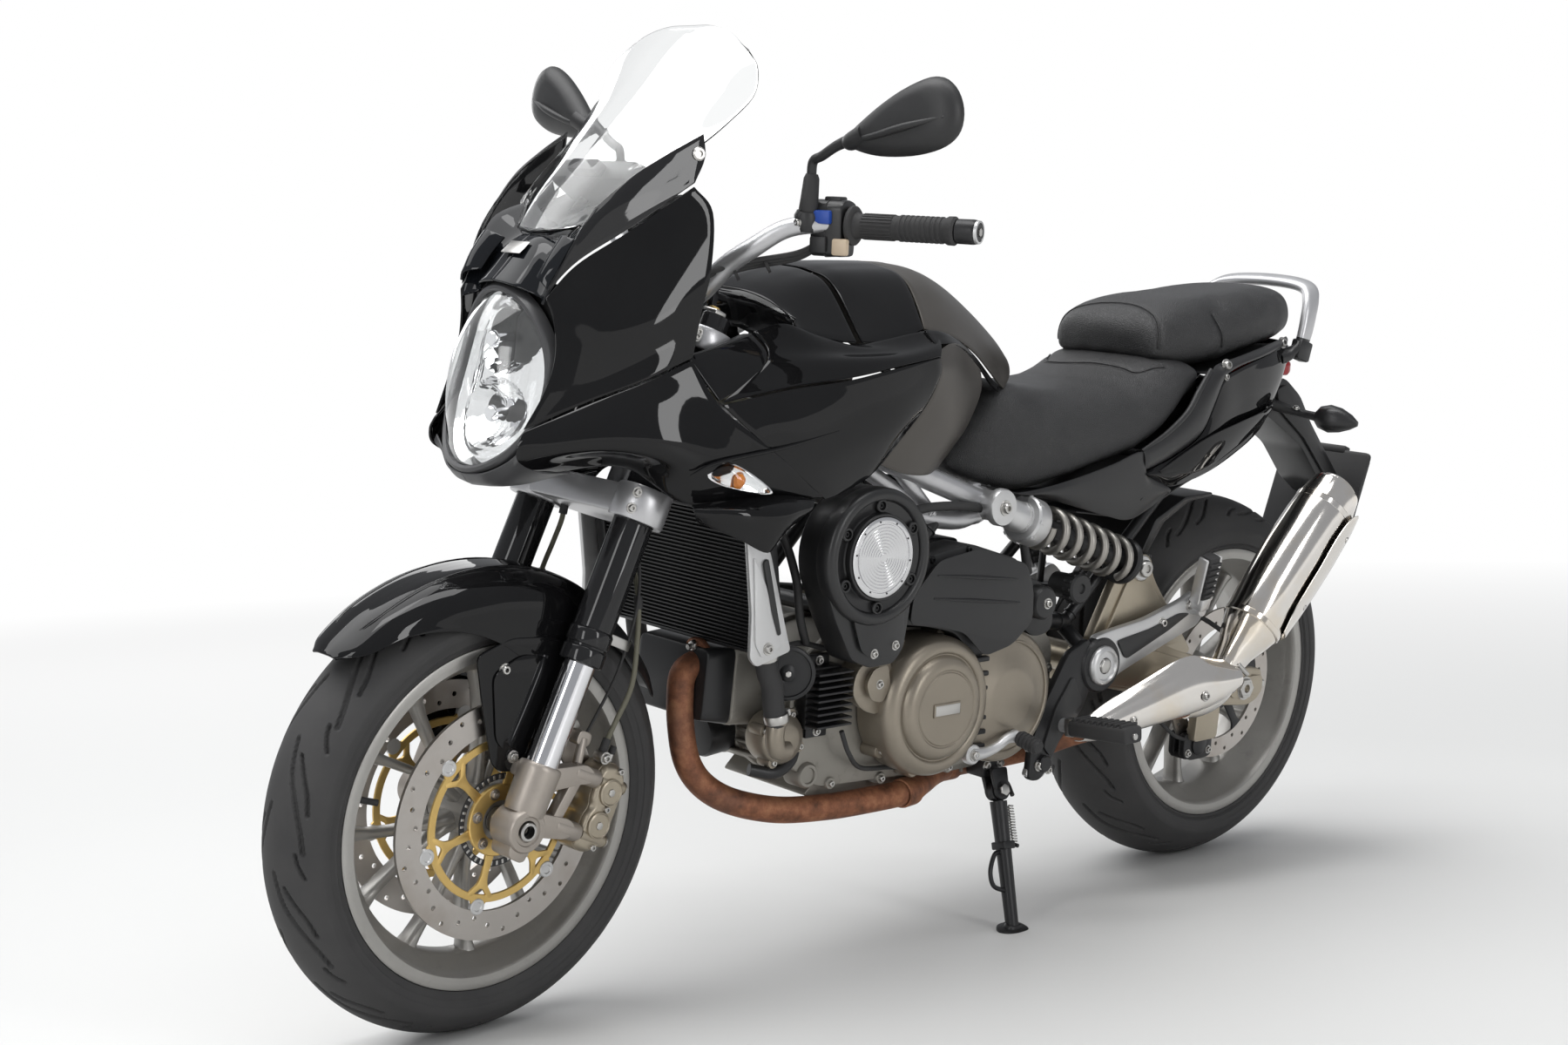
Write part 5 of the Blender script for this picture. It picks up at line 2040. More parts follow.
def make_rider_seat():
    """Saddle: inflated pad that rises in a step to the pillion, with the step's sewn edge."""
    pad = raw_pad("rider_saddle", RIDER_SECTIONS, "chassis")
    puff(pad, bpy.context.scene.tourer_sizes.seat_swell * 0.001)
    step = [(x, y, 1000) for x,
            y in ((248, -122), (262, -112), (282, -98), (284, -60), (276, 0), (280, 60), (286, 96),
                                      (264, 112), (248, 122))]
    step = curve_through(step, 3)
    lines = [on_surface(pad, FIXED, step, (0, 0, -1))]
    for line in lines:
        if len(line) > 3:
            sink(pad, FIXED, line, 4.0, 2.0)
    add_seams(pad, FIXED, [(line, 1.0) for line in lines])
    thread = on_surface(pad, FIXED, [(p.x + 5.5, p.y, 1000) for p in step[6:-6]], (0, 0, -1), 0.2)
    make_stitches("saddle_stitches", "chassis", [thread])
    return finish_pad(pad, "chassis", "rider_seat")


def make_pillion_seat():
    """Passenger's pad: flat D-shaped front panel with its piped seam, and a long crowned pad behind."""
    pad = raw_pad("pillion_pad", PILLION_SECTIONS, "pillion_seat")
    puff(pad, bpy.context.scene.tourer_sizes.seat_swell * 0.001)
    edge = [(400, y, z) for y,
            z in ((-112, 892), (-111, 912), (-103, 932), (-84, 947), (-46, 957), (0, 960), (46, 957),
                                     (84, 947), (103, 932), (111, 912), (112, 892))]
    front = curve_through(edge, 3)
    lines = [on_surface(pad, FIXED, [(p.x, p.y * 0.96, p.z * 0.985 + 12) for p in front], (-1, 0, 0))]
    for side in (1, -1):
        down = [(116 - 2 * k, side * 260, 946 - 9 * k) for k in range(7)]
        lines.append(on_surface(pad, FIXED, down, (0, -side, 0)))
    for line in lines:
        if len(line) > 3:
            sink(pad, FIXED, line, 4.0, 2.2)
    add_seams(pad, FIXED, [(line, 1.1) for line in lines])
    return finish_pad(pad, "pillion_seat", "pillion_seat")


# ---------------------------------------------------------------- rear suspension
def make_shock():
    """Damper with its capped eyes, threaded body, coil spring and reservoir banjo."""
    shock = Piece("rear_shock_visual", "chassis", FIXED, ("rear_shock",))
    top, low = Vector((660, 150, 671)), Vector((304, 138, 548))
    way = (low - top).normalized()
    length = (low - top).length
    at = frame_at(top, way, (0, 1, 0))
    shock.lathe([(0, 12), (17, 12), (20, 20), (23, 26), (23.5, 60), (24, 62), (24, 92), (0, 92)],
                "bright cast", at, 48)
    for k in range(7):
        h = 66 + 3.6 * k
        shock.lathe([(23, h), (25.2, h + 0.8), (25.2, h + 1.6), (23, h + 2.4)], "bright cast", at, 48,
                    ring=True)
    shock.lathe([(20, 74), (34, 74), (37, 77), (37, 102), (34, 106), (20, 106)], "bright cast", at, 56,
                ring=True)
    for k in range(8):
        turn = at @ Matrix.Rotation(2 * pi * k / 8, 4, "Z")
        shock.block((34, -3, 76), (38.2, 3, 84), "bright cast", turn, 0.8)
    shock.lathe([(0, 88), (17, 88), (17, length - 40), (0, length - 40)], "black metal", at, 36)
    shock.lathe([(10, length - 46), (34, length - 46), (37, length - 43), (37, length - 36),
                 (28, length - 30),
                 (16, length - 24), (10, length - 24)], "black metal", at, 56, ring=True)
    shock.lathe([(0, length - 32), (15, length - 32), (15, length - 8), (0, length - 8)], "bright cast", at,
                32)
    start, stop, turns = 108.0, length - 48.0, 6.2
    coil = []
    steps = 150
    for k in range(steps + 1):
        t = k / steps
        rise = start + (stop - start) * (t * 0.94 + 0.03)
        coil.append(at @ Vector((30.5 * cos(2 * pi * turns * t), 30.5 * sin(2 * pi * turns * t), rise)))
    shock.tube(coil, 6.4, "spring grey", 14, 1, smooth=False)
    for centre, radius in ((top, 22.5), (low, 20.0)):
        side = frame_at(centre, (0, 1, 0), (1, 0, 0))
        shock.lathe([(9, -15), (radius - 2, -15), (radius, -13), (radius, 13), (radius - 2, 15), (9, 15)],
                    "bright cast", side, 48, ring=True)
        shock.lathe([(0, 14), (13.5, 14), (14, 16), (14, 21), (12, 23.4), (6.5, 24), (6, 20.6), (0, 20.4)],
                    "bare steel",
                    side, 36)
        shock.lathe([(0, -34), (8, -34), (8, 15), (0, 15)], "bare steel", side, 24)
    shock.lathe([(0, 0), (26, 0), (28, 2), (28, 10), (26, 14), (15, 16), (0, 16)], "bright cast",
                frame_at((660, 164, 671), (0, 1, 0)), 48)
    bolt_head(shock, (660, 180, 671), (0, 1, 0), 8.0, "bare steel")
    shock.rod((top - Vector((0, 32, 0))), (top + Vector((0, 4, 0))), 10, "bare steel")
    return shock.done()


def make_swingarm():
    """Two-sided swingarm: box arms with pressed panels, shock lug, axle plates and chain guard."""
    arm = Piece("swingarm_visual", "chassis", FIXED, ("swingarm",))
    outline = rounded([(436, 432), (436, 376), (120, 298), (-22, 281), (-54, 294), (-54, 342), (60, 361),
                       (180, 400),
                       (250, 426)], 14, 4)
    plate(arm, outline, 114, 132, "champagne", 4.0, both=True)
    rib = [(p[0] * 0.86 + 28, p[1] * 0.7 + 108) for p in outline]
    plate(arm, rib, 130, 136, "champagne", 2.0, both=True)
    lug = rounded([(400, 432), (338, 540), (312, 568), (270, 566), (246, 520), (140, 392), (180, 386)], 14, 4)
    plate(arm, lug, 113, 131, "champagne", 3.5)
    inset = [(p[0] * 0.74 + 72, p[1] * 0.74 + 124) for p in lug]
    plate(arm, inset, 129, 136, "champagne", 2.0)
    turned(arm, 288, 545, [(0, 110), (22, 110), (22, 138), (19, 141), (0, 141)], "champagne", 44)
    turned(arm, 405, 405, [(12, -113), (24, -113), (24, 113), (12, 113)], "champagne", 44, ring=True)
    arm.block((322, -116, 350), (370, 116, 412), "champagne", None, 12.0)
    for side in (1, -1):
        slot = rounded([(-48, 300), (-48, 334), (36, 334), (36, 300)], 12, 4)
        plate(arm, slot, *sorted((side * 134, side * 138)), "champagne", 1.0)
        at = frame_at((-54, side * 123, 315), (-1, 0, 0))
        arm.lathe([(0, -4), (6, -4), (6, 12), (0, 12)], "bare steel", at, 20)
        arm.lathe([(0, 2), (9, 2), (9, 9), (0, 9)], "bare steel", at, 6, bevel=0.6)
    plate(arm,
          rounded([(470, 470), (300, 470), (120, 448), (60, 440), (60, 452), (140, 466), (300, 486),
                   (470, 486)], 5,
                       2), -126, -84, "matte black", 2.0)
    plate(arm,
          rounded([(250, 560), (210, 610), (150, 640), (90, 646), (90, 652), (160, 648), (232, 616),
                   (262, 566)],
                       4, 2), -112, 112, "satin black", 2.0)
    arm.rod((250, 116, 440), (246, 112, 560), 6, "satin black")
    arm.rod((250, -116, 440), (246, -112, 560), 6, "satin black")
    arm.tube([(180, 137, 470), (110, 138, 440), (40, 138, 400), (10, 130, 372)], 4.0, "rubber", 10, 6)
    return arm.done()


def make_rear_axle():
    axle = Piece("rear_axle_visual", "chassis", FIXED, ("rear_axle",))
    at = frame_at((0, 0, 314.9), (0, 1, 0), (1, 0, 0))
    axle.lathe([(7.2, -143), (12.2, -143), (12.4, -142), (12.4, 142), (12.2, 143), (7.2, 143)], "bare steel",
               at, 36,
               ring=True)
    for side in (1, -1):
        nut = frame_at((0, side * 136.4, 314.9), (0, side, 0), (1, 0, 0))
        axle.lathe([(12.6, 0), (20, 0), (20, 2), (12.6, 2)], "bare steel", nut, 40, ring=True)
        axle.lathe([(12.6, 2), (18, 2), (18, 7), (12.6, 7)], "bare steel", nut, 6, bevel=0.8, ring=True)
    for low, high in ((86.2, 113.8), (-113.8, -99.8)):
        axle.lathe([(12.6, low), (17.4, low), (18, low + 0.8), (18, high - 0.8), (17.4, high), (12.6, high)],
                   "bare steel", at, 40, ring=True)
    return axle.done()


def make_rear_caliper():
    """Small rear caliper on its bracket, with its hose."""
    brake = Piece("rear_caliper_visual", "chassis", FIXED, ("rear_caliper",))
    body = rounded([(30, 196), (30, 240), (104, 240), (104, 200), (84, 192), (46, 192)], 8, 3)
    plate(brake, body, 88, 100, "black metal", 3.0)
    plate(brake, body, 66, 78, "black metal", 3.0)
    for x in (40, 94):
        brake.rod((x, 68, 202), (x, 98, 202), 7, "black metal")
        bolt_head(brake, (x, 100, 206), (0, 1, 0), 5.0, "bare steel")
    turned(brake, 66, 218, [(0, 99), (18, 99), (18, 103), (15, 105), (0, 105)], "black metal", 36)
    plate(brake, rounded([(36, 228), (96, 228), (88, 322), (28, 322)], 8, 3), 96, 113.6, "champagne", 2.0)
    brake.tube([(100, 96, 230), (150, 108, 250), (220, 110, 300), (300, 110, 350), (380, 106, 380)], 3.4,
               "rubber", 10,
               6)
    return brake.done()


def make_pegs():
    """Cast peg hangers with black inserts, pivot caps, rubbered pegs and the bolts that hold them."""
    pegs = Piece("footpegs_visual", "chassis", FIXED, ("footpegs",))
    upper = [(424, 450), (396, 456), (300, 468), (212, 490), (180, 503), (150, 478), (168, 446), (240, 424),
             (346, 390), (392, 372)]
    lower = [(424, 372), (440, 336), (488, 296), (514, 252), (530, 236), (556, 240), (552, 300), (528, 356),
             (480, 430),
             (430, 452)]
    plate(pegs, rounded(upper, 14, 4), 148, 163, "bright cast", 3.5, both=True)
    plate(pegs, rounded([(372, 440), (290, 452), (222, 470), (196, 468), (250, 444), (350, 408)], 8, 3), 161,
          166.5,
          "matte black", 1.6, both=True)
    plate(pegs, rounded(lower, 14, 4), 148, 162, "black metal", 3.5, both=True)
    plate(pegs, rounded([(446, 352), (488, 312), (512, 272), (530, 290), (506, 350), (470, 396)], 8, 3), 160,
          166,
          "matte black", 1.6, both=True)
    turned(pegs, 405, 405, [(0, -168), (10, -168), (10, 168), (0, 168)], "bare steel", 32)
    for side in (1, -1):
        at = frame_at((405, side * 160, 405), (0, side, 0), (1, 0, 0))
        pegs.lathe([(13, -12), (42, -12), (45, -8), (45, 1), (41, 6), (13, 6)], "black metal", at, 56,
                   ring=True)
        pegs.lathe([(13, 4), (30, 4), (31, 6), (31, 10), (28, 14), (24, 15), (22, 11), (20, 11), (13, 12)],
                   "bright cast", at, 56, ring=True)
        pegs.lathe([(0, 4), (13, 4), (13.4, 12), (11, 15), (0, 16)], "bare steel", at, 6, bevel=1.0)
        for x, z in ((196, 480), (262, 458), (536, 262)):
            bolt_head(pegs, (x, side * 163, z), (0, side, 0), 6.4, "bare steel")
        rider = frame_at((489, side * 172, 321), (-0.03, side, 0.09), (0, 0, 1))
        pegs.lathe([(0, -8), (11, -8), (11, 12), (0, 12)], "bright cast", rider, 28)
        pegs.block((-15, -13, 6), (13, 13, 24), "bare steel", rider, 3.0)
        pegs.prism(rounded([(-13, -21), (13, -21), (13, 21), (-13, 21)], 8, 4), 20, 132, "rubber", rider, 4.0)
        for k in range(9):
            pegs.block((10.5, -19, 29 + 11.2 * k), (17, 19, 35 + 11.2 * k), "rubber", rider, 1.4)
        pegs.rod(rider @ Vector((-2, 0, 126)), rider @ Vector((-2, 0, 136)), 5, "bare steel")
        pillion = frame_at((188, side * 178, 484), (0.12, side * 0.28, 0.95), (0, 1, 0))
        pegs.lathe([(0, -16), (10, -16), (10, 6), (0, 6)], "bright cast",
                   frame_at((186, side * 176, 474), (0, side, 0)), 24)
        pegs.block((-12, -12, -8), (12, 12, 14), "bright cast", pillion, 3.0)
        pegs.prism(rounded([(-11, -13), (11, -13), (11, 13), (-11, 13)], 6, 4), 12, 88, "rubber", pillion,
                   3.0)
        for low, high in ((-20, -13.4), (13.4, 20)):
            pegs.block((-10, low, 6), (9, high, 86), "bright cast", pillion, 3.0)
        for k in range(6):
            pegs.block((8.5, -13, 18 + 11 * k), (14.4, 13, 24 + 11 * k), "rubber", pillion, 1.4)
    return pegs.done()


def make_foot_controls():
    """Gear lever on its shaft with the ribbed toe rubber, and the brake pedal."""
    controls = Piece("foot_controls_visual", "chassis", FIXED, ("foot_controls",))
    for side in (1, -1):
        controls.lathe([(0, 0), (13, 0), (15, 2), (15, 12), (13, 14), (0, 14)], "bright cast",
                       frame_at((708, side * 176, 308), (0, side, 0)), 32)
        bolt_head(controls, (708, side * 190, 308), (0, side, 0), 6.5, "bare steel")
        controls.tube([(708, side * 184, 308), (684, side * 187, 308), (660, side * 189, 314),
                       (640, side * 190, 324),
                       (622, side * 191, 326)], [12, 8.5, 7.5, 8, 10], "bright cast", 16, 6)
        controls.rod((622, side * 184, 326), (622, side * 198, 325), 9, "bright cast")
        toe = frame_at((622, side * 197, 325), (-0.05, side, -0.2))
        controls.lathe([(0, 0), (9.4, 0), (10.6, 2), (10.6, 38), (9.4, 41), (0, 41)], "rubber", toe, 28)
        for k in range(5):
            controls.lathe([(10, 4 + 7 * k), (12.2, 5 + 7 * k), (12.2, 8 + 7 * k), (10, 9 + 7 * k)], "rubber",
                           toe, 28,
                           ring=True)
        bracket = rounded([(560, 246), (520, 238), (500, 262), (516, 292), (548, 318), (560, 300),
                           (548, 272)], 8, 3)
        plate(controls, bracket, *sorted((side * 148, side * 158)), "bright cast", 2.0)
        turned(controls, 526, 264, [(0, side * 150), (13, side * 150), (13, side * 168), (11, side * 170),
                                    (0, side * 170)], "black metal", 32)
        bolt_head(controls, (508, side * 158, 250), (0, side, 0), 5.0, "bare steel")
    return controls.done()


def make_stand():
    """Side stand leg with its foot, wire tang and return springs, riding on its own joint."""
    stand = Piece("side_stand_visual", "side_stand", FIXED, ("side_stand",))
    pivot, foot = Vector((588, 128, 222)), Vector((606, 192, 24.2))
    way = (foot - pivot).normalized()
    stand.tube([pivot + way * 16, pivot + way * 60, pivot + way * 120, pivot + way * 180, foot + way * -2],
               [13.5, 12.5, 11.5, 10.5, 10.0], "black metal", 20, 6)
    ground = Vector((0, 0.1132, 0.9936))
    at = frame_at(foot - ground * 1.5, ground, (1, 0, 0))
    pad = smooth_outline([(26, 0), (20, 15), (2, 20), (-20, 15), (-25, 0), (-20, -15), (2, -20), (20, -15)],
                         4)
    stand.prism(pad, -2.4, 3.6, "black metal", at, 1.2)
    stand.prism([(p[0] * 0.6, p[1] * 0.6) for p in pad], 3, 9, "black metal", at, 1.2, taper=3)
    axis = Vector((0, pivot.z - foot.z, foot.y - pivot.y)).normalized()
    eye = frame_at(pivot, axis, (1, 0, 0))
    stand.lathe([(5.6, -5.6), (16, -5.6), (17, -4.6), (17, 4.6), (16, 5.6), (5.6, 5.6)], "black metal", eye,
                44,
                ring=True)
    stand.tube([pivot + way * 92 + Vector((10, 0, 0)), pivot + way * 96 + Vector((24, 2, 2)),
                pivot + way * 118 + Vector((38, 4, 2)), pivot + way * 138 + Vector((34, 4, 0)),
                pivot + way * 150 + Vector((10, 1, 0))], 3.6, "black metal", 12, 6)
    for shift in (-9.0, 9.0):
        line = []
        for k in range(97):
            t = k / 96
            base = pivot + way * (22 + 58 * t) + Vector((-18 + shift * 0.2, shift, 0))
            spin = 2 * pi * 14 * t
            line.append(base + Vector((4.2 * cos(spin), 4.2 * sin(spin), 0)))
        stand.tube(line, 1.2, "bare steel", 6, 1, smooth=False)
    stand.rod(pivot + way * 84 + Vector((-19, -13, 0)), pivot + way * 84 + Vector((-19, 13, 0)), 3.2,
              "black metal")
    stand.block((-5, -14, 78), (20, 14, 90), "black metal",
                frame_at(pivot + Vector((-8, 0, 0)), way, (1, 0, 0)), 2.0)
    return stand.done()


def make_stand_bracket():
    mount = Piece("stand_bracket_visual", "chassis", FIXED, ("stand_bracket",))
    pivot = Vector((588, 128, 222))
    axis = Vector((0, 197.8, 64)).normalized()
    for side in (-1, 1):
        at = frame_at(pivot + axis * (side * 10), axis, (1, 0, 0))
        mount.lathe([(0, -3), (14, -3), (15, -2), (15, 2), (14, 3), (0, 3)], "black metal", at, 40)
        mount.prism(rounded([(-14, 0), (14, 0), (17, -34), (-17, -34)], 4, 2), -3, 3, "black metal", at, 0.8)
    mount.lathe([(0, -18), (5, -18), (5, 18), (0, 18)], "bare steel", frame_at(pivot, axis), 24)
    mount.lathe([(0, 13), (9.5, 13), (9.5, 19), (0, 19)], "bare steel", frame_at(pivot, axis), 6, bevel=0.8)
    mount.block((566, 82, 242), (612, 118, 280), "black metal", None, 4.0)
    for x in (574, 604):
        bolt_head(mount, (x, 118, 262), (0, 1, 0), 5.4, "bare steel")
    mount.tube([(570, 100, 244), (560, 120, 230), (566, 140, 214)], 3.6, "rubber", 10, 5)
    return mount.done()


# ---------------------------------------------------------------- frame and steering head
def make_frame():
    """Tubular frame: silver upper tubes with weld beads, black lower tubes, steering head and subframe."""
    frame_piece = Piece("frame_visual", "chassis", FIXED, ("frame",))
    lean = Vector((-sin(radians(24)), 0, cos(radians(24))))
    head = Vector((1210, 0, 808))
    frame_piece.lathe([(22, -62), (31, -62), (33, -58), (33, 58), (31, 62), (22, 62)], "silver paint",
                      frame_at(head, lean), 44, ring=True)
    for side in (1, -1):
        joints = {"top": (1190, 26 * side, 846), "low": (1224, 26 * side, 776),
                  "mid": (1000, 108 * side, 800),
                  "shoulder": (850, 136 * side, 742), "shock": (672, 132 * side, 678),
                  "inner": (752, 124 * side, 654),
                  "hanger": (880, 126 * side, 520), "pivot": (430, 104 * side, 466),
                  "seat": (420, 104 * side, 668),
                  "back": (-60, 84 * side, 816), "under": (150, 96 * side, 706)}
        spots = {name: Vector(spot) for name, spot in joints.items()}
        frame_piece.tube([spots["top"], spots["mid"], spots["shoulder"], spots["shock"]], 17, "silver paint",
                         24, 8)
        frame_piece.tube([spots["low"], (1040, 84 * side, 720), spots["inner"],
                          spots["shock"] - Vector((0, 0, 22))],
                         14, "silver paint", 22, 8)
        for start, stop, radius, finish in (("shoulder", "inner", 11, "silver paint"),
                                            ("mid", "inner", 12, "silver paint"),
                                            ("inner", "hanger", 13, "black metal"),
                                            ("hanger", "pivot", 13, "black metal"),
                                            ("seat", "back", 11, "black metal"),
                                            ("pivot", "under", 10, "black metal"),
                                            ("under", "back", 10, "black metal")):
            frame_piece.rod(spots[start], spots[stop], radius, finish)
            for name, other in ((start, stop), (stop, start)):
                way = (spots[other] - spots[name]).normalized()
                bead = frame_at(spots[name] + way * (radius + 7), way)
                frame_piece.lathe([(radius - 1, -2.4), (radius + 1.6, -1.2), (radius + 1.8, 0),
                                   (radius + 1.6, 1.2),
                                   (radius - 1, 2.4)], finish, bead, 24, ring=True)
        frame_piece.tube([spots["shock"] - Vector((0, 14 * side, 6)), (560, 96 * side, 672), spots["seat"]],
                         12,
                         "black metal", 18, 6)
        lug = rounded([(700, 640), (706, 690), (672, 706), (640, 690), (636, 654), (664, 640)], 12, 4)
        plate(frame_piece, lug, *sorted((side * 112, side * 133)), "silver paint", 4.0)
        if side < 0:
            frame_piece.rod((660, -133, 671), (660, -118, 671), 14, "bare steel")
        plate(frame_piece, rounded([(470, 430), (392, 430), (376, 380), (420, 366), (462, 372)], 12, 4),
              *sorted((side * 138, side * 147)), "black metal", 3.0)
        frame_piece.rod((430, 90 * side, 466), (430, 146 * side, 430), 12, "black metal")
        nut = frame_at((447, 118 * side, 527), (0, side, 0))
        if side > 0:
            frame_piece.lathe([(0, -20), (20, -20), (20, 12), (24, 14), (24, 30), (21, 33), (8, 33), (7, 30),
                               (0, 30)],
                              "matte black", nut, 32)
            for k in range(12):
                turn = nut @ Matrix.Rotation(2 * pi * k / 12, 4, "Z")
                frame_piece.block((23, -2.4, 15), (26.4, 2.4, 29), "matte black", turn, 0.8)
    frame_piece.rod((1150, -72, 806), (1150, 72, 806), 11, "silver paint")
    frame_piece.rod((430, -104, 466), (430, 104, 466), 12, "black metal")
    frame_piece.rod((880, -126, 520), (880, 126, 520), 12, "black metal")
    frame_piece.rod((150, -96, 706), (150, 96, 706), 10, "black metal")
    for k in range(6):
        path = [(1130 + 4 * k, 62 + 3 * k, 846), (1060, 92 + 2 * k, 826 - 4 * k), (990, 96, 800 - 5 * k),
                (900, 90, 780 - 5 * k)]
        frame_piece.tube(path, 4.2, "hose", 10, 6)
    return frame_piece.done()


def make_clamps():
    """Upper and lower fork clamps, stem nut and clamp bolts."""
    clamps = Piece("fork_clamps_visual", "steering", FORK, ("fork_clamps",))
    for low, high, wide, finish in ((424, 464, 32, "silver paint"), (664, 690, 29, "silver paint")):
        outline = rounded([(34, -132), (34, 132), (-8, 132), (-34, 96), (-66, 30), (-66, -30), (-34, -96),
                           (-8, -132)], 18,
                          4)
        clamps.prism([(x * wide / 34, y) for x, y in outline], low, high, finish, None, 5.0)
    for side in (1, -1):
        for low, high in ((421, 467), (662, 692)):
            at = Matrix.Translation((0, side * 105, 0))
            clamps.lathe([(27, low), (36, low), (37.5, low + 2), (37.5, high - 2), (36, high), (27, high)],
                         "silver paint", at, 44, ring=True)
            for lift in ((low + 12), (high - 12)):
                bolt_head(clamps, (34, side * 128, lift), (0.2, side, 0), 5.0, "bare steel")
        clamps.lathe([(0, 692), (24, 692), (25, 694), (25, 700), (20, 704), (12, 705), (12, 702), (0, 702)],
                     "black metal", Matrix.Translation((0, side * 105, 0)), 40)
        clamps.lathe([(0, 702), (9, 702), (9, 708), (0, 708)], "gold", Matrix.Translation((0, side * 105, 0)),
                     6,
                     bevel=0.6)
        clamps.block((-14, side * 42 - 13, 688), (26, side * 42 + 13, 742), "silver paint", None, 3.0)
        clamps.block((-13, side * 42 - 13, 743), (25, side * 42 + 13, 760), "silver paint", None, 5.0)
        for x in (-8, 20):
            bolt_head(clamps, (x, side * 42, 760), (0, 0, 1), 4.6, "bare steel")
    clamps.lathe([(0, 424), (15, 424), (15, 690), (0, 690)], "silver paint", Matrix.Translation((-38, 0, 0)),
                 32)
    clamps.lathe([(0, 688), (20, 688), (21, 690), (21, 700), (18, 704), (10, 705), (0, 705)], "bright cast",
                 Matrix.Translation((-38, 0, 0)), 36)
    return clamps.done()


# ---------------------------------------------------------------- controls
BAR_SEAT = ON_FORK @ Vector((6, 0, 742))


def make_handlebar():
    """Tapered silver bar from the clamps out to the grips, with end weights."""
    bar = Piece("handlebar_visual", "steering", TURNED, ("handlebar",))
    for side in (1, -1):
        spots = [BAR_SEAT + Vector((0, side * y, 0)) for y in (0, 40, 70)]
        spots += [Vector(p) for p in ((1150, side * 104, 1020), (1136, side * 138, 1046),
                                      (1112, side * 170, 1072),
                                      (1084, side * 202, 1081), (1050, side * 238, 1082),
                                      (1030, side * 300, 1083),
                                      (1002, side * 384, 1085))]
        bar.tube(spots, [14.5, 14.5, 14.5, 14.3, 13.5, 12.6, 11.6, 11.2, 11.0, 11.0], "silver paint", 24, 8)
        grip = frame_at((1050, side * 238, 1082), (-49, side * 146, 3), (0, 0, 1))
        bar.lathe([(11, -6), (24, -6), (26, -4), (26, 0), (24, 2), (18, 3), (16.4, 8), (16.2, 62), (16.8, 96),
                   (16.4, 130), (18.6, 134), (18.8, 142), (16, 145), (11, 145)], "rubber", grip, 40,
                  ring=True)
        for k in range(22):
            ridge = grip @ Matrix.Rotation(2 * pi * k / 22, 4, "Z")
            bar.block((15.8, -1.2, 14), (17.3, 1.2, 58), "rubber", ridge, 0.5)
        for k in range(9):
            bar.lathe([(16, 66 + 7 * k), (17.5, 67 + 7 * k), (17.5, 70 + 7 * k), (16, 71 + 7 * k)], "rubber",
                      grip, 40,
                      ring=True)
        bar.lathe([(0, 145), (13, 145), (16, 147), (16.2, 168), (15.4, 173), (12, 176), (0, 176)],
                  "black metal", grip, 36)
        bar.lathe([(12.4, 172), (15.2, 173), (15, 176.6), (12.2, 177), (11.8, 175)], "bright cast", grip, 36,
                  ring=True)
        bar.lathe([(0, 175), (5.6, 175), (5.6, 178), (0, 178)], "bare steel", grip, 6)
    return bar.done()


def make_hand_controls():
    """Switch cubes, front lever with its cylinder and reservoir, cables from both sides."""
    kit = Piece("hand_controls_visual", "steering", TURNED, ("hand_controls",))
    for side in (1, -1):
        at = frame_at((1064, side * 198, 1080), (-49, side * 146, 3), (0, 0, 1))
        cube = rounded([(-40, -20), (28, -24), (34, -8), (34, 12), (26, 24), (-40, 22)], 8, 4)
        kit.prism(cube, -12, 34, "satin black", at, 3.5)
        kit.prism([(p[0] * 1.03, p[1] * 1.03) for p in cube], 9.4, 10.6, "matte black", at, 0.3)
        front = sorted((side * 16, side * 31))
        kit.block((2, front[0], -6), (20, front[1], 20), "blue" if side > 0 else "red", at, 3.0)
        kit.block((-38, front[0], 22), (-16, front[1] - 4 * (side > 0), 44), "beige", at, 3.0)
        kit.block((-36, front[0], -10), (-14, front[1] - 3 * (side > 0), 14), "matte black", at, 3.0)
        rear = sorted((side * -14, side * -29))
        for low, high in ((-8, 6), (12, 26)):
            kit.block((low, rear[0], -2), (high, rear[1], 20), "matte black", at, 2.5)
        kit.block((28, -10, 2), (38, 12, 26), "matte black", at, 2.5)
        mount = frame_at((1092, side * 190, 1086), (0.1, side * 0.12, 1), (1, 0, 0))
        kit.lathe([(0, -14), (15, -14), (17, -10), (17, 6), (14, 12), (0, 12)], "matte black", mount, 32)
        bolt_head(kit, mount @ Vector((16, 0, -2)), (1, 0, 0), 4.6, "bare steel")
        cable = [(1060, side * 190, 1056), (1078, side * 160, 1034), (1128, side * 116, 1018),
                 (1180, side * 82, 996),
                 (1204, side * 58, 966)]
        for k in range(3):
            kit.tube([(x + 3 * k, y + side * 5 * k, z + 4 * k) for x, y, z in cable], 4.6 - 0.5 * k, "rubber",
                     12, 8)
        for t in (0.3, 0.62):
            spot = Vector(cable[1]).lerp(Vector(cable[3]), t)
            kit.lathe([(5.6, -2), (11, -2), (11, 2), (5.6, 2)], "rubber",
                      frame_at(spot, (0.6, -side * 0.5, -0.4)), 20,
                      ring=True)
    lever = [(1098, -196, 1076), (1104, -214, 1074), (1100, -260, 1070), (1092, -310, 1067),
             (1080, -352, 1065),
             (1074, -372, 1066)]
    kit.tube(lever, [8, 7, 6, 5.6, 6, 7.6], "black metal", 16, 8, squash=0.7)
    kit.prism(rounded([(-20, -16), (24, -16), (24, 16), (-20, 16)], 6, 3), -32, 26, "black metal",
              frame_at((1092, -182, 1078), (-0.3, -1, 0), (0, 0, 1)), 3.0)
    pot = frame_at((1104, -156, 1100), (0, 0, 1), (1, 0, 0))
    kit.lathe([(0, -12), (20, -12), (22, -9), (24, 20), (0, 20)], "smoke black", pot, 36)
    kit.lathe([(0, 20), (26, 20), (26.5, 22), (26.5, 28), (24, 31), (0, 31)], "matte black", pot, 36)
    return kit.done()


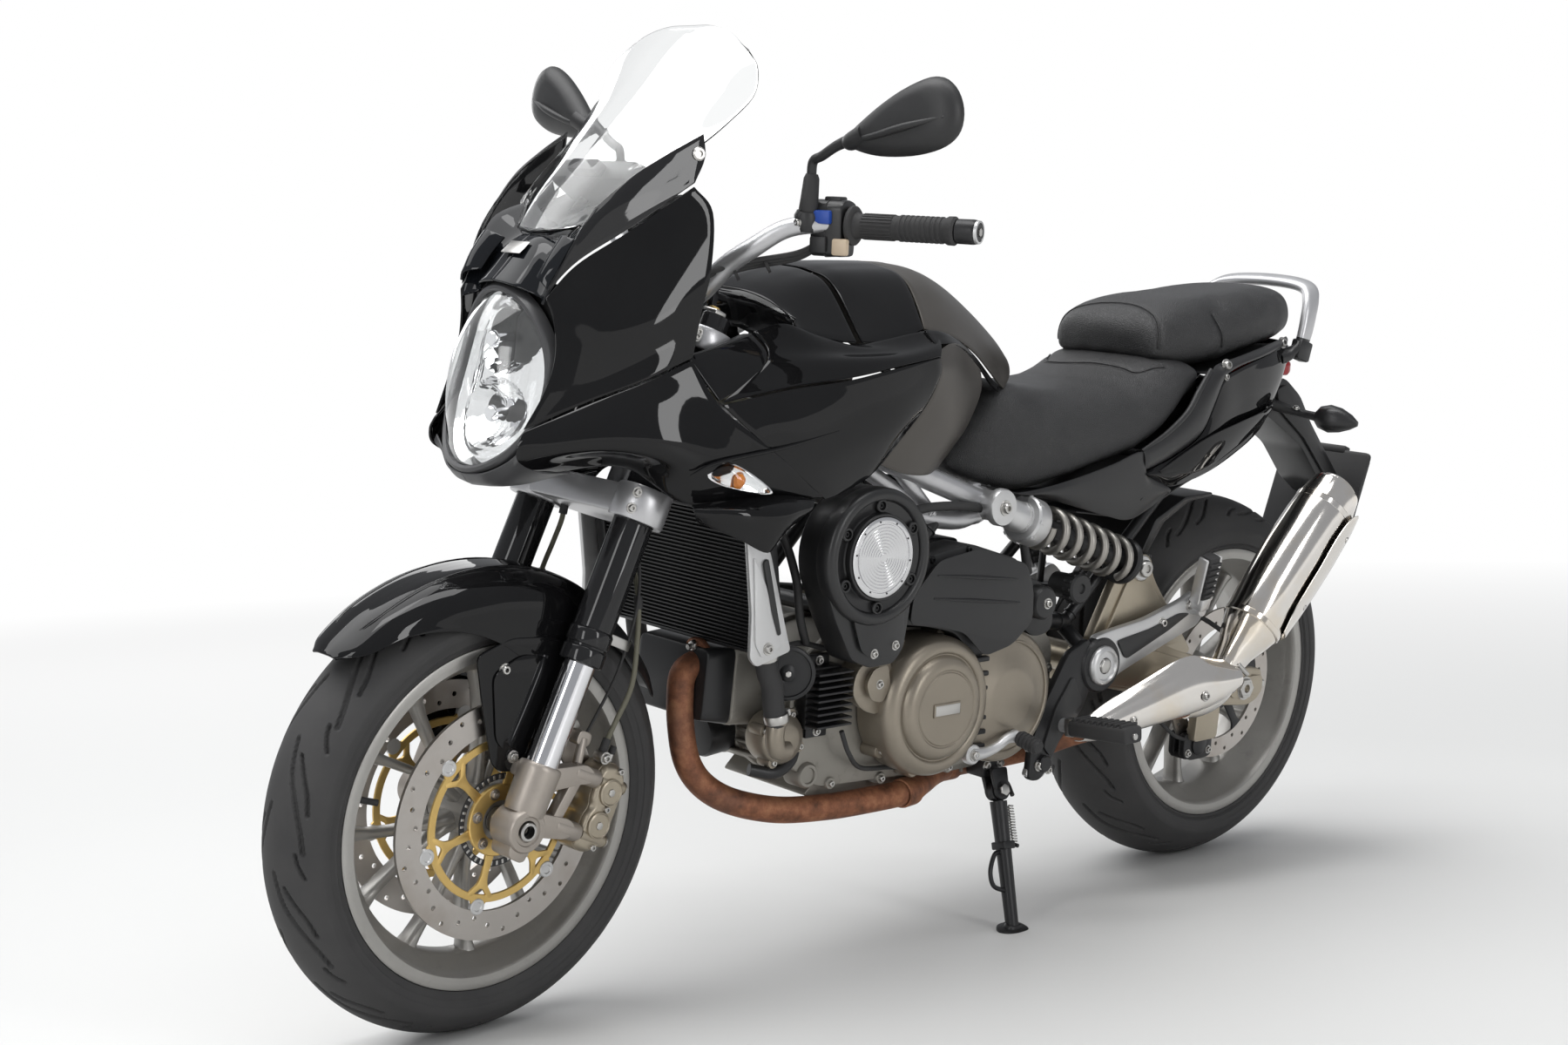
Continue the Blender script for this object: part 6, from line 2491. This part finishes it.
def make_mirrors():
    """Faceted teardrop mirrors on bent stems."""
    mirrors = Piece("mirrors_visual", "steering", TURNED, ("mirrors",))
    for side in (1, -1):
        base = Vector((1092, side * 192, 1096))
        mirrors.lathe([(0, 0), (12, 0), (13, 4), (12, 18), (10.5, 44), (8, 50), (0, 50)], "rubber",
                      frame_at(base, (0, side * 0.06, 1)), 28)
        mirrors.tube([base + Vector((0, side * 2, 44)), base + Vector((2, side * 6, 66)),
                      (1094, side * 214, 1170), (1092, side * 238, 1184), (1088, side * 266, 1195)],
                     [6.5, 6.5, 6.5, 7, 9], "matte black", 16, 8)
        origin = Vector((1076, side * 342, 1222))
        facing = Vector((-1.0, side * -0.14, -0.06)).normalized()
        along = Vector((-22, side * 160, 66))
        along = (along - facing * along.dot(facing)).normalized()
        at = frame_at(origin, -facing, along)
        flip = 1 if side > 0 else -1
        outline = [(-92, 3), (-72, 20), (-40, 36), (6, 50), (46, 53), (72, 42), (84, 16), (80, -14),
                   (60, -34), (20, -37),
                   (-24, -30), (-66, -18), (-90, -8)]
        outline = smooth_outline([(x, y * -flip) for x, y in outline], 4)
        shells = []
        for depth, grow in ((-3, 0.985), (0, 1.0), (6, 0.99), (14, 0.9), (20, 0.72), (23, 0.48)):
            shells.append([(8 + (x - 8) * grow, y * grow, depth) for x, y in outline])
        mirrors.loft(shells, "matte black", at)
        mirrors.loft([[(8 + (x - 8) * 0.93, y * 0.92, depth) for x, y in outline] for depth in (-4.2, -2.4)],
                     "chrome", at)
        ridge = [at @ Vector(p) for p in ((-88, 0, 10), (-40, -10 * flip, 20), (10, -16 * flip, 25),
                                          (64, -22 * flip, 17))]
        mirrors.tube(ridge, [5, 5, 5, 2], "matte black", 10, 6)
        neck = at @ Vector((-84, 0, 6))
        mirrors.tube([(1088, side * 256, 1190), neck, at @ Vector((-58, 0, 10))], [9, 12, 14], "matte black",
                     18, 5)
    return mirrors.done()


def make_instruments():
    """Instrument housing with a blank display, a round dial and its bezel, behind the windscreen."""
    dash = Piece("instruments_visual", "chassis", FIXED, ("instrument_panel",))
    at = frame_at((1250, 0, 1108), (-sin(radians(35)), 0, cos(radians(35))), (0, 1, 0))
    shell = rounded([(-94, -50), (94, -50), (92, 34), (60, 52), (-60, 52), (-92, 34)], 18, 4)
    dash.prism(shell, -16, 14, "satin black", at, 5.0)
    dash.prism([(p[0] * 0.9, p[1] * 0.86) for p in shell], 12, 17, "matte black", at, 1.5)
    dash.lathe([(32, 16), (38, 16), (39, 18), (39, 20), (36, 22), (33, 22)], "bare steel",
               at @ Matrix.Translation(
        (-36, 0, 0)), 48, ring=True)
    dash.prism(circle(32.5, 48), 16, 19, "bezel grey", at @ Matrix.Translation((-36, 0, 0)), 0.4)
    dash.block((-2, -1.2, 18), (26, 1.2, 20), "red", at @ Matrix.Translation((-36, 0, 0)) @ Matrix.Rotation(
        radians(205), 4, "Z"), 0.3)
    for k in range(13):
        turn = at @ Matrix.Translation((-36, 0, 0)) @ Matrix.Rotation(radians(-30 + 20 * k), 4, "Z")
        dash.block((25, -0.6, 18.6), (31, 0.6, 19.6), "silver paint", turn, 0.2)
    dash.prism(rounded([(12, -30), (78, -30), (78, 26), (12, 26)], 8, 3), 16, 18.4, "lens", at, 0.6)
    dash.block((-30, -66, -14), (30, -46, 4), "matte black", at, 4.0)
    for x in (-62, 62):
        dash.rod(at @ Vector((x, 0, -16)), at @ Vector((x * 0.8, -10, -46)), 8, "matte black")
    return dash.done()
# ---------------------------------------------------------------- repeats, by geometry nodes
class Growth:
    """Geometry node tree with named inputs; it is run once and only its plain mesh is kept."""

    def __init__(self, name, inputs):
        self.tree = bpy.data.node_groups.new(name, "GeometryNodeTree")
        self.tree.is_modifier = True
        self.tree.interface.new_socket("Geometry", in_out="INPUT", socket_type="NodeSocketGeometry")
        self.inputs = inputs
        self.identifiers = {}
        for label, value in inputs.items():
            kind = "NodeSocketInt" if isinstance(value, int) else "NodeSocketFloat"
            socket = self.tree.interface.new_socket(label, in_out="INPUT", socket_type=kind)
            self.identifiers[label] = socket.identifier
        self.tree.interface.new_socket("Geometry", in_out="OUTPUT", socket_type="NodeSocketGeometry")
        self.source = self.tree.nodes.new("NodeGroupInput")
        self.sink = self.tree.nodes.new("NodeGroupOutput")

    def size(self, label):
        return self.source.outputs[label]

    def node(self, kind, inputs=None, settings=None, output=0):
        """A node; its inputs take sockets, numbers or vectors."""
        made = self.tree.nodes.new(kind)
        for key, value in (settings or {}).items():
            setattr(made, key, value)
        for key, value in (inputs or {}).items():
            if isinstance(value, bpy.types.NodeSocket):
                self.tree.links.new(value, made.inputs[key])
            else:
                made.inputs[key].default_value = value
        return made if output is None else made.outputs[output]

    def maths(self, operation, first, second=0.0):
        return self.node("ShaderNodeMath", {0: first, 1: second}, {"operation": operation})

    def vector(self, x, y, z):
        return self.node("ShaderNodeCombineXYZ", {0: x, 1: y, 2: z})

    def cube(self, x, y, z):
        return self.node("GeometryNodeMeshCube", {"Size": self.vector(x, y, z)})

    def disc(self, radius, depth, sides=18):
        return self.node("GeometryNodeMeshCylinder", {"Vertices": sides, "Radius": radius, "Depth": depth})

    def moved(self, geometry, shift, turn=(0.0, 0.0, 0.0)):
        return self.node("GeometryNodeTransform",
                         {"Geometry": geometry, "Translation": shift, "Rotation": turn})

    def joined(self, parts):
        made = self.node("GeometryNodeJoinGeometry", output=None)
        for part in parts:
            self.tree.links.new(part, made.inputs[0])
        return made.outputs[0]

    def along(self, spacing, axis):
        """Points every so far along the path, with a rotation that turns one axis along it."""
        curve = self.node("GeometryNodeMeshToCurve", {"Mesh": self.source.outputs["Geometry"]})
        points = self.node("GeometryNodeCurveToPoints", {"Curve": curve, "Length": spacing},
                           {"mode": "LENGTH"}, None)
        turn = self.node("FunctionNodeAlignRotationToVector", {"Vector": points.outputs["Tangent"]},
                         {"axis": axis})
        return points.outputs["Points"], turn

    def grow(self, name, path, closed, finish, body, place, geometry):
        """Ends the tree, runs it on the path and returns the finished piece."""
        real = self.node("GeometryNodeRealizeInstances", {"Geometry": geometry})
        dressed = self.node("GeometryNodeSetMaterial", {"Geometry": real, "Material": materials()[finish]})
        self.tree.links.new(dressed, self.sink.inputs[0])
        data = bpy.data.meshes.new(name + "_path")
        count = len(path)
        edges = [(k, (k + 1) % count) for k in range(count if closed else count - 1)]
        data.from_pydata([Vector(p)[:] for p in path], edges, [])
        piece = bpy.data.objects.new(name, data)
        bpy.context.scene.collection.objects.link(piece)
        growth = piece.modifiers.new("growth", "NODES")
        growth.node_group = self.tree
        for label, value in self.inputs.items():
            growth[self.identifiers[label]] = value
        graph = bpy.context.evaluated_depsgraph_get()
        made = bpy.data.meshes.new_from_object(piece.evaluated_get(graph))
        piece.modifiers.clear()
        piece.data = made
        bpy.data.meshes.remove(data)
        made.transform(place)
        made.name = name
        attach(piece, body)
        return piece


def make_radiator_fins():
    """Rows of thin horizontal fins across the radiator's face."""
    sizes = bpy.context.scene.tourer_sizes
    growth = Growth("radiator_fins", {"Rows": sizes.fin_rows, "Spacing": sizes.fin_spacing, "Width": 320.0,
                                      "Depth": 7.0, "Thickness": sizes.fin_thickness})
    reach = growth.maths("MULTIPLY", growth.maths("SUBTRACT", growth.size("Rows"), 1.0),
                         growth.size("Spacing"))
    start = growth.vector(growth.maths("MULTIPLY", reach, -0.5), 0.0, 11.0)
    line = growth.node("GeometryNodeMeshLine", {"Count": growth.size("Rows"), "Start Location": start,
                                                "Offset": growth.vector(growth.size("Spacing"), 0.0, 0.0)})
    fin = growth.cube(growth.size("Thickness"), growth.size("Width"), growth.size("Depth"))
    fins = growth.node("GeometryNodeInstanceOnPoints", {"Points": line, "Instance": fin})
    tilt = radians(8)
    at = frame_at((1112, 0, 594), (cos(tilt), 0, -sin(tilt)), (0, 0, 1))
    return growth.grow("radiator_fins", [(0, 0, 0), (1, 0, 0)], False, "black metal", "chassis", FIXED @ at,
                       fins)


def chain_path(steps=40):
    """Chain's closed centre line over both sprockets."""
    front, rear = Vector((512.0, 408.0)), Vector((0.0, REAR_RADIUS))
    small, large = 40.7, 91.1
    span = front - rear
    tilt = atan2(span.y, span.x)
    swing = atan2(large - small, sqrt(span.length_squared - (large - small) ** 2))
    path = []
    for centre, radius, start, stop in ((rear, large, tilt + pi / 2 - swing, tilt + 3 * pi / 2 + swing),
                                        (front, small, tilt - pi / 2 + swing, tilt + pi / 2 - swing)):
        for k in range(steps + 1):
            angle = start + (stop - start) * k / steps
            path.append((centre.x + radius * cos(angle), -103.0, centre.y + radius * sin(angle)))
    return path


def make_chain_links():
    """Drive chain: inner and outer links in turn, with their rollers and pins."""
    path = [Vector(p) for p in chain_path()]
    length = sum((b - a).length for a, b in zip(path, path[1:] + path[:1]))
    links = 2 * round(length / bpy.context.scene.tourer_sizes.chain_pitch / 2)
    growth = Growth("chain_links", {"Pitch": length / links, "Plate height": 14.6, "Plate thickness": 1.7,
                                    "Inner reach": 6.4, "Outer reach": 8.6, "Pin length": 22.0})
    points, turn = growth.along(growth.size("Pitch"), "X")
    flat = (pi / 2, 0.0, 0.0)
    half = growth.maths("MULTIPLY", growth.size("Pitch"), 0.5)
    back = growth.maths("MULTIPLY", growth.size("Pitch"), -0.5)
    round_end = growth.disc(growth.maths("MULTIPLY", growth.size("Plate height"), 0.5),
                            growth.size("Plate thickness"))
    bar = growth.cube(growth.size("Pitch"), growth.size("Plate thickness"),
                      growth.maths("MULTIPLY", growth.size("Plate height"), 0.72))
    pin = growth.disc(2.6, growth.size("Pin length"), 12)
    links_made = []
    index = growth.node("GeometryNodeInputIndex")
    odd = growth.maths("MODULO", index, 2.0)
    for label, chosen in (("Inner reach", odd), ("Outer reach", growth.maths("SUBTRACT", 1.0, odd))):
        parts = []
        for way in (1.0, -1.0):
            out = growth.maths("MULTIPLY", growth.size(label), way)
            parts.append(growth.moved(round_end, growth.vector(half, out, 0.0), flat))
            parts.append(growth.moved(round_end, growth.vector(back, out, 0.0), flat))
            parts.append(growth.moved(bar, growth.vector(0.0, out, 0.0)))
        if label == "Outer reach":
            parts += [growth.moved(pin, growth.vector(end, 0.0, 0.0), flat) for end in (half, back)]
        links_made.append(growth.node("GeometryNodeInstanceOnPoints",
                                      {"Points": points, "Selection": chosen,
                                       "Instance": growth.joined(parts),
                                       "Rotation": turn}))
    return growth.grow("chain_links", path, True, "chain steel", "chassis", FIXED, growth.joined(links_made))


def make_stitches(name, body, lines):
    """Short thread stitches along the sewn edges of a pad."""
    sizes = bpy.context.scene.tourer_sizes
    made = []
    for number, line in enumerate(lines):
        growth = Growth(name, {"Spacing": sizes.stitch_spacing, "Stitch length": 2.8, "Thread": 0.45})
        points, turn = growth.along(growth.size("Spacing"), "Z")
        thread = growth.disc(growth.size("Thread"), growth.size("Stitch length"), 6)
        stitches = growth.node("GeometryNodeInstanceOnPoints",
                               {"Points": points, "Instance": thread, "Rotation": turn})
        made.append(growth.grow(name + "_" + str(number), line, False, "rubber", body, FIXED, stitches))
    return made


def make_sprocket_screws():
    """Ring of small screws round the rear sprocket's carrier."""
    growth = Growth("sprocket_screws",
                    {"Screws": 6, "Ring radius": 46.0, "Head radius": 6.5, "Head height": 6.0})
    ring = growth.node("GeometryNodeMeshCircle", {"Vertices": growth.size("Screws"),
                                                  "Radius": growth.size("Ring radius")})
    head = growth.disc(growth.size("Head radius"), growth.size("Head height"), 6)
    screws = growth.node("GeometryNodeInstanceOnPoints", {"Points": ring, "Instance": head})
    at = frame_at((0, -108.5, 0), (0, -1, 0))
    return growth.grow("sprocket_screws", [(0, 0, 0), (1, 0, 0)], False, "bare steel", "rear_wheel",
                       REAR_WHEEL @ at,
                       screws)
# ---------------------------------------------------------------- stage
def floor_finish(name, colour, roughness, near, far):
    """Pale floor that fades to plain white away from the motorcycle, for the camera, mirrors and glass."""
    made = Finish(name)
    path = made.tree.nodes.new("ShaderNodeLightPath")
    seen = made.clamp(Value(made, path.outputs["Is Camera Ray"]) + Value(made, path.outputs["Is Glossy Ray"])
                      + Value(made, path.outputs["Is Transmission Ray"]))
    shader = made.node("ShaderNodeBsdfPrincipled", None, {"Base Color": colour, "Roughness": roughness,
                                                         "Emission Color": (1, 1, 1),
                                                          "Emission Strength": 0.0})
    light = made.node("ShaderNodeEmission", None, {"Color": (1, 1, 1), "Strength": 1.0})
    reach = made.node("ShaderNodeVectorMath", {"operation": "LENGTH"}, {0: made.place()}, 1)
    both = made.node("ShaderNodeMixShader", None,
                     {0: seen * made.steps(reach, near, far), 1: shader, 2: light})
    made.tree.links.new(both.socket, made.output.inputs[0])
    return made.material


def make_camera():
    """Camera at the studio viewpoint, low in front of the left side."""
    place = Vector((3059.7, 2416.4, 1126.8))
    way = Vector((-0.6535, -0.7422, -0.1486)).normalized()
    camera_roll = radians(3.54)
    up = Matrix.Rotation(camera_roll, 3, "X") @ Vector((0, 0, 1))
    side = way.cross(up).normalized()
    up = side.cross(way)
    turn = Matrix((side, up, -way)).transposed().to_4x4()
    camera = bpy.data.objects.new("camera", bpy.data.cameras.new("camera"))
    bpy.context.scene.collection.objects.link(camera)
    whole = PARKED @ Matrix.Translation(place) @ turn
    camera.matrix_world = Matrix.Translation(whole.translation * 0.001) @ whole.to_3x3().to_4x4()
    camera.data.sensor_width = 36.0
    camera.data.lens = 51.704
    camera.data.clip_end = 100.0
    bpy.context.scene.camera = camera


def area_lamp(name, place, aim, size, power):
    lamp = bpy.data.lights.new(name, "AREA")
    lamp.shape = "RECTANGLE"
    lamp.size, lamp.size_y = size
    lamp.energy = power
    body = bpy.data.objects.new(name, lamp)
    bpy.context.scene.collection.objects.link(body)
    body.location = place
    body.rotation_euler = (Vector(aim) - Vector(place)).to_track_quat("-Z", "Y").to_euler()
    return body


def make_stage():
    scene = bpy.context.scene
    scene.view_settings.view_transform = "Standard"
    world = bpy.data.worlds.new("studio")
    scene.world = world
    world.use_nodes = True
    tree = world.node_tree
    tree.nodes.clear()
    output = tree.nodes.new("ShaderNodeOutputWorld")
    path = tree.nodes.new("ShaderNodeLightPath")
    seen = tree.nodes.new("ShaderNodeMath")
    seen.operation = "MAXIMUM"
    tree.links.new(path.outputs["Is Camera Ray"], seen.inputs[0])
    tree.links.new(path.outputs["Is Transmission Ray"], seen.inputs[1])
    soft = tree.nodes.new("ShaderNodeBackground")
    soft.inputs[0].default_value = (0.94, 0.96, 1.0, 1.0)
    soft.inputs[1].default_value = 0.42
    white = tree.nodes.new("ShaderNodeBackground")
    white.inputs[0].default_value = (1.0, 1.0, 1.0, 1.0)
    white.inputs[1].default_value = 1.0
    mixed = tree.nodes.new("ShaderNodeMixShader")
    tree.links.new(seen.outputs[0], mixed.inputs[0])
    tree.links.new(soft.outputs[0], mixed.inputs[1])
    tree.links.new(white.outputs[0], mixed.inputs[2])
    tree.links.new(mixed.outputs[0], output.inputs[0])
    floor = bpy.data.meshes.new("studio_floor")
    reach = 60.0
    floor.from_pydata([(-reach, -reach, 0), (reach, -reach, 0), (reach, reach, 0), (-reach, reach, 0)], [],
                      [(0, 1, 2, 3)])
    floor.materials.append(floor_finish("studio_floor_paint", tuple(bpy.context.scene.tourer_look.floor), 0.5,
                                        2.0, 6.5))
    ground = bpy.data.objects.new("studio_floor", floor)
    scene.collection.objects.link(ground)
    sun = bpy.data.lights.new("soft_sun", "SUN")
    sun.energy = 2.3
    sun.angle = radians(60)
    sky = bpy.data.objects.new("soft_sun", sun)
    scene.collection.objects.link(sky)
    sky.rotation_euler = (radians(18), radians(14), 0)
    area_lamp("soft_box_over", (0.6, 0.8, 4.2), (0, 0, 0.6), (3.6, 1.0), 60)
    area_lamp("soft_box_left", (0.2, 4.8, 1.9), (0, 0, 0.6), (0.8, 2.6), 50)
    area_lamp("soft_box_front", (4.8, 1.6, 2.2), (0, 0, 0.6), (0.9, 2.6), 40)
    area_lamp("soft_box_right", (-1.0, -4.6, 2.4), (0, 0, 0.6), (2.4, 2.0), 40)


# ---------------------------------------------------------------- sizes and colours a user may change
def colour(name, description, default):
    return bpy.props.FloatVectorProperty(name=name, description=description, default=default, subtype="COLOR",
                                         size=3,
                                         min=0.0, max=1.0)


class TourerLook(bpy.types.PropertyGroup):
    """Colours of the motorcycle and its floor."""
    bodywork: colour("Bodywork", "Gloss paint of the fairing, tank, fender and tail", (0.0035, 0.0035, 0.004))
    tank_rear: colour("Tank rear", "Satin paint of the panels behind the tank", (0.085, 0.078, 0.07))
    engine_covers: colour("Engine covers", "Paint of the transmission covers", (0.30, 0.265, 0.215))
    swingarm: colour("Swingarm", "Anodised colour of the swingarm and calipers", (0.42, 0.37, 0.29))
    frame: colour("Frame", "Paint of the frame tubes and fork clamps", (0.55, 0.55, 0.56))
    rims: colour("Rims", "Paint of the cast wheels", (0.40, 0.39, 0.37))
    disc_carriers: colour("Disc carriers", "Anodised colour of the front disc carriers", (0.72, 0.50, 0.18))
    saddle: colour("Saddle", "Colour of the seat covers", (0.014, 0.014, 0.0145))
    floor: colour("Floor", "Colour of the studio floor", (0.62, 0.62, 0.61))


class TourerSizes(bpy.types.PropertyGroup):
    """Sizes of the details that repeat, and of the padding."""
    fin_rows: bpy.props.IntProperty(name="Fin rows", description="Rows of fins on the radiator", default=33,
                                    min=2)
    fin_spacing: bpy.props.FloatProperty(name="Fin spacing",
                                         description="Distance between radiator fins, in mm",
                                         default=5.6, min=1.0)
    fin_thickness: bpy.props.FloatProperty(name="Fin thickness",
                                           description="Thickness of a radiator fin, in mm",
                                           default=1.8, min=0.2)
    chain_pitch: bpy.props.FloatProperty(name="Chain pitch",
                                         description="Distance between the chain's pins, in mm",
                                         default=15.875, min=5.0)
    stitch_spacing: bpy.props.FloatProperty(name="Stitch spacing",
                                            description="Distance between stitches, in mm",
                                            default=4.5, min=1.0)
    seat_swell: bpy.props.FloatProperty(name="Seat swell",
                                        description="Furthest that the padding may swell, in mm",
                                        default=7.0, min=0.0)
    seat_pressure: bpy.props.FloatProperty(name="Seat pressure", description="Pressure inside the padding",
                                           default=4.0, min=0.0)


# ---------------------------------------------------------------- steps
class Step:
    """Runs its builders in order; an error in one of them stops the step."""
    builders = ()

    def execute(self, context):
        for build in self.builders:
            build()
        return {"FINISHED"}


def dress_cad():
    for name, finish in NODE_FINISHES.items():
        finish_node(name, finish)


class TOURER_OT_finishes(Step, bpy.types.Operator):
    """Gives every CAD piece its finish"""
    bl_idname = "tourer.finishes"
    bl_label = "Finishes"
    builders = (dress_cad,)


class TOURER_OT_wheels(Step, bpy.types.Operator):
    """Treaded tyres and cast rims"""
    bl_idname = "tourer.wheels"
    bl_label = "Wheels"
    builders = (make_front_tyre, make_rear_tyre, make_front_rim, make_rear_rim)


class TOURER_OT_brakes(Step, bpy.types.Operator):
    """Perforated discs, calipers and hoses"""
    bl_idname = "tourer.brakes"
    bl_label = "Brakes"
    builders = (make_front_brakes, make_rear_brake, make_calipers, make_hoses, make_rear_caliper)


class TOURER_OT_fork(Step, bpy.types.Operator):
    """Fork legs, axle, clamps and front fender"""
    bl_idname = "tourer.fork"
    bl_label = "Fork and fender"
    builders = (make_fork, make_axle, make_clamps, make_fender)


class TOURER_OT_engine(Step, bpy.types.Operator):
    """Engine block, transmission covers, intake drum, pump and horn"""
    bl_idname = "tourer.engine"
    bl_label = "Engine"
    builders = (make_engine, make_covers, make_drum, make_pump_and_horn)


class TOURER_OT_radiator(Step, bpy.types.Operator):
    """Radiator with its fins, side trims and hoses"""
    bl_idname = "tourer.radiator"
    bl_label = "Radiator"
    builders = (make_radiator, make_radiator_fins)


class TOURER_OT_exhaust(Step, bpy.types.Operator):
    """Header pipe, silencer and heat shields"""
    bl_idname = "tourer.exhaust"
    bl_label = "Exhaust"
    builders = (make_header, make_silencer)


class TOURER_OT_nose(Step, bpy.types.Operator):
    """Headlight, nose fairing, windscreen and instruments"""
    bl_idname = "tourer.nose"
    bl_label = "Nose"
    builders = (make_headlight, make_nose, make_windscreen, make_instruments)


class TOURER_OT_tank(Step, bpy.types.Operator):
    """Side panels, tank shell, deck and storage lid"""
    bl_idname = "tourer.tank"
    bl_label = "Tank and side panels"
    builders = (make_side_panels, make_tank, make_deck, make_lid)


class TOURER_OT_tail(Step, bpy.types.Operator):
    """Tail cowl, lamps, plate carrier and grab rail"""
    bl_idname = "tourer.tail"
    bl_label = "Tail"
    builders = (make_tail, make_rear_lights, make_plate_carrier, make_grab_rail)


class TOURER_OT_seats(Step, bpy.types.Operator):
    """Padded saddle and passenger's pad"""
    bl_idname = "tourer.seats"
    bl_label = "Seats"
    builders = (make_rider_seat, make_pillion_seat)


class TOURER_OT_frame(Step, bpy.types.Operator):
    """Tubular frame with its weld beads"""
    bl_idname = "tourer.frame"
    bl_label = "Frame"
    builders = (make_frame,)


class TOURER_OT_suspension(Step, bpy.types.Operator):
    """Swingarm, rear shock and rear axle"""
    bl_idname = "tourer.suspension"
    bl_label = "Rear suspension"
    builders = (make_shock, make_swingarm, make_rear_axle)


class TOURER_OT_chain(Step, bpy.types.Operator):
    """Chain links and sprocket screws"""
    bl_idname = "tourer.chain"
    bl_label = "Drive chain"
    builders = (make_chain_links, make_sprocket_screws)


class TOURER_OT_feet(Step, bpy.types.Operator):
    """Pegs with their hangers, gear lever and brake pedal"""
    bl_idname = "tourer.feet"
    bl_label = "Pegs and foot controls"
    builders = (make_pegs, make_foot_controls)


class TOURER_OT_stand(Step, bpy.types.Operator):
    """Side stand and its bracket"""
    bl_idname = "tourer.stand"
    bl_label = "Side stand"
    builders = (make_stand, make_stand_bracket)


class TOURER_OT_controls(Step, bpy.types.Operator):
    """Handlebar, switches, levers, cables and mirrors"""
    bl_idname = "tourer.controls"
    bl_label = "Handlebar and mirrors"
    builders = (make_handlebar, make_hand_controls, make_mirrors)


class TOURER_OT_stage(Step, bpy.types.Operator):
    """Camera, floor, white background and soft lamps"""
    bl_idname = "tourer.stage"
    bl_label = "Studio stage"
    builders = (make_camera, make_stage)


STEPS = (TOURER_OT_finishes, TOURER_OT_wheels, TOURER_OT_brakes, TOURER_OT_fork, TOURER_OT_engine,
         TOURER_OT_radiator, TOURER_OT_exhaust, TOURER_OT_nose, TOURER_OT_tank, TOURER_OT_tail,
         TOURER_OT_seats,
         TOURER_OT_frame, TOURER_OT_suspension, TOURER_OT_chain, TOURER_OT_feet, TOURER_OT_stand,
         TOURER_OT_controls, TOURER_OT_stage)


class TOURER_PT_panel(bpy.types.Panel):
    """Steps, colours and sizes in the 3D view's sidebar."""
    bl_idname = "TOURER_PT_panel"
    bl_label = "Sport touring motorcycle"
    bl_space_type = "VIEW_3D"
    bl_region_type = "UI"
    bl_category = "Motorcycle"

    def draw(self, context):
        for step in STEPS:
            self.layout.operator(step.bl_idname)
        for group in (context.scene.tourer_look, context.scene.tourer_sizes):
            for name in type(group).__annotations__:
                self.layout.prop(group, name)


CLASSES = (TourerLook, TourerSizes) + STEPS + (TOURER_PT_panel,)


def register():
    for each in CLASSES:
        bpy.utils.register_class(each)
    bpy.types.Scene.tourer_look = bpy.props.PointerProperty(type=TourerLook)
    bpy.types.Scene.tourer_sizes = bpy.props.PointerProperty(type=TourerSizes)


def unregister():
    del bpy.types.Scene.tourer_sizes
    del bpy.types.Scene.tourer_look
    for each in reversed(CLASSES):
        bpy.utils.unregister_class(each)


def main():
    """Registers the add-on, runs its steps in order and notes the sizes before and after."""
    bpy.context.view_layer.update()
    register()
    bpy.ops.tourer.finishes()
    bpy.ops.tourer.wheels()
    bpy.ops.tourer.brakes()
    bpy.ops.tourer.fork()
    bpy.ops.tourer.engine()
    bpy.ops.tourer.radiator()
    bpy.ops.tourer.exhaust()
    bpy.ops.tourer.nose()
    bpy.ops.tourer.tank()
    bpy.ops.tourer.tail()
    bpy.ops.tourer.seats()
    bpy.ops.tourer.frame()
    bpy.ops.tourer.suspension()
    bpy.ops.tourer.chain()
    bpy.ops.tourer.feet()
    bpy.ops.tourer.stand()
    bpy.ops.tourer.controls()
    bpy.ops.tourer.stage()


if __name__ == "__main__":
    main()
